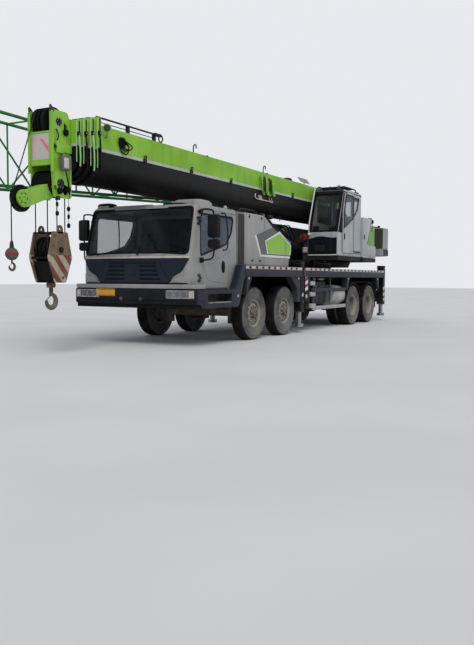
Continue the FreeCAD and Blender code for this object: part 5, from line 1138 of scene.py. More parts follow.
rear_rim = Piece("rear_rim")
rear_rim.add(barrel(0), RIM)
rear_rim.add(barrel(-TWIN), RIM)
disc = lathe([(0.061, -0.112), (0.238, -0.112), (0.240, -0.060), (0.228, -0.070),
              (0.212, -0.088), (0.186, -0.097), (0.061, -0.099)],
             (0, 0, 0), (0, 1, 0), 60, ring=True)
# the holes' near-black floors are painted shade
rear_rim.add(hand_holes(disc, 0.186, 0.232, 1), RIM, second=SEAL)
rear_rim.add(lathe([(0.061, -0.10), (0.128, -0.10), (0.126, -0.040), (0.112, -0.020),
                    (0.108, 0.020), (0.098, 0.036), (0.0, 0.040)],
                   (0, 0, 0), (0, 1, 0), 32), IRON)
bolts(rear_rim, 0.1575, -0.099, 10, 0.017, 0.036, BRIGHT_STEEL, math.radians(18))
bolts(rear_rim, 0.075, 0.036, 8, 0.008, 0.010, BRIGHT_STEEL)
rear_rim.add(lathe([(0.05, -TWIN - 0.10), (0.20, -TWIN - 0.09), (0.20, -0.13), (0.061, -0.12)],
                   (0, 0, 0), (0, 1, 0), 32), IRON)
rear_rim = rear_rim.data()

for number in (1, 2, 3, 4):
    for letter in ("l", "r"):
        wheel = f"{number}{letter}"
        low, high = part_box("tyre_" + wheel)
        outer = high.y if letter == "l" else low.y
        centre = ((low.x + high.x) / 2, outer - math.copysign(HALF_TREAD, outer), TYRE_R)
        rubber, steel = (front_tyre, front_rim) if number < 3 else (rear_tyre, rear_rim)
        for kind, mesh, finish_slot in (("tyre", rubber, "tyre"), ("rim", steel, "rim")):
            stand(f"{kind}_{wheel}_look", mesh, "wheel_" + wheel, finish_slot,
                  f"{kind}_{wheel}", centre=centre, turned=letter == "r")

# Side guards, lockers, tank and steps
gear = Piece("side_gear")
for side in (1, -1):
    for height, material in ((0.98, SLATE), (0.55, TANK)):
        y = sorted((1.318 * side, 1.358 * side))
        gear.add(block((aft(7.56), aft(5.30)), y, (height - 0.045, height + 0.045), 0.010, 2),
                 material)
        for end in (5.30, 7.56):
            gear.add(block((aft(end + 0.006), aft(end - 0.006)), y,
                           (height - 0.047, height + 0.047), 0.004), DARK_STEEL)
    for distance in (5.45, 6.54):
        y = sorted((1.290 * side, 1.320 * side))
        gear.add(block((aft(distance + 0.03), aft(distance - 0.03)), y, (0.52, 1.30), 0.006),
                 DARK_STEEL)
        y = sorted((0.461 * side, 1.300 * side))
        gear.add(block((aft(distance + 0.025), aft(distance - 0.025)), y, (0.985, 1.035), 0.006),
                 DARK_STEEL)
        for height in (0.55, 0.98):
            for shift in (-0.014, 0.014):
                gear.add(lathe([(0.009, 0), (0.009, 0.006), (0.0, 0.007)],
                               (aft(distance) + shift, 1.357 * side, height),
                               (0, side, 0), 8), BRIGHT_STEEL)
    box_y = sorted((0.62 * side, 1.18 * side))
    gear.add(block((aft(6.56), aft(5.62)), box_y, (0.62, 1.18), 0.02, 2), SLATE)
    for start in (5.66, 6.10):
        y = sorted((1.176 * side, 1.190 * side))
        gear.add(block((aft(start + 0.42), aft(start)), y, (0.66, 1.14), 0.012, 2), SLATE)
        y = sorted((1.188 * side, 1.204 * side))
        gear.add(block((aft(start + 0.25), aft(start + 0.17)), y, (1.05, 1.08), 0.006),
                 BRIGHT_STEEL)
        for hinge in (0.06, 0.34):
            gear.add(block((aft(start + hinge + 0.05), aft(start + hinge)), y, (0.655, 0.685),
                           0.005), DARK_STEEL)
LADDER = ((1.145, 1.20, 1.335), (0.885, 1.21, 1.345), (0.605, 1.22, 1.355))
for side in (1, -1):
    for z, start, end in LADDER:
        y = sorted((start * side, end * side))
        gear.add(block((aft(5.52), aft(5.24)), y, (z - 0.055, z + 0.045), 0.012, 2), TANK)
        gear.add(block((aft(5.50), aft(5.26)), y, (z + 0.045, z + 0.050), 0.003), STRIP)
    for distance in (5.225, 5.525):
        gear.add(block((aft(distance + 0.012), aft(distance - 0.012)),
                       sorted((1.195 * side, 1.30 * side)), (0.54, 1.31), 0.005), DARK_STEEL)
TANK_Y, TANK_Z, TANK_R = 1.09, 0.835, 0.262
tank_profile = [(0.0, 0.0), (0.10, 0.004), (0.19, 0.020), (0.235, 0.042), (TANK_R - 0.004, 0.075),
                (TANK_R - 0.004, 0.775), (0.235, 0.808), (0.19, 0.830), (0.10, 0.846),
                (0.0, 0.850)]
gear.add(lathe(tank_profile, (aft(7.61), TANK_Y, TANK_Z), (1, 0, 0), 48), TANK)
for distance in (6.88, 7.18, 7.48):
    gear.add(lathe([(TANK_R - 0.005, -0.03), (TANK_R, -0.028), (TANK_R, 0.028),
                    (TANK_R - 0.005, 0.03)], (aft(distance), TANK_Y, TANK_Z), (1, 0, 0), 48,
                   ring=True), BRIGHT_STEEL if distance != 7.18 else STRIP)
gear.add(lathe([(0.05, 0.0), (0.06, 0.01), (0.06, 0.035), (0.045, 0.045), (0.0, 0.046)],
               (aft(6.98), TANK_Y, TANK_Z + TANK_R - 0.015), (0, 0, 1), 20), BLACK)
for distance in (6.88, 7.48):
    gear.add(block((aft(distance + 0.03), aft(distance - 0.03)), (0.461, 1.10), (0.985, 1.035),
                   0.006), DARK_STEEL)
    gear.add(block((aft(distance + 0.03), aft(distance - 0.03)), (0.80, 0.86), (0.60, 1.02),
                   0.006), DARK_STEEL)
# small air tanks and valves above the side guard
for distance, y, z, radius in ((5.75, 1.04, 1.245, 0.055), (6.30, 1.04, 1.245, 0.055),
                               (5.75, -1.04, 1.245, 0.055)):
    gear.add(lathe([(0.0, 0), (radius * 0.8, 0.012), (radius, 0.05), (radius, 0.37),
                    (radius * 0.8, 0.408), (0.0, 0.42)], (aft(distance + 0.42), y, z), (1, 0, 0),
                   24), BRIGHT_STEEL)
    for shift in (0.10, 0.32):
        gear.add(block((aft(distance + shift + 0.02), aft(distance + shift)),
                       sorted((y - 0.03, y + 0.03)), (1.175, 1.20), 0.003), DARK_STEEL)
# mudguards over the rear wheels, with their flaps, and brackets down to them
for side in (1, -1):
    for axle in (8.25, 9.60):
        curve = arc((aft(axle), TYRE_R), 0.60, 25, 155, 15)
        outline = curve + arc((aft(axle), TYRE_R), 0.585, 155, 25, 15)
        gear.add(prism("XZ", outline, *sorted((0.72 * side, 1.33 * side))), BLACK)
        for turn in (50, 130):
            x = aft(axle) + 0.60 * math.cos(math.radians(turn))
            z = TYRE_R + 0.60 * math.sin(math.radians(turn))
            gear.add(block((x - 0.02, x + 0.02), sorted((0.461 * side, 1.20 * side)),
                           (z, z + 0.035), 0.004), DARK_STEEL)
    y = sorted((0.76 * side, 1.30 * side))
    gear.add(block((aft(10.24), aft(10.215)), y, (0.42, 1.10), 0.006), SEAL)
    y = sorted((0.47 * side, 1.33 * side))
    gear.add(block((aft(10.260), aft(10.242)), y, (0.90, 1.31), 0.006), SEAL)
    y = sorted((0.47 * side, 1.19 * side))
    gear.add(block((aft(4.520), aft(4.505)), y, (0.80, 1.31), 0.006), SEAL)
    # splash panels between the wheels and the frame, near black, so that they also paint the shade in
    # the wheel wells
    y = sorted((0.600 * side, 0.612 * side))
    gear.add(block((aft(4.50), aft(1.98)), y, (0.98, 1.31), 0.004), SEAL)
    gear.add(block((aft(10.30), aft(7.64)), y, (1.02, 1.31), 0.004), SEAL)
    y = sorted((0.612 * side, 1.30 * side))
    gear.add(block((aft(10.22), aft(7.66)), y, (1.155, 1.175), 0.004), SEAL)
# closed end of the right front beam's tube, with the warning strip
gear.add(block((aft(5.145), aft(4.865)), (1.18, 1.345), (0.72, 1.30), 0.006), LEG)
for step in range(5):
    low = 0.96 + step * 0.075
    outline = [(4.885, low), (4.885, low + 0.075), (5.035, low + 0.115), (5.035, low + 0.04)]
    gear.add(prism("XZ", behind(outline), 1.343, 1.351, 0.001), RED if step % 2 else WHITE)
gear.add(block((aft(5.01), aft(4.91)), (1.343, 1.350), (0.80, 0.88), 0.003), STRIP)
gear.finish("carrier", "side_gear", "side_equipment")

tail = Piece("tail_lamps")
tail.add(block((aft(11.095), aft(11.045)), (-1.20, 1.20), (0.95, 1.06), 0.010, 2), SLATE)
for side in (1, -1):
    for start, end, lens in ((0.86, 0.96, AMBER), (0.97, 1.07, RED_LENS), (1.08, 1.17, STRIP)):
        tail.add(block((aft(11.108), aft(11.090)), sorted((start * side, end * side)),
                       (0.965, 1.045), 0.008, 2), lens)
    tail.add(block((aft(11.095), aft(11.04)), sorted((0.38 * side, 0.46 * side)), (0.90, 1.10),
                   0.006), CHASSIS)
tail.finish("carrier", "side_gear")

# Outrigger housings: cap, strips and the beam's end plate
for name, side, distance in (("fl", 1, 4.725), ("fr", -1, 5.045), ("rl", 1, 10.900),
                             ("rr", -1, 10.580)):
    dress = Piece(f"outrigger_dress_{name}")
    inner, outer = 1.160, 1.350
    y = sorted((inner * side, outer * side))
    dress.add(block((aft(distance + 0.100), aft(distance - 0.100)),
                    sorted(((inner - 0.004) * side, (outer + 0.006) * side)), (1.60, 1.655),
                    0.012, 2), LEG)
    for z in (0.49, 1.585):
        dress.add(block((aft(distance + 0.101), aft(distance - 0.101)),
                        sorted(((inner - 0.003) * side, (outer + 0.005) * side)),
                        (z, z + 0.014), 0.003), DARK_STEEL)
    face = sorted(((outer - 0.002) * side, (outer + 0.006) * side))
    for step in range(5) if name != "fl" else ():
        low = (0.98 if name == "fr" else 0.56) + step * 0.085
        outline = [(distance - 0.06, low), (distance - 0.06, low + 0.085),
                   (distance + 0.04, low + 0.145), (distance + 0.04, low + 0.06)]
        dress.add(prism("XZ", behind(outline), *face, 0.001), RED if step % 2 else WHITE)
    dress.add(block((aft(distance + 0.040), aft(distance - 0.040)), face, (0.84, 0.92), 0.003),
              STRIP)
    for z in (0.60, 0.86):
        dress.add(lathe([(0.013, 0), (0.013, 0.010), (0.0, 0.012)],
                        (aft(distance - 0.055), outer * side, z), (0, side, 0), 6), BRIGHT_STEEL)
    dress.add(block((aft(distance + 0.02), aft(distance - 0.02)),
                    sorted(((outer + 0.001) * side, (outer + 0.02) * side)), (0.68, 0.74), 0.006),
              DARK_STEEL)
    dress.finish("outrigger_beam_" + name, "outrigger_paint")


# Operator's cab on the left of the boom
OP_Y = (0.45, 1.30)
OP_SIDE = [(7.09, 1.852), (7.09, 2.45), (7.50, 3.60), (8.86, 3.60), (8.86, 1.852)]
OP_INNER = [(7.135, 1.90), (7.135, 2.44), (7.545, 3.555), (8.815, 3.555), (8.815, 1.90)]
OP_DOORWAY = [(7.375, 1.95), (7.375, 2.95), (7.545, 3.50), (8.12, 3.50), (8.12, 1.95)]
OP_SCREEN = eased([(0.515, 2.50), (1.235, 2.50), (1.235, 3.49), (0.515, 3.49)], 0.05)
OP_REAR_GLASS = eased([(8.20, 2.90), (8.36, 2.98), (8.56, 3.16), (8.68, 3.46), (8.20, 3.46)], 0.04)


def op_front(height):
    """How far aft the operator's screen lies at a height."""
    return 7.09 if height < 2.45 else 7.09 + (height - 2.45) * 0.41 / 1.15


op_cab = Piece("operator_cab_panels")
op_skin = carved(prism("XZ", behind(eased(OP_SIDE, 0.045, 4)), OP_Y[0], OP_Y[1], 0.028, 3),
                 prism("XZ", behind(OP_INNER), OP_Y[0] + 0.045, OP_Y[1] - 0.045))
op_skin = carved(op_skin, prism("YZ", OP_SCREEN, aft(7.60), aft(6.9)))
op_skin = carved(op_skin, prism("XZ", behind(OP_DOORWAY), 1.20, 1.40))
op_skin = carved(op_skin, prism("XZ", behind(OP_REAR_GLASS), 1.20, 1.40))
inner_glass = eased([(7.62, 2.75), (7.62, 3.40), (8.66, 3.40), (8.66, 2.75)], 0.05)
op_skin = carved(op_skin, prism("XZ", behind(inner_glass), 0.40, 0.55))
back_glass = eased([(0.56, 2.80), (1.19, 2.80), (1.19, 3.42), (0.56, 3.42)], 0.05)
op_skin = carved(op_skin, prism("YZ", back_glass, aft(8.95), aft(8.75)))
op_cab.add(op_skin, OP_GREY)
op_cab.add(outlined([(aft(op_front(z)) + 0.004, y, z) for y, z in OP_SCREEN], 0.026), SEAL)
op_cab.add(outlined([(aft(x), OP_Y[1] - 0.007, z) for x, z in OP_REAR_GLASS], 0.012), SEAL)
op_cab.add(outlined([(aft(x), OP_Y[0], z) for x, z in inner_glass], 0.012), SEAL)
op_cab.add(outlined([(aft(8.86), y, z) for y, z in back_glass], 0.012), SEAL)


def on_op_front(outline, low, high, material, bevel=0.004):
    shape = prism("YZ", outline, low, high, bevel)
    sliced(shape, "z", [2.45])
    for corner in shape.verts:
        corner.co.x += aft(op_front(corner.co.z))
    op_cab.add(shape, material)


on_op_front([(0.47, 2.47), (0.535, 2.47), (0.535, 3.53), (0.47, 3.53)], 0.0, 0.010, SEAL)
on_op_front([(1.215, 2.47), (1.285, 2.47), (1.285, 3.53), (1.215, 3.53)], 0.0, 0.010, SEAL)
on_op_front([(0.47, 3.48), (1.285, 3.48), (1.285, 3.575), (0.47, 3.575)], 0.0, 0.012, SEAL)
op_cab.add(block((aft(7.62), aft(7.49)), (0.47, 1.285), (3.592, 3.606), 0.004), SEAL)
WAVE = [(0.470, 1.89), (1.262, 1.89), (1.262, 2.330), (1.16, 2.318), (1.02, 2.335), (0.86, 2.362),
        (0.70, 2.350), (0.58, 2.318), (0.470, 2.300)]
on_op_front(WAVE, -0.01, 0.012, LEG)
on_op_front([(0.66, 1.96), (0.95, 1.96), (0.95, 2.14), (0.66, 2.14)], 0.008, 0.022, BLACK)
on_op_front([(1.02, 1.93), (1.22, 1.93), (1.22, 2.20), (1.02, 2.20)], 0.008, 0.018, LEG)
on_op_front([(0.47, 1.862), (1.262, 1.862), (1.262, 1.886), (0.47, 1.886)], -0.005, 0.016, WHITE)
for row in range(6):
    z = 1.985 + row * 0.026
    on_op_front([(0.675, z), (0.935, z), (0.935, z + 0.010), (0.675, z + 0.010)], 0.02, 0.028,
                DARK_STEEL, 0.002)
# rails that carry the sliding door, the roof guard and the rail beside the screen
op_cab.add(block((aft(8.85), aft(7.38)), (1.295, 1.306), (3.535, 3.557), 0.003), DARK_STEEL)
op_cab.add(block((aft(8.85), aft(7.38)), (1.295, 1.306), (1.938, 1.958), 0.003), DARK_STEEL)
op_cab.add(prism("XZ", behind([(8.16, 1.975), (8.16, 2.01), (8.80, 2.01), (8.80, 1.975)]),
                 1.29, 1.306, 0.003), SEAL)
crease = smooth([(7.44, 2.50), (7.80, 2.65), (8.10, 2.79), (8.50, 2.95), (8.80, 3.10)], 3)
op_cab.add(outlined([(aft(x), 1.294, z) for x, z in crease if x > 8.13], 0.010, closed=False),
           OP_GREY)
for y in (0.50, 0.87, 1.25):
    run = smooth([(aft(7.52), y, 3.60), (aft(7.53), y, 3.66), (aft(7.62), y, 3.685),
                  (aft(8.40), y, 3.685), (aft(8.49), y, 3.66), (aft(8.50), y, 3.60)], 3)
    op_cab.add(tube(run, 0.017, 8), DARK_STEEL)
for step in range(11):
    x = aft(7.60 + step * 0.08)
    op_cab.add(rod((x, 0.50, 3.685), (x, 1.25, 3.685), 0.010, 6), DARK_STEEL)
op_cab.add(block((aft(8.52), aft(7.98)), (0.50, 1.24), (3.59, 3.63), 0.015, 2), COVER_GREY)
op_cab.add(block((aft(8.72), aft(8.56)), (1.02, 1.27), (3.585, 3.64), 0.012, 2), SEAL)
rail = smooth([(aft(7.06), 0.515, 2.40), (aft(7.03), 0.51, 2.46), (aft(7.05), 0.505, 2.70),
               (aft(7.40), 0.50, 3.58), (aft(7.46), 0.50, 3.66), (aft(7.56), 0.50, 3.69)], 4)
op_cab.add(tube(rail, 0.016, 8), WHITE)
op_cab.add(rod((aft(7.09), 0.515, 2.42), (aft(7.05), 0.512, 2.42), 0.016, 8), WHITE)
op_cab.add(pillow((aft(7.08), aft(7.00)), (0.47, 0.55), (2.38, 2.46), 2.2, 4), WHITE)
pillar = [(7.105, 2.46), (7.365, 2.46), (7.365, 3.00), (7.52, 3.52), (7.475, 3.52)]
op_cab.add(prism("XZ", behind(pillar), 1.292, 1.304, 0.003), SEAL)
wiper = smooth([(aft(op_front(2.62)) + 0.03, 1.10, 2.56), (aft(op_front(2.9)) + 0.035, 0.99, 2.90),
                (aft(op_front(3.25)) + 0.03, 0.90, 3.25)], 4)
op_cab.add(outlined(wiper, 0.009, closed=False), BLACK)
op_cab.add(block((aft(7.14), aft(7.075)), (1.04, 1.16), (2.52, 2.60), 0.01, 2), BLACK)
lamp_bowl = [(0.03, -0.03), (0.055, 0.0), (0.058, 0.02), (0.052, 0.024), (0.0, 0.018)]
for y in (0.60, 1.15):
    op_cab.add(lathe(lamp_bowl, (aft(7.50), y, 3.655), (1, 0, -0.25), 20), BLACK)
    op_cab.add(lathe([(0.050, 0.0), (0.044, 0.008), (0.0, 0.012)], (aft(7.475), y, 3.648),
                     (1, 0, -0.25), 20), CLEAR)
    op_cab.add(rod((aft(7.54), y, 3.60), (aft(7.51), y, 3.65), 0.008, 8), BLACK)
op_cab.finish("turntable", "op_paint", "operator_cab_shell")

panes = Piece("operator_cab_panes")
pane = prism("YZ", grown(OP_SCREEN, 0.015), -0.024, -0.018)
sliced(pane, "z", [2.45])
for corner in pane.verts:
    corner.co.x += aft(op_front(corner.co.z))
panes.add(pane, GLASS)
panes.add(prism("XZ", behind(grown(OP_REAR_GLASS, 0.015)), 1.276, 1.282), SIDE_GLASS)
panes.add(prism("XZ", behind(grown(inner_glass, 0.015)), 0.468, 0.474), GLASS)
panes.add(prism("YZ", grown(back_glass, 0.015), aft(8.842), aft(8.836)), GLASS)
panes.finish("turntable", "cab_glass", "operator_cab_glass")

OP_DOOR = eased([(7.368, 1.935), (7.368, 3.00), (7.535, 3.535), (8.145, 3.535), (8.145, 1.935)],
                0.03)
OP_WINDOW = eased([(7.405, 2.58), (8.085, 2.87), (8.085, 3.47), (7.575, 3.47), (7.405, 2.98)], 0.05)
slider = Piece("operator_door_panels")
leaf = carved(prism("XZ", behind(OP_DOOR), 1.3085, 1.344, 0.006, 2),
              prism("XZ", behind(OP_WINDOW), 1.28, 1.37))
slider.add(leaf, OP_GREY)
slider.add(outlined([(aft(x), 1.343, z) for x, z in OP_WINDOW], 0.012), SEAL)
slider.add(prism("XZ", behind(grown(OP_WINDOW, 0.012)), 1.324, 1.330), SIDE_GLASS)
slider.add(outlined([(aft(x), 1.343, z) for x, z in crease if x < 8.13], 0.010, closed=False),
           OP_GREY)
slider.add(prism("XZ", behind([(7.405, 2.29), (7.405, 2.44), (7.455, 2.44), (7.455, 2.29)]),
                 1.336, 1.360, 0.008, 2), SEAL)
slider.add(block((aft(7.452), aft(7.410)), (1.350, 1.366), (2.315, 2.415), 0.006), BLACK)
stile = [(7.370, 2.50), (7.370, 3.00), (7.536, 3.530), (7.62, 3.530), (7.575, 3.475),
         (7.406, 2.98), (7.406, 2.58)]
slider.add(prism("XZ", behind(stile), 1.340, 1.3465), SEAL)
lower = eased([(7.43, 2.00), (7.43, 2.52), (8.08, 2.74), (8.08, 2.00)], 0.03)
slider.add(outlined([(aft(x), 1.342, z) for x, z in lower], 0.006), OP_GREY)
slider.add(block((aft(8.148), aft(8.136)), (1.3085, 1.350), (1.94, 3.53), 0.003), SEAL)
slider.finish("operator_door", "op_paint", "operator_door")

cabin = Piece("operator_fittings")
OP_FLOOR = 1.8965
cabin.add(block((aft(8.80), aft(7.14)), (0.50, 1.25), (1.898, 1.91), 0.004), BLACK)
cabin.add(block((aft(7.30), aft(7.16)), (0.62, 1.12), (1.90, 2.44), 0.04, 3), TRIM)
for y in (0.585, 1.175):
    cabin.add(block((aft(8.45), aft(7.90)), (y - 0.06, y + 0.06), (1.90, 2.43), 0.03, 2), TRIM)
    cabin.add(rod((aft(7.98), y, 2.42), (aft(7.96), y, 2.55), 0.012), BLACK)
    cabin.add(pillow((aft(7.99), aft(7.93)), (y - 0.028, y + 0.028), (2.53, 2.60), 3.0, 3), BLACK)
cabin.add(block((aft(7.24), aft(7.20)), (0.54, 0.72), (2.46, 2.64), 0.01), BLACK)
cabin.finish("turntable", "cabin_trim", "operator_cab_interior")
seat("operator_seat", aft(8.22), 0.88, OP_FLOOR, "turntable", "cabin_trim")

# Covers behind the cab and on the right, and the counterweight
covers = Piece("cover_panels")
COVER = [(8.95, 1.852), (8.95, 2.98), (9.76, 2.98), (9.34, 2.21), (10.10, 2.21), (10.10, 1.852)]
covers.add(prism("XZ", behind(eased(COVER, 0.05, 3)), 0.445, 1.328, 0.02, 2), OP_GREY)
covers.add(prism("XZ", behind([(9.42, 2.25), (9.795, 2.93), (10.06, 2.93), (10.06, 2.25)]),
                 0.455, 0.475, 0.004), LIME)
covers.add(prism("XZ", behind([(9.325, 2.24), (9.70, 2.93), (9.725, 2.93), (9.35, 2.24)]),
                 1.322, 1.336, 0.004), FRAME_GREY)
for outline in ([(9.00, 1.92), (9.00, 2.90), (9.27, 2.90), (9.27, 1.92)],):
    covers.add(prism("XZ", behind(outline), 1.32, 1.337, 0.006, 2), OP_GREY)
covers.add(block((aft(9.06), aft(9.02)), (1.335, 1.352), (2.36, 2.50), 0.006), SEAL)
covers.add(block((aft(10.09), aft(9.36)), (1.325, 1.337), (1.90, 2.17), 0.008, 2), OP_GREY)
for distance in (9.10, 9.62):
    covers.add(block((aft(distance + 0.09), aft(distance)), (0.70, 1.10), (2.97, 3.03), 0.02, 2),
               DARK_STEEL)
lever = smooth([(aft(9.55), 1.20, 2.96), (aft(9.66), 1.24, 3.00), (aft(9.82), 1.27, 3.01),
                (aft(9.88), 1.28, 2.97)], 3)
covers.add(tube(lever, 0.012, 8), DARK_STEEL)
covers.add(pillow((aft(9.95), aft(9.85)), (1.24, 1.32), (2.86, 2.98), 3.0, 3), SEAL)
covers.add(tube(smooth([(aft(9.90), 1.28, 2.88), (aft(9.84), 1.30, 2.74), (aft(9.76), 1.31, 2.62)], 3),
                0.010, 8), DARK_STEEL)
covers.add(block((aft(10.10), aft(7.70)), (-1.328, -0.445), (1.852, 2.698), 0.035, 3), COVER_GREY)
for start in (7.76, 8.55, 9.34):
    covers.add(block((aft(start + 0.70), aft(start)), (-1.338, -1.322), (1.93, 2.60), 0.012, 2),
               COVER_GREY)
    covers.add(block((aft(start + 0.40), aft(start + 0.30)), (-1.352, -1.334), (2.40, 2.43),
                     0.006), DARK_STEEL)
    for row in range(9):
        z = 2.02 + row * 0.032
        covers.add(block((aft(start + 0.62), aft(start + 0.08)), (-1.344, -1.334),
                         (z, z + 0.012), 0.003), DARK_STEEL)
for distance in (7.90, 8.80, 9.70):
    covers.add(block((aft(distance + 0.5), aft(distance)), (-1.20, -0.60), (2.69, 2.715), 0.01, 2),
               DARK_STEEL)
covers.finish("turntable", "cover_paint", "side_covers")

ballast = Piece("counterweight_block")


def ballast_ring(height, inset):
    outline = [(10.765 + inset, -1.345 + inset), (10.765 + inset, 1.345 - inset),
               (11.28, 1.345 - inset), (11.495 - inset, 1.13), (11.495 - inset, -1.13),
               (11.28, -1.345 + inset)]
    return [(aft(x), y, height) for x, y in eased(outline, 0.035, 3)]


rings = [(1.952, 0.02), (1.965, 0.0), (2.150, 0.0), (2.158, 0.012), (2.172, 0.012), (2.180, 0.0),
         (2.775, 0.0), (2.797, 0.02)]
ballast.add(loft([ballast_ring(z, inset) for z, inset in rings]), COVER_GREY)
# The olive sheets on the counterweight's front face paint the shade that falls on it behind the
# covers; the lime sheet beside the left one is a green plate
ballast.add(block((aft(10.77), aft(10.755)), (1.08, 1.335), (2.18, 2.78), 0.004), OLIVE_AND_SHADE)
ballast.add(block((aft(10.77), aft(10.750)), (0.47, 1.07), (2.21, 2.86), 0.004), LIME)
ballast.add(block((aft(10.77), aft(10.755)), (-1.335, -0.47), (2.18, 2.78), 0.004), OLIVE_AND_SHADE)
ballast.add(block((aft(10.77), aft(10.722)), (-0.415, 0.415), (1.955, 2.315), 0.01), DARK_STEEL)
for side in (1, -1):
    for fin in range(6):
        distance = 10.80 + fin * 0.085
        y = sorted((1.342 * side, 1.362 * side))
        ballast.add(block((aft(distance + 0.012), aft(distance)), y, (1.96, 2.145), 0.003),
                    DARK_STEEL)
    y = sorted((1.335 * side, 1.352 * side))
    ballast.add(block((aft(11.26), aft(10.79)), y, (2.128, 2.150), 0.004), DARK_STEEL)
    for distance, across in ((10.95, 1.15), (11.35, 0.95), (11.35, 0.0)):
        if across == 0.0 and side < 0:
            continue
        lug = block((aft(distance + 0.07), aft(distance - 0.07)),
                    sorted(((across - 0.02) * side, (across + 0.02) * side)), (2.79, 2.88),
                    0.012, 2)
        ballast.add(lug, DARK_STEEL)
    ballast.add(block((aft(11.15), aft(10.90)), sorted((0.75 * side, 1.02 * side)),
                      (2.79, 2.86), 0.02, 2), DARK_STEEL)
    ballast.add(block((aft(11.505), aft(11.488)), sorted((0.55 * side, 1.05 * side)),
                      (2.24, 2.70), 0.010, 2), COVER_GREY)
    for step in range(5):
        ballast.add(block((aft(11.508), aft(11.494)),
                          sorted(((0.55 + step * 0.1) * side, (0.65 + step * 0.1) * side)),
                          (2.03, 2.11), 0.002), RED if step % 2 else WHITE)
ballast.finish("turntable", "cover_paint", "counterweight")

# Winches with the rope's turns, seen between the turntable's plates
for name in ("main", "aux"):
    low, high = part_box(f"{name}_winch_drum")
    centre = ((low.x + high.x) / 2, 0, (low.z + high.z) / 2)
    drum = Piece(f"{name}_winch_look")
    drum.add(lathe([(0.0, -0.384), (0.04, -0.384), (0.04, -0.335), (0.10, -0.335), (0.235, -0.330),
                    (0.235, -0.310), (0.226, -0.308), (0.165, -0.308), (0.165, 0.308),
                    (0.226, 0.308), (0.235, 0.310), (0.235, 0.330), (0.10, 0.335), (0.04, 0.335),
                    (0.04, 0.384), (0.0, 0.384)], centre, (0, 1, 0), 40), GREEN)
    profile = [(0.168, -0.306)]
    for turn_number in range(32):
        middle = -0.297 + turn_number * 0.0191
        profile += [(0.196, middle - 0.0075), (0.202, middle), (0.196, middle + 0.0075),
                    (0.190, middle + 0.0095)]
    profile += [(0.168, 0.306)]
    drum.add(lathe(profile, centre, (0, 1, 0), 36), ROPE)
    for side in (1, -1):
        for a in angles(8):
            spot = (centre[0] + 0.13 * math.cos(a), 0.332 * side, centre[2] + 0.13 * math.sin(a))
            drum.add(lathe([(0.014, 0), (0.014, 0.008), (0.0, 0.010)], spot, (0, side, 0), 6),
                     DARK_STEEL)
    drum.finish(f"{name}_winch_drum", "winch_steel", f"{name}_winch_drum")

# Turntable fittings: bolts round the ring, swivel, hoses, lamp stack and valve blocks
fittings = Piece("turntable_fittings")
slew_x = aft(8.25)
for a in angles(36):
    fittings.add(lathe([(0.016, 0), (0.016, 0.018), (0.010, 0.022), (0.0, 0.022)],
                       (slew_x + 0.58 * math.cos(a), 0.58 * math.sin(a), 1.649), (0, 0, 1), 6),
                 BRIGHT_STEEL)
for side in (1, -1):
    plate_y = 0.415 * side
    for centre_x, z, radius in ((9.90, 3.0, 0.15), (8.30, 1.80, 0.11)):
        fittings.add(lathe([(radius, 0), (radius, 0.016), (radius * 0.7, 0.020),
                            (radius * 0.66, 0.030), (0.0, 0.030)],
                           (aft(centre_x), plate_y, z), (0, side, 0), 32), TABLE)
        for a in angles(8):
            fittings.add(lathe([(0.011, 0), (0.011, 0.010), (0.0, 0.012)],
                               (aft(centre_x) + radius * 0.84 * math.cos(a), plate_y + 0.015 * side,
                                z + radius * 0.84 * math.sin(a)), (0, side, 0), 6), BRIGHT_STEEL)
    for start, end in (((7.60, 1.93), (8.70, 2.25)), ((8.74, 2.27), (9.66, 3.12))):
        way = (Vector(end) - Vector(start)).normalized()
        off = Vector((-way.y, way.x)) * 0.018
        outline = [Vector(start) - off, Vector(end) - off, Vector(end) + off, Vector(start) + off]
        fittings.add(prism("XZ", behind([tuple(point) for point in outline]),
                           *sorted((0.414 * side, 0.436 * side)), 0.004), TABLE)
fittings.add(block((aft(7.60), aft(7.12)), (-0.36, 0.36), (1.66, 1.74), 0.012, 2), TABLE)
fittings.add(block((aft(7.30), aft(7.10)), (0.30, 0.46), (1.72, 2.46), 0.015, 2), DARK_STEEL)
fittings.add(lathe([(0.088, 0), (0.096, 0.012), (0.094, 0.11), (0.07, 0.135), (0.0, 0.140)],
                   (aft(7.10), 0.36, 2.33), (1, 0, 0), 28), DEEP_RED)
fittings.add(lathe([(0.102, 0.0), (0.102, 0.03), (0.088, 0.034)], (aft(7.10), 0.36, 2.33),
                   (1, 0, 0), 28), BLACK)
fittings.add(block((aft(7.10), aft(7.07)), (0.315, 0.445), (1.945, 2.085), 0.010, 2), STRIP)
for y, z in ((0.35, 2.05), (0.41, 2.05), (0.35, 1.98), (0.41, 1.98)):
    fittings.add(lathe([(0.014, 0), (0.014, 0.01), (0.0, 0.012)], (aft(7.07), y, z), (1, 0, 0), 12),
                 FRAME_GREY)
for number in range(6):
    x = aft(8.02 + number * 0.055)
    fittings.add(block((x - 0.022, x + 0.022), (-0.16, 0.16), (1.65, 1.80), 0.008), DARK_STEEL)
for number in range(7):
    y = -0.30 + number * 0.10
    run = smooth([(aft(7.98), y * 0.5, 1.76), (aft(7.80), y * 0.8, 1.86), (aft(7.55), y, 1.80),
                  (aft(7.30), y * 1.05, 1.76), (aft(7.14), y, 1.73)], 4)
    fittings.add(tube(run, 0.014, 8), HOSE)
fittings.finish("turntable", "table_paint")


# Boom: sheaves and plates of its head, in place of the plain ones
BOOM_Z = 3.25
BELOW = BOOM_Z - 0.47


def keel_outline(half, height, steps=10):
    """Flat top and sides with a half-round keel, as Y and Z."""
    top, centre = BOOM_Z + height / 2, BOOM_Z - height / 2 + half
    return [(half, top), (-half, top)] + arc((0, centre), half, 180, 360, steps)


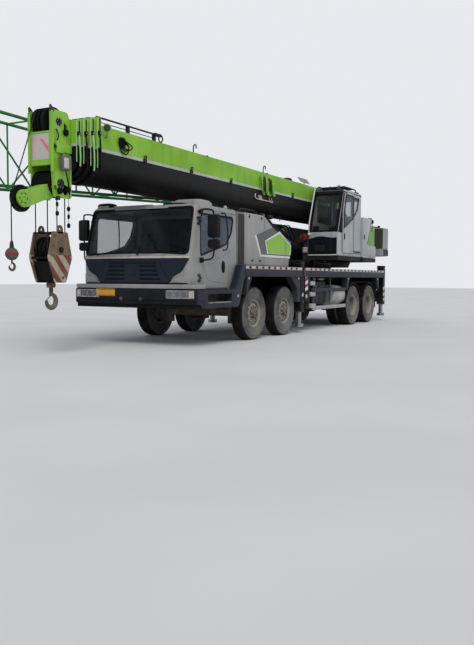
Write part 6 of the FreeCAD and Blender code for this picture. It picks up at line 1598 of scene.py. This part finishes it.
def sheave(radius, half, x, y, z, steps=32):
    """A rope wheel with a groove, its bore closed by a hub."""
    groove = [(radius - 0.022 * (1 - abs(t)) ** 0.5, half * 0.80 * t)
              for t in (-1.0, -0.6, 0.0, 0.6, 1.0)]
    profile = ([(0.0, -half), (0.062, -half), (0.062, -half * 0.6), (radius - 0.045, -half * 0.6),
                (radius - 0.035, -half), (radius, -half)] + groove
               + [(radius, half), (radius - 0.035, half), (radius - 0.045, half * 0.6),
                  (0.062, half * 0.6), (0.062, half), (0.0, half)])
    return lathe(profile, (x, y, z), (0, 1, 0), steps)


head = Piece("boom_head_parts")
tube_x = (aft(9.0), aft(-1.85))
half, height = 0.21, 0.68
inner = keel_outline(half - 0.012, height - 0.024)
head.add(carved(prism("YZ", keel_outline(half, height), *tube_x, 0.004),
                prism("YZ", inner, tube_x[0] - 0.1, tube_x[1] + 0.1)), BOOM)
head.add(carved(prism("YZ", keel_outline(0.2325, 0.725), aft(9.0), aft(8.82)),
                prism("YZ", inner, aft(9.1), aft(8.7))), BOOM)
PLATE_SIDE = [(-1.8355, 2.48), (-1.8355, 3.70), (-1.90, 3.81), (-2.27, 3.81), (-2.27, 3.20),
              (-2.215, 2.48)]
HOLES = (
    [(-1.90, 3.42), (-1.90, 3.60), (-1.98, 3.66), (-1.98, 3.47)],
    eased([(-1.915, 2.53), (-1.89, 2.66), (-1.97, 2.70), (-2.03, 2.60), (-1.98, 2.52)], 0.03, 3),
)
for side in (1, -1):
    low, high = sorted((0.198 * side, 0.222 * side))
    plate = prism("XZ", behind(eased(PLATE_SIDE, 0.03, 3)), low, high)
    for hole in HOLES:
        plate = carved(plate, prism("XZ", behind(hole), low - 0.05, high + 0.05))
    head.add(plate, GREEN)
    edge = sorted((0.214 * side, 0.250 * side))
    head.add(block((aft(-2.235), aft(-2.273)), edge, (2.86, 3.78), 0.004), GREEN)
    head.add(prism("XZ", behind([(-1.84, 3.18), (-1.84, 3.30), (-2.13, 3.30), (-2.13, 3.34),
                                 (-2.17, 3.34), (-2.17, 3.16), (-2.05, 3.16), (-2.00, 3.18)]),
                   *sorted((0.218 * side, 0.262 * side)), 0.008, 2), GREEN)
    for x, z, radius in ((2.06, 2.70, 0.075), (2.09, 3.64, 0.06), (2.20, 3.25, 0.045)):
        head.add(lathe([(radius, 0), (radius, 0.012), (radius * 0.6, 0.018), (radius * 0.6, 0.03),
                        (0.0, 0.03)], (aft(-x), 0.222 * side, z), (0, side, 0), 24), DARK_STEEL)
        for a in angles(6):
            head.add(lathe([(0.010, 0), (0.010, 0.010), (0.0, 0.012)],
                           (aft(-x) + radius * 0.8 * math.cos(a), 0.232 * side,
                            z + radius * 0.8 * math.sin(a)), (0, side, 0), 6), BRIGHT_STEEL)
    ear = eased([(-2.20, 3.76), (-2.19, 3.81), (-2.26, 3.875), (-2.285, 3.86), (-2.275, 3.76)],
                0.010, 2)
    head.add(prism("XZ", behind(ear), *sorted((0.206 * side, 0.226 * side)), 0.003), OLIVE_AND_SHADE)
    head.add(block((aft(-1.875), aft(-1.838)), sorted((0.218 * side, 0.245 * side)), (2.50, 3.15),
                   0.004), GREEN)
head.add(block((aft(-2.262), aft(-2.236)), (-0.198, 0.198), (3.455, 3.485), 0.004), GREEN)
head.add(block((aft(-2.262), aft(-2.232)), (-0.198, 0.198), (2.965, 3.055), 0.006), GREEN)
for side in (1, -1):
    head.add(block((aft(-2.262), aft(-2.24)), sorted((0.172 * side, 0.198 * side)),
                   (3.04, 3.47), 0.003), GREEN)
head.add(block((aft(-2.254), aft(-2.246)), (-0.174, 0.174), (3.055, 3.455), 0.002), STRIP)
for outline in ([(-0.02, 3.37), (0.045, 3.37), (0.172, 3.23), (0.172, 3.14)],
                [(-0.05, 3.37), (-0.10, 3.37), (-0.16, 3.29), (-0.16, 3.19)]):
    finish = PINK if outline[0][0] > -0.03 else PALE_PINK
    head.add(prism("YZ", outline, aft(-2.2535), aft(-2.2555)), finish)
for place in range(-3, 4):
    head.add(sheave(0.215, 0.021, aft(-2.06), place * 0.054, 2.70), SEAL)
for place in (-0.095, 0.0, 0.095):
    head.add(sheave(0.23, 0.021 if place == 0.0 else 0.036, aft(-2.09), place, 3.64, 36), SEAL)
for x, z in ((2.06, 2.70), (2.09, 3.64)):
    head.add(rod((aft(-x), -0.222, z), (aft(-x), 0.222, z), 0.038, 16), DARK_STEEL)
head.add(rod((aft(-2.20), -0.222, 3.25), (aft(-2.20), 0.222, 3.25), 0.035, 16), GREEN)
# arm and wheel of the second rope
root = aft(-2.145)
for offset in (0.06, 0.14):
    arm = [(root, 2.47), (root, 2.700), (root + 0.24, 2.655), (aft(-2.70), 2.55),
           (aft(-2.84), 2.53), (aft(-2.91), 2.44), (aft(-2.88), 2.33), (aft(-2.78), 2.27),
           (aft(-2.66), 2.30), (root + 0.20, 2.42)]
    plate = prism("XZ", eased(arm, 0.05, 4), offset - 0.008, offset + 0.008)
    head.add(plate, GREEN)
# rope from the top wheels to the arm's wheel
head.add(rod((aft(-2.271), -0.095, 3.742), (aft(-2.938), 0.10, 2.497), 0.009, 8), ROPE)
head.add(rod((root + 0.035, -0.222, 2.63), (root + 0.035, 0.222, 2.63), 0.035, 16), GREEN)
head.add(sheave(0.20, 0.021, aft(-2.78), 0.10, 2.41, 36), SEAL)
for side, level in ((1, 0.148), (-1, 0.052)):
    hub = [(0.112, 0), (0.112, 0.014), (0.092, 0.016), (0.088, 0.008), (0.060, 0.008),
           (0.056, 0.022), (0.036, 0.024), (0.032, 0.012), (0.0, 0.012)]
    head.add(lathe(hub, (aft(-2.78), level, 2.41), (0, side, 0), 32), GREEN)
    for a in angles(6):
        head.add(lathe([(0.009, 0), (0.009, 0.012), (0.0, 0.014)],
                       (aft(-2.78) + 0.076 * math.cos(a), level + 0.004 * side,
                        2.41 + 0.076 * math.sin(a)), (0, side, 0), 6), DARK_STEEL)
# switch box, its cable, the work lamp's bracket and the chain with its weights
head.add(block((aft(-2.12), aft(-1.94)), (0.255, 0.330), (2.90, 3.12), 0.012, 2), FRAME_GREY)
head.add(block((aft(-2.10), aft(-1.99)), (0.330, 0.338), (2.93, 3.09), 0.006, 2), STRIP)
cable = smooth([(aft(-2.02), 0.29, 2.91), (aft(-1.99), 0.30, 2.76), (aft(-1.93), 0.27, 2.66),
                (aft(-1.90), 0.26, 2.55)], 5)
head.add(tube(cable, 0.011, 8), HOSE)
for x, y, z in ((1.97, 0.262, 3.49), (1.93, 0.258, 2.62), (2.12, 0.262, 2.58)):
    head.add(pillow((aft(-x) - 0.04, aft(-x) + 0.04), (y - 0.04, y + 0.035), (z - 0.05, z + 0.05),
                    3.0, 3), SEAL)
run = smooth([(aft(-2.16), 0.236, 3.52), (aft(-2.12), 0.245, 3.42), (aft(-2.16), 0.245, 3.30),
              (aft(-2.05), 0.250, 3.12)], 5)
head.add(tube(run, 0.009, 8), HOSE)
head.add(block((aft(-2.17), aft(-2.12)), (0.20, 0.27), (2.44, 2.50), 0.008, 2), DARK_STEEL)
head.finish("boom_section_5", "boom_paint", "boom_section_5")

# Weights on chains below the head, for the rope's end switches
weights = Piece("switch_weights")
for x, y, low in ((1.93, 0.26, 2.02), (2.12, 0.20, 2.20)):
    weights.add(rod((aft(-x), y, low), (aft(-x), y, 2.56), 0.006, 6), BRIGHT_STEEL)
    for z, radius in ((low + 0.30, 0.026), (low + 0.18, 0.020), (low + 0.04, 0.026)):
        if z < 2.5:
            weights.add(pillow((aft(-x) - radius, aft(-x) + radius), (y - radius, y + radius),
                               (z - 0.04, z + 0.04), 2.5, 3), SEAL)
weights.finish("boom_section_5", "boom_paint")

# Collars: pale rims, hoses and clamps
for number in (1, 2, 3, 4):
    collar = Piece(f"collar_{number}_dress")
    half = 0.35 - 0.035 * (number - 1)
    height = 0.96 - 0.07 * (number - 1)
    front = 1.45 + 0.125 * (number - 1)
    outer = half + 0.088
    top = BOOM_Z + height / 2 + 0.088
    for level in (front - 0.104, front - 0.016):
        for side in (1, -1):
            collar.add(block((aft(-level), aft(-level - 0.016)),
                             sorted(((outer - 0.004) * side, (outer + 0.008) * side)),
                             (BOOM_Z - height / 4, top), 0.002), LIME)
    for side in (1, -1):
        collar.add(block((aft(-front + 0.088), aft(-front + 0.062)),
                         sorted(((outer - 0.004) * side, (outer + 0.006) * side)),
                         (BOOM_Z - height / 4, top - 0.01), 0.002), SEAL)
    for z in (BOOM_Z + height * 0.33, BOOM_Z + height * 0.05, BOOM_Z - height * 0.18):
        collar.add(block((aft(-front + 0.085), aft(-front + 0.015)),
                         (outer - 0.002, outer + 0.026), (z - 0.035, z + 0.035), 0.008, 2), SEAL)
        collar.add(block((aft(-front + 0.085), aft(-front + 0.015)),
                         (-outer - 0.026, -outer + 0.002), (z - 0.035, z + 0.035), 0.008, 2),
                   SEAL)
        for side in (1, -1):
            collar.add(lathe([(0.014, 0), (0.014, 0.012), (0.0, 0.015)],
                             (aft(-front + 0.05), (outer + 0.026) * side, z), (0, side, 0), 6),
                       BRIGHT_STEEL)
    for y in (half * 0.62, -half * 0.62):
        collar.add(block((aft(-front + 0.075), aft(-front + 0.02)), (y - 0.05, y + 0.05),
                         (top - 0.006, top + 0.018), 0.006, 2), DARK_STEEL)
    body = "boom_base" if number == 1 else f"boom_section_{number}"
    hang = smooth([(aft(-front + 0.05), outer + 0.022, BOOM_Z + height * 0.30),
                   (aft(-front + 0.03), outer + 0.050, BOOM_Z + height * 0.10),
                   (aft(-front + 0.05), outer + 0.045, BOOM_Z - height * 0.15),
                   (aft(-front + 0.075), outer + 0.015, BOOM_Z - height * 0.33)], 5)
    collar.add(tube(hang, 0.013, 8), HOSE if number % 2 else LIME)
    collar.finish(body, "boom_paint")

# Fittings along the base section
fittings = Piece("boom_fittings")
# work lamp on its bracket
lamp = (aft(-1.22), 0.46, 3.68)
fittings.add(tube(smooth([(aft(-1.10), 0.348, 3.56), (aft(-1.14), 0.40, 3.56),
                          (aft(-1.20), 0.44, 3.62), (aft(-1.22), 0.45, 3.68)], 3), 0.014, 8),
             GREEN)
fittings.add(lathe([(0.0, -0.065), (0.038, -0.055), (0.066, -0.012), (0.070, 0.012),
                    (0.064, 0.018)], lamp, (0.8, 0.6, -0.1), 28), GREEN)
fittings.add(lathe([(0.060, 0.012), (0.052, 0.024), (0.03, 0.028), (0.0, 0.028)], lamp,
                   (0.8, 0.6, -0.1), 28), OLIVE_AND_SHADE)
# rod along the top edge with a ring at its rear
fittings.add(rod((aft(-1.30), 0.30, 3.862), (aft(0.40), 0.30, 3.862), 0.016, 10), SLATE)
fittings.add(rod((aft(-1.30), 0.265, 3.80), (aft(0.36), 0.265, 3.80), 0.008, 8), DARK_STEEL)
for x in (1.22, 0.45, -0.33):
    fittings.add(block((aft(-x) - 0.02, aft(-x) + 0.02), (0.25, 0.325), (3.728, 3.872), 0.006),
                 DARK_STEEL)
fittings.add(tube([(aft(0.46) + 0.062 * math.cos(a), 0.345, 3.80 + 0.062 * math.sin(a))
                   for a in angles(20)], 0.013, 8, closed=True), DARK_STEEL)
fittings.add(block((aft(0.50), aft(0.30)), (0.28, 0.35), (3.83, 3.885), 0.012, 2), DARK_STEEL)
# pigtail hooks on the top edge
for x in (-1.61, -4.68):
    curl = [(aft(-x) + 0.0, 0.33, 3.73), (aft(-x) + 0.0, 0.335, 3.84),
            (aft(-x) - 0.025, 0.34, 3.885), (aft(-x) - 0.065, 0.345, 3.885),
            (aft(-x) - 0.085, 0.345, 3.85), (aft(-x) - 0.08, 0.345, 3.82)]
    fittings.add(tube(smooth(curl, 4), 0.012, 8), SEAL)
# hose clusters on the side
for x, z in ((0.735, 3.51),):
    fittings.add(pillow((aft(-x) - 0.09, aft(-x) + 0.07), (0.345, 0.42), (z - 0.07, z + 0.11),
                        3.0, 4), SEAL)
    for number, (wide, deep) in enumerate(((0.13, 0.16), (0.10, 0.11), (0.16, 0.09))):
        y = 0.375 + number * 0.022
        loop = smooth([(aft(-x) - 0.05, y, z + 0.05), (aft(-x) + wide * 0.4, y + 0.02, z + 0.06),
                       (aft(-x) - 0.03 - wide, y + 0.03, z - deep * 0.2),
                       (aft(-x) - wide * 0.9, y + 0.02, z - deep), (aft(-x), y, z - deep * 0.8),
                       (aft(-x) + 0.03, y, z - 0.02)], 4)
        fittings.add(tube(loop, 0.011, 8), HOSE)
# hose bundle with a dark olive valve block, made large so that it also paints the shade between the
# hoses, further back on the same side
fittings.add(pillow((aft(5.10), aft(4.56)), (0.345, 0.415), (3.30, 3.62), 3.0, 4), OLIVE_AND_SHADE)
for number in range(9):
    start = 4.50 + number * 0.055
    out = 0.395 + (number % 3) * 0.026
    low_z = 3.245 + (number % 2) * 0.06
    loop = smooth([(aft(start + 0.06), 0.40, 3.55), (aft(start), out, 3.63 - number * 0.012),
                   (aft(start - 0.04), out + 0.03, 3.46), (aft(start + 0.02), out + 0.01, low_z),
                   (aft(start + 0.14), out, low_z - 0.02), (aft(start + 0.16), 0.37, 3.42)], 4)
    fittings.add(tube(loop, 0.015, 8), (GREEN, OLIVE_AND_SHADE, GREEN, HOSE)[number % 4])
# clips along the pale line and the handrail on the dark side
for x, z in ((0.04, 3.325), (-3.09, 3.31), (-1.5, 3.335), (-6.3, 3.335)):
    fittings.add(block((aft(-x) - 0.05, aft(-x) + 0.05), (0.348, 0.372), (z - 0.025, z + 0.03),
                       0.006, 2), DARK_STEEL)
    fittings.add(tube(smooth([(aft(-x) - 0.02, 0.36, z + 0.03), (aft(-x) - 0.03, 0.375, z + 0.08),
                              (aft(-x) + 0.03, 0.378, z + 0.08), (aft(-x) + 0.03, 0.37, z + 0.03)],
                             3), 0.010, 8), DARK_STEEL)
fittings.add(tube(smooth([(aft(4.26), 0.345, 3.20), (aft(4.21), 0.37, 3.12), (aft(4.29), 0.39, 3.08),
                          (aft(4.70), 0.40, 3.075), (aft(5.08), 0.39, 3.07),
                          (aft(5.10), 0.345, 3.10)], 4), 0.012, 8), STRIP)
for x, top in ((4.40, 3.17), (4.46, 3.19), (4.52, 3.17), (4.93, 3.18), (5.05, 3.18)):
    fittings.add(rod((aft(x), 0.355, top), (aft(x), 0.395, 3.08), 0.010, 8), STRIP)
fittings.add(block((aft(5.12), aft(4.36)), (0.335, 0.352), (3.15, 3.18), 0.004), DARK_STEEL)
# rollers and guides for the telescoping hoses, under the base section
for x, y, wide, deep in ((4.52, 0.20, 0.06, 0.03), (4.84, 0.20, 0.13, 0.06), (5.30, 0.20, 0.12, 0.09)):
    fittings.add(pillow((aft(x + wide), aft(x - wide)), (y - 0.06, y + 0.06),
                        (BELOW - deep, BELOW + 0.02), 3.0, 3), DARK_STEEL)
fittings.add(lathe([(0.03, 0), (0.034, 0.012), (0.0, 0.016)], (aft(4.86), 0.262, BELOW - 0.03),
                   (0, 1, 0), 14), BRIGHT_STEEL)
fittings.add(rod((aft(5.80), 0.24, BELOW - 0.10), (aft(5.80), 0.24, BELOW + 0.02), 0.012, 8),
             DARK_STEEL)
# small panel on a post, and guides for the two ropes on the boom's top
post = aft(7.22)
fittings.add(rod((post, 0.27, 3.725), (post, 0.27, 3.85), 0.012, 10), DARK_STEEL)
panel = prism("YZ", [(0.215, 3.912), (0.315, 3.780), (0.323, 3.787), (0.223, 3.920)],
              post - 0.28, post + 0.32, 0.002)
fittings.add(panel, RIM)
fittings.add(block((aft(6.36), aft(6.14)), (0.16, 0.32), (3.725, 3.80), 0.03, 3), SEAL)
for x in (2.4, 5.2, 8.3):
    fittings.add(block((aft(x) - 0.03, aft(x) + 0.03), (-0.30, 0.22), (3.728, 3.745), 0.005),
                 DARK_STEEL)
    for y in (-0.28, -0.02, 0.18):
        fittings.add(block((aft(x) - 0.02, aft(x) + 0.02), (y - 0.012, y + 0.012),
                           (3.74, 3.80), 0.004), DARK_STEEL)
    fittings.add(rod((aft(x), -0.28, 3.79), (aft(x), 0.19, 3.79), 0.014, 10), BRIGHT_STEEL)
for side in (1, -1):
    fittings.add(lathe([(0.155, 0), (0.155, 0.016), (0.10, 0.020), (0.095, 0.030), (0.0, 0.030)],
                       (aft(9.90), 0.375 * side, 3.0), (0, side, 0), 32), DARK_STEEL)
fittings.finish("boom_base", "boom_paint")

# Luffing cylinder: gland, hoses and a valve block
ram = Piece("luff_cylinder_dress")
foot, top = Vector((aft(8.30), 0, 1.80)), Vector((aft(5.30), 0, 2.65))
along = (top - foot).normalized()
low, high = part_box("luff_barrel")
reach = high.x - foot.x
for share, radius, long in ((0.10, 0.131, 0.05), (0.34, 0.129, 0.03), (0.66, 0.129, 0.03)):
    centre = foot + along * (reach * share)
    ram.add(lathe([(radius, 0), (radius, long), (0.124, long), (0.124, 0)], tuple(centre),
                  tuple(along), 28, ring=True), DARK_STEEL)
for side in (1, -1):
    across = Vector((0, 0.10 * side, 0))
    rise = Vector((-along.z, 0, along.x))
    pipe = [foot + along * 0.35 + across + rise * 0.09, foot + along * (reach * 0.93) + across
            + rise * 0.09]
    ram.add(rod(tuple(pipe[0]), tuple(pipe[1]), 0.014, 8), DARK_STEEL)
middle = foot + along * (reach * 0.80)
ram.add(block((middle.x - 0.17, middle.x + 0.17), (-0.11, 0.11), (middle.z + 0.09, middle.z + 0.20),
              0.02, 2), SEAL)
for number in range(6):
    side = 1 if number % 2 else -1
    out = 0.17 + 0.022 * number
    start = middle + along * (0.13 - 0.055 * number)
    loop = smooth([(start.x, 0.09 * side, start.z + 0.15),
                   (start.x - 0.05, out * side, start.z + 0.13 + 0.015 * number),
                   (start.x - 0.24, (out + 0.02) * side, start.z - 0.02),
                   (start.x - 0.42, (out - 0.02) * side, start.z - 0.20 + 0.02 * number),
                   (start.x - 0.66, 0.13 * side, start.z - 0.14)], 4)
    ram.add(tube(loop, 0.017, 8), HOSE)
ram.finish("luff_barrel", "cylinder_paint")

# Hook blocks
AXIS_X = aft(-2.06)
BLOCK_HALF = 0.205
block_look = Piece("hook_block_parts")
CHEEK = [(AXIS_X - 0.165, 1.96), (AXIS_X - 0.265, 1.56), (AXIS_X - 0.12, 1.17),
         (AXIS_X + 0.12, 1.17), (AXIS_X + 0.265, 1.56), (AXIS_X + 0.165, 1.96)]
for side in (1, -1):
    low, high = sorted(((BLOCK_HALF - 0.025) * side, BLOCK_HALF * side))
    cheek = carved(prism("XZ", eased(CHEEK, 0.02, 2), low, high),
                   prism("XZ", arc((AXIS_X - 0.06, 1.245), 0.028, 0, 360, 12), low - 0.1,
                         high + 0.1))
    block_look.add(cheek, HOOK_TAN)
    for radius, depth, material in ((0.062, 0.010, HOOK_TAN), (0.044, 0.022, SEAL),
                                    (0.020, 0.026, DARK_STEEL)):
        block_look.add(lathe([(radius, 0), (radius, depth), (0.0, depth)],
                             (AXIS_X, BLOCK_HALF * side, 1.68), (0, side, 0), 20), material)
    for dx, z in ((-0.12, 1.90), (0.12, 1.90), (-0.21, 1.60), (0.21, 1.60), (-0.11, 1.28),
                  (0.11, 1.28), (-0.02, 1.84), (0.04, 1.80), (-0.20, 1.68), (0.16, 1.74)):
        block_look.add(lathe([(0.016, 0), (0.016, 0.012), (0.010, 0.016), (0.0, 0.016)],
                             (AXIS_X + dx, (BLOCK_HALF - 0.001) * side, z), (0, side, 0), 6),
                       RUSTED)
    lug = carved(prism("XZ", eased([(AXIS_X - 0.07, 1.93), (AXIS_X - 0.06, 2.03),
                                    (AXIS_X - 0.02, 2.065), (AXIS_X + 0.02, 2.065),
                                    (AXIS_X + 0.06, 2.03), (AXIS_X + 0.07, 1.93)], 0.03, 3),
                       low, high, 0.003),
                 prism("XZ", arc((AXIS_X, 2.005), 0.024, 0, 360, 12), low - 0.1, high + 0.1))
    block_look.add(lug, RUSTED)
for place in (-1.5, -0.5, 0.5, 1.5):
    block_look.add(sheave(0.205, 0.026, AXIS_X, place * 0.082, 1.68), SEAL)
block_look.add(rod((AXIS_X, -0.18, 1.68), (AXIS_X, 0.18, 1.68), 0.04, 14), DARK_STEEL)
for way in (1, -1):
    for x, z, tall in ((0.150, 1.95, 0.022), (0.238, 1.565, 0.030), (0.118, 1.19, 0.022)):
        block_look.add(block((AXIS_X + (x - 0.028) * way, AXIS_X + x * way),
                             (-BLOCK_HALF + 0.02, BLOCK_HALF - 0.02), (z - tall, z + 0.006),
                             0.006), SEAL)
block_look.add(prism("XZ", [(AXIS_X - 0.10, 1.19), (AXIS_X - 0.20, 1.50), (AXIS_X + 0.20, 1.50),
                            (AXIS_X + 0.10, 1.19)], -0.178, 0.178), SEAL)
for way, y in ((1, -0.123), (1, 0.123), (-1, -0.041), (-1, 0.123)):
    block_look.add(rod((AXIS_X + 0.193 * way, y, 2.64), (AXIS_X + 0.193 * way, y, 1.70),
                       0.009, 8), ROPE)
block_look.add(rod((AXIS_X, 0, 0.955), (AXIS_X, 0, 1.20), 0.032, 16), IRON)
block_look.add(lathe([(0.0, 1.09), (0.062, 1.09), (0.072, 1.12), (0.072, 1.16), (0.050, 1.172),
                      (0.0, 1.172)], (AXIS_X, 0, 0), (0, 0, 1), 24), RUSTED)


def forged_hook(piece, x, y, z, ring, thick, shank_top, material):
    """A hook of a round bar that swells at its bend, with a latch over its mouth."""
    path = []
    for a, swell in zip(angles(21, 90, 372), [0.75 + 0.45 * math.sin(math.pi * step / 20)
                                              for step in range(21)]):
        path.append((Vector((x + ring * math.cos(a), y, z + ring * math.sin(a))), swell))
    rings = []
    for index, (point, swell) in enumerate(path):
        nearby = path[min(index + 1, 20)][0] - path[max(index - 1, 0)][0]
        way = nearby.normalized()
        out = Vector((0, 1, 0)).cross(way).normalized()
        reach = thick * swell * (0.35 if index == 20 else 1.0)
        rings.append([tuple(point + out * (reach * math.cos(t))
                            + Vector((0, 1, 0)) * (reach * 0.82 * math.sin(t)))
                      for t in angles(10)])
    piece.add(loft(rings), material)
    piece.add(rod((x, y, z + ring - thick * 0.4), (x, y, shank_top), thick * 0.72, 14), material)
    piece.add(rod((x + ring * 0.10, y, z + ring * 0.78), (x + ring * 0.98, y, z + ring * 0.16),
                  thick * 0.24, 8), BRIGHT_STEEL)


forged_hook(block_look, AXIS_X, 0.0, 0.88, 0.105, 0.036, 1.10, BALL)
block_look.finish("hook_block", "hook_paint", "hook_block")

aux = Piece("aux_hook_parts")
ROPE_X = aft(-2.967)
aux.add(rod((ROPE_X, 0.10, 1.66), (ROPE_X, 0.10, 2.41), 0.009, 8), ROPE)
ball_profile = [(0.095 * math.sin(a), -0.095 * math.cos(a)) for a in angles(15, 0, 180)]
aux.add(lathe(ball_profile, (ROPE_X, 0.10, 1.59), (0, 0, 1), 28), BALL)
aux.add(lathe([(0.034, 0.0), (0.034, 0.02), (0.022, 0.10), (0.012, 0.11), (0.0, 0.11)],
              (ROPE_X, 0.10, 1.67), (0, 0, 1), 16), DARK_STEEL)
aux.add(lathe([(0.098, -0.014), (0.098, 0.014), (0.09, 0.02), (0.09, -0.02)],
              (ROPE_X, 0.10, 1.59), (0, 0, 1), 28, ring=True), RED)
forged_hook(aux, ROPE_X, 0.10, 1.407, 0.052, 0.018, 1.52, BALL)
aux.finish("aux_hook", "hook_paint", "aux_hook")


# Finish on the nodes that stay as they are
NODE_FINISH = {
    CHASSIS: ["chassis_frame"],
    DECK: ["carrier_deck"],
    CAB_GREY: ["cab_shell", "door_left", "door_right"],
    GLASS: ["cab_glass", "operator_cab_glass"],
    TRIM: ["cab_interior", "operator_cab_interior"],
    BLACK: ["front_bumper"],
    HOOD_GREY: ["engine_hood"],
    IRON: ["engine", "axles", "knuckle_1l", "knuckle_1r", "knuckle_2l", "knuckle_2r"],
    FRAME_GREY: ["side_equipment"],
    LEG: ["outrigger_beam_fl", "outrigger_beam_fr", "outrigger_beam_rl", "outrigger_beam_rr"],
    BRIGHT_STEEL: ["jack_fl", "jack_fr", "jack_rl", "jack_rr"],
    TABLE: ["turntable_frame"],
    COVER_GREY: ["side_covers", "counterweight"],
    OP_GREY: ["operator_cab_shell", "operator_door"],
    DARK_STEEL: ["main_winch_drum", "aux_winch_drum", "luff_barrel"],
    ROD_STEEL: ["luff_rod"],
    BOOM: ["boom_base", "boom_section_2", "boom_section_3", "boom_section_4", "boom_section_5"],
    JIB_GREEN: ["jib"],
    HOOK_TAN: ["hook_block"],
    BALL: ["aux_hook"],
    RUBBER: ["tyre_" + place for place in ("1l", "1r", "2l", "2r", "3l", "3r", "4l", "4r")],
    RIM: ["rim_" + place for place in ("1l", "1r", "2l", "2r", "3l", "3r", "4l", "4r")],
}
for finish, names in NODE_FINISH.items():
    for name in names:
        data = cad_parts[name].data
        data.materials.clear()
        data.materials.append(finish)


# Ground, light and camera
floor_shape = bmesh.new()
FLOOR_HALF = 90
corners = [floor_shape.verts.new((x, y, 0)) for x, y in
           ((-FLOOR_HALF, -FLOOR_HALF), (FLOOR_HALF, -FLOOR_HALF),
            (FLOOR_HALF, FLOOR_HALF), (-FLOOR_HALF, FLOOR_HALF))]
floor_shape.faces.new(corners)
floor_data = bpy.data.meshes.new("floor")
floor_shape.to_mesh(floor_data)
floor_shape.free()
ground = Finish("floor_plaster", Roughness=0.9)
ground.set("Base Color", ground.mix(ground.noise(0.4, 3.0), (0.62, 0.62, 0.61, 1),
                                    (0.66, 0.66, 0.65, 1)))
floor_data.materials.append(ground.material)
floor = bpy.data.objects.new("floor", floor_data)
bpy.context.scene.collection.objects.link(floor)

world = bpy.data.worlds.new("sky")
world.use_nodes = True
nodes, links = world.node_tree.nodes, world.node_tree.links
sky = nodes["Background"]
sky.inputs["Color"].default_value = (0.80, 0.85, 0.92, 1)
sky.inputs["Strength"].default_value = 0.62
backdrop = nodes.new("ShaderNodeBackground")
backdrop.inputs["Color"].default_value = (0.80, 0.82, 0.85, 1)
backdrop.inputs["Strength"].default_value = 1.0
rays = nodes.new("ShaderNodeLightPath")
either = nodes.new("ShaderNodeMath")
either.operation = "MAXIMUM"
links.new(rays.outputs["Is Camera Ray"], either.inputs[0])
links.new(rays.outputs["Is Transmission Ray"], either.inputs[1])
choose = nodes.new("ShaderNodeMixShader")
links.new(either.outputs[0], choose.inputs[0])
links.new(sky.outputs[0], choose.inputs[1])
links.new(backdrop.outputs[0], choose.inputs[2])
links.new(choose.outputs[0], nodes["World Output"].inputs["Surface"])
bpy.context.scene.world = world


def sun(name, strength, spread, direction, colour):
    data = bpy.data.lights.new(name, "SUN")
    data.energy = strength
    data.angle = math.radians(spread)
    data.color = colour
    lamp = bpy.data.objects.new(name, data)
    lamp.rotation_euler = Vector(direction).to_track_quat("-Z", "Y").to_euler()
    bpy.context.scene.collection.objects.link(lamp)


sun("day", 1.5, 25, (-0.75, -0.45, -0.9), (1.0, 0.985, 0.96))
sun("fill", 0.5, 60, (0.5, -0.8, -0.35), (0.92, 0.96, 1.0))

CAMERA_AHEAD, CAMERA_LEFT, CAMERA_HEIGHT = 10.647, 8.054, 1.250
YAW, PITCH, ROLL = math.radians(208.737), math.radians(-3.493), math.radians(0.283)
forward = Vector((math.cos(YAW) * math.cos(PITCH), math.sin(YAW) * math.cos(PITCH),
                  math.sin(PITCH)))
right = forward.cross(Vector((0, 0, 1))).normalized()
up = right.cross(forward)
turned_right = right * math.cos(ROLL) + up * math.sin(ROLL)
turned_up = up * math.cos(ROLL) - right * math.sin(ROLL)
lens = bpy.data.cameras.new("camera")
lens.lens = 40.34
lens.sensor_width = 36
lens.sensor_fit = "AUTO"
lens.clip_end = 300
camera = bpy.data.objects.new("camera", lens)
look = Matrix((turned_right, turned_up, -forward)).transposed().to_4x4()
camera.matrix_world = Matrix.Translation((NOSE + CAMERA_AHEAD, CAMERA_LEFT, CAMERA_HEIGHT)) @ look
bpy.context.scene.collection.objects.link(camera)
bpy.context.scene.camera = camera
bpy.context.scene.view_settings.view_transform = "Standard"
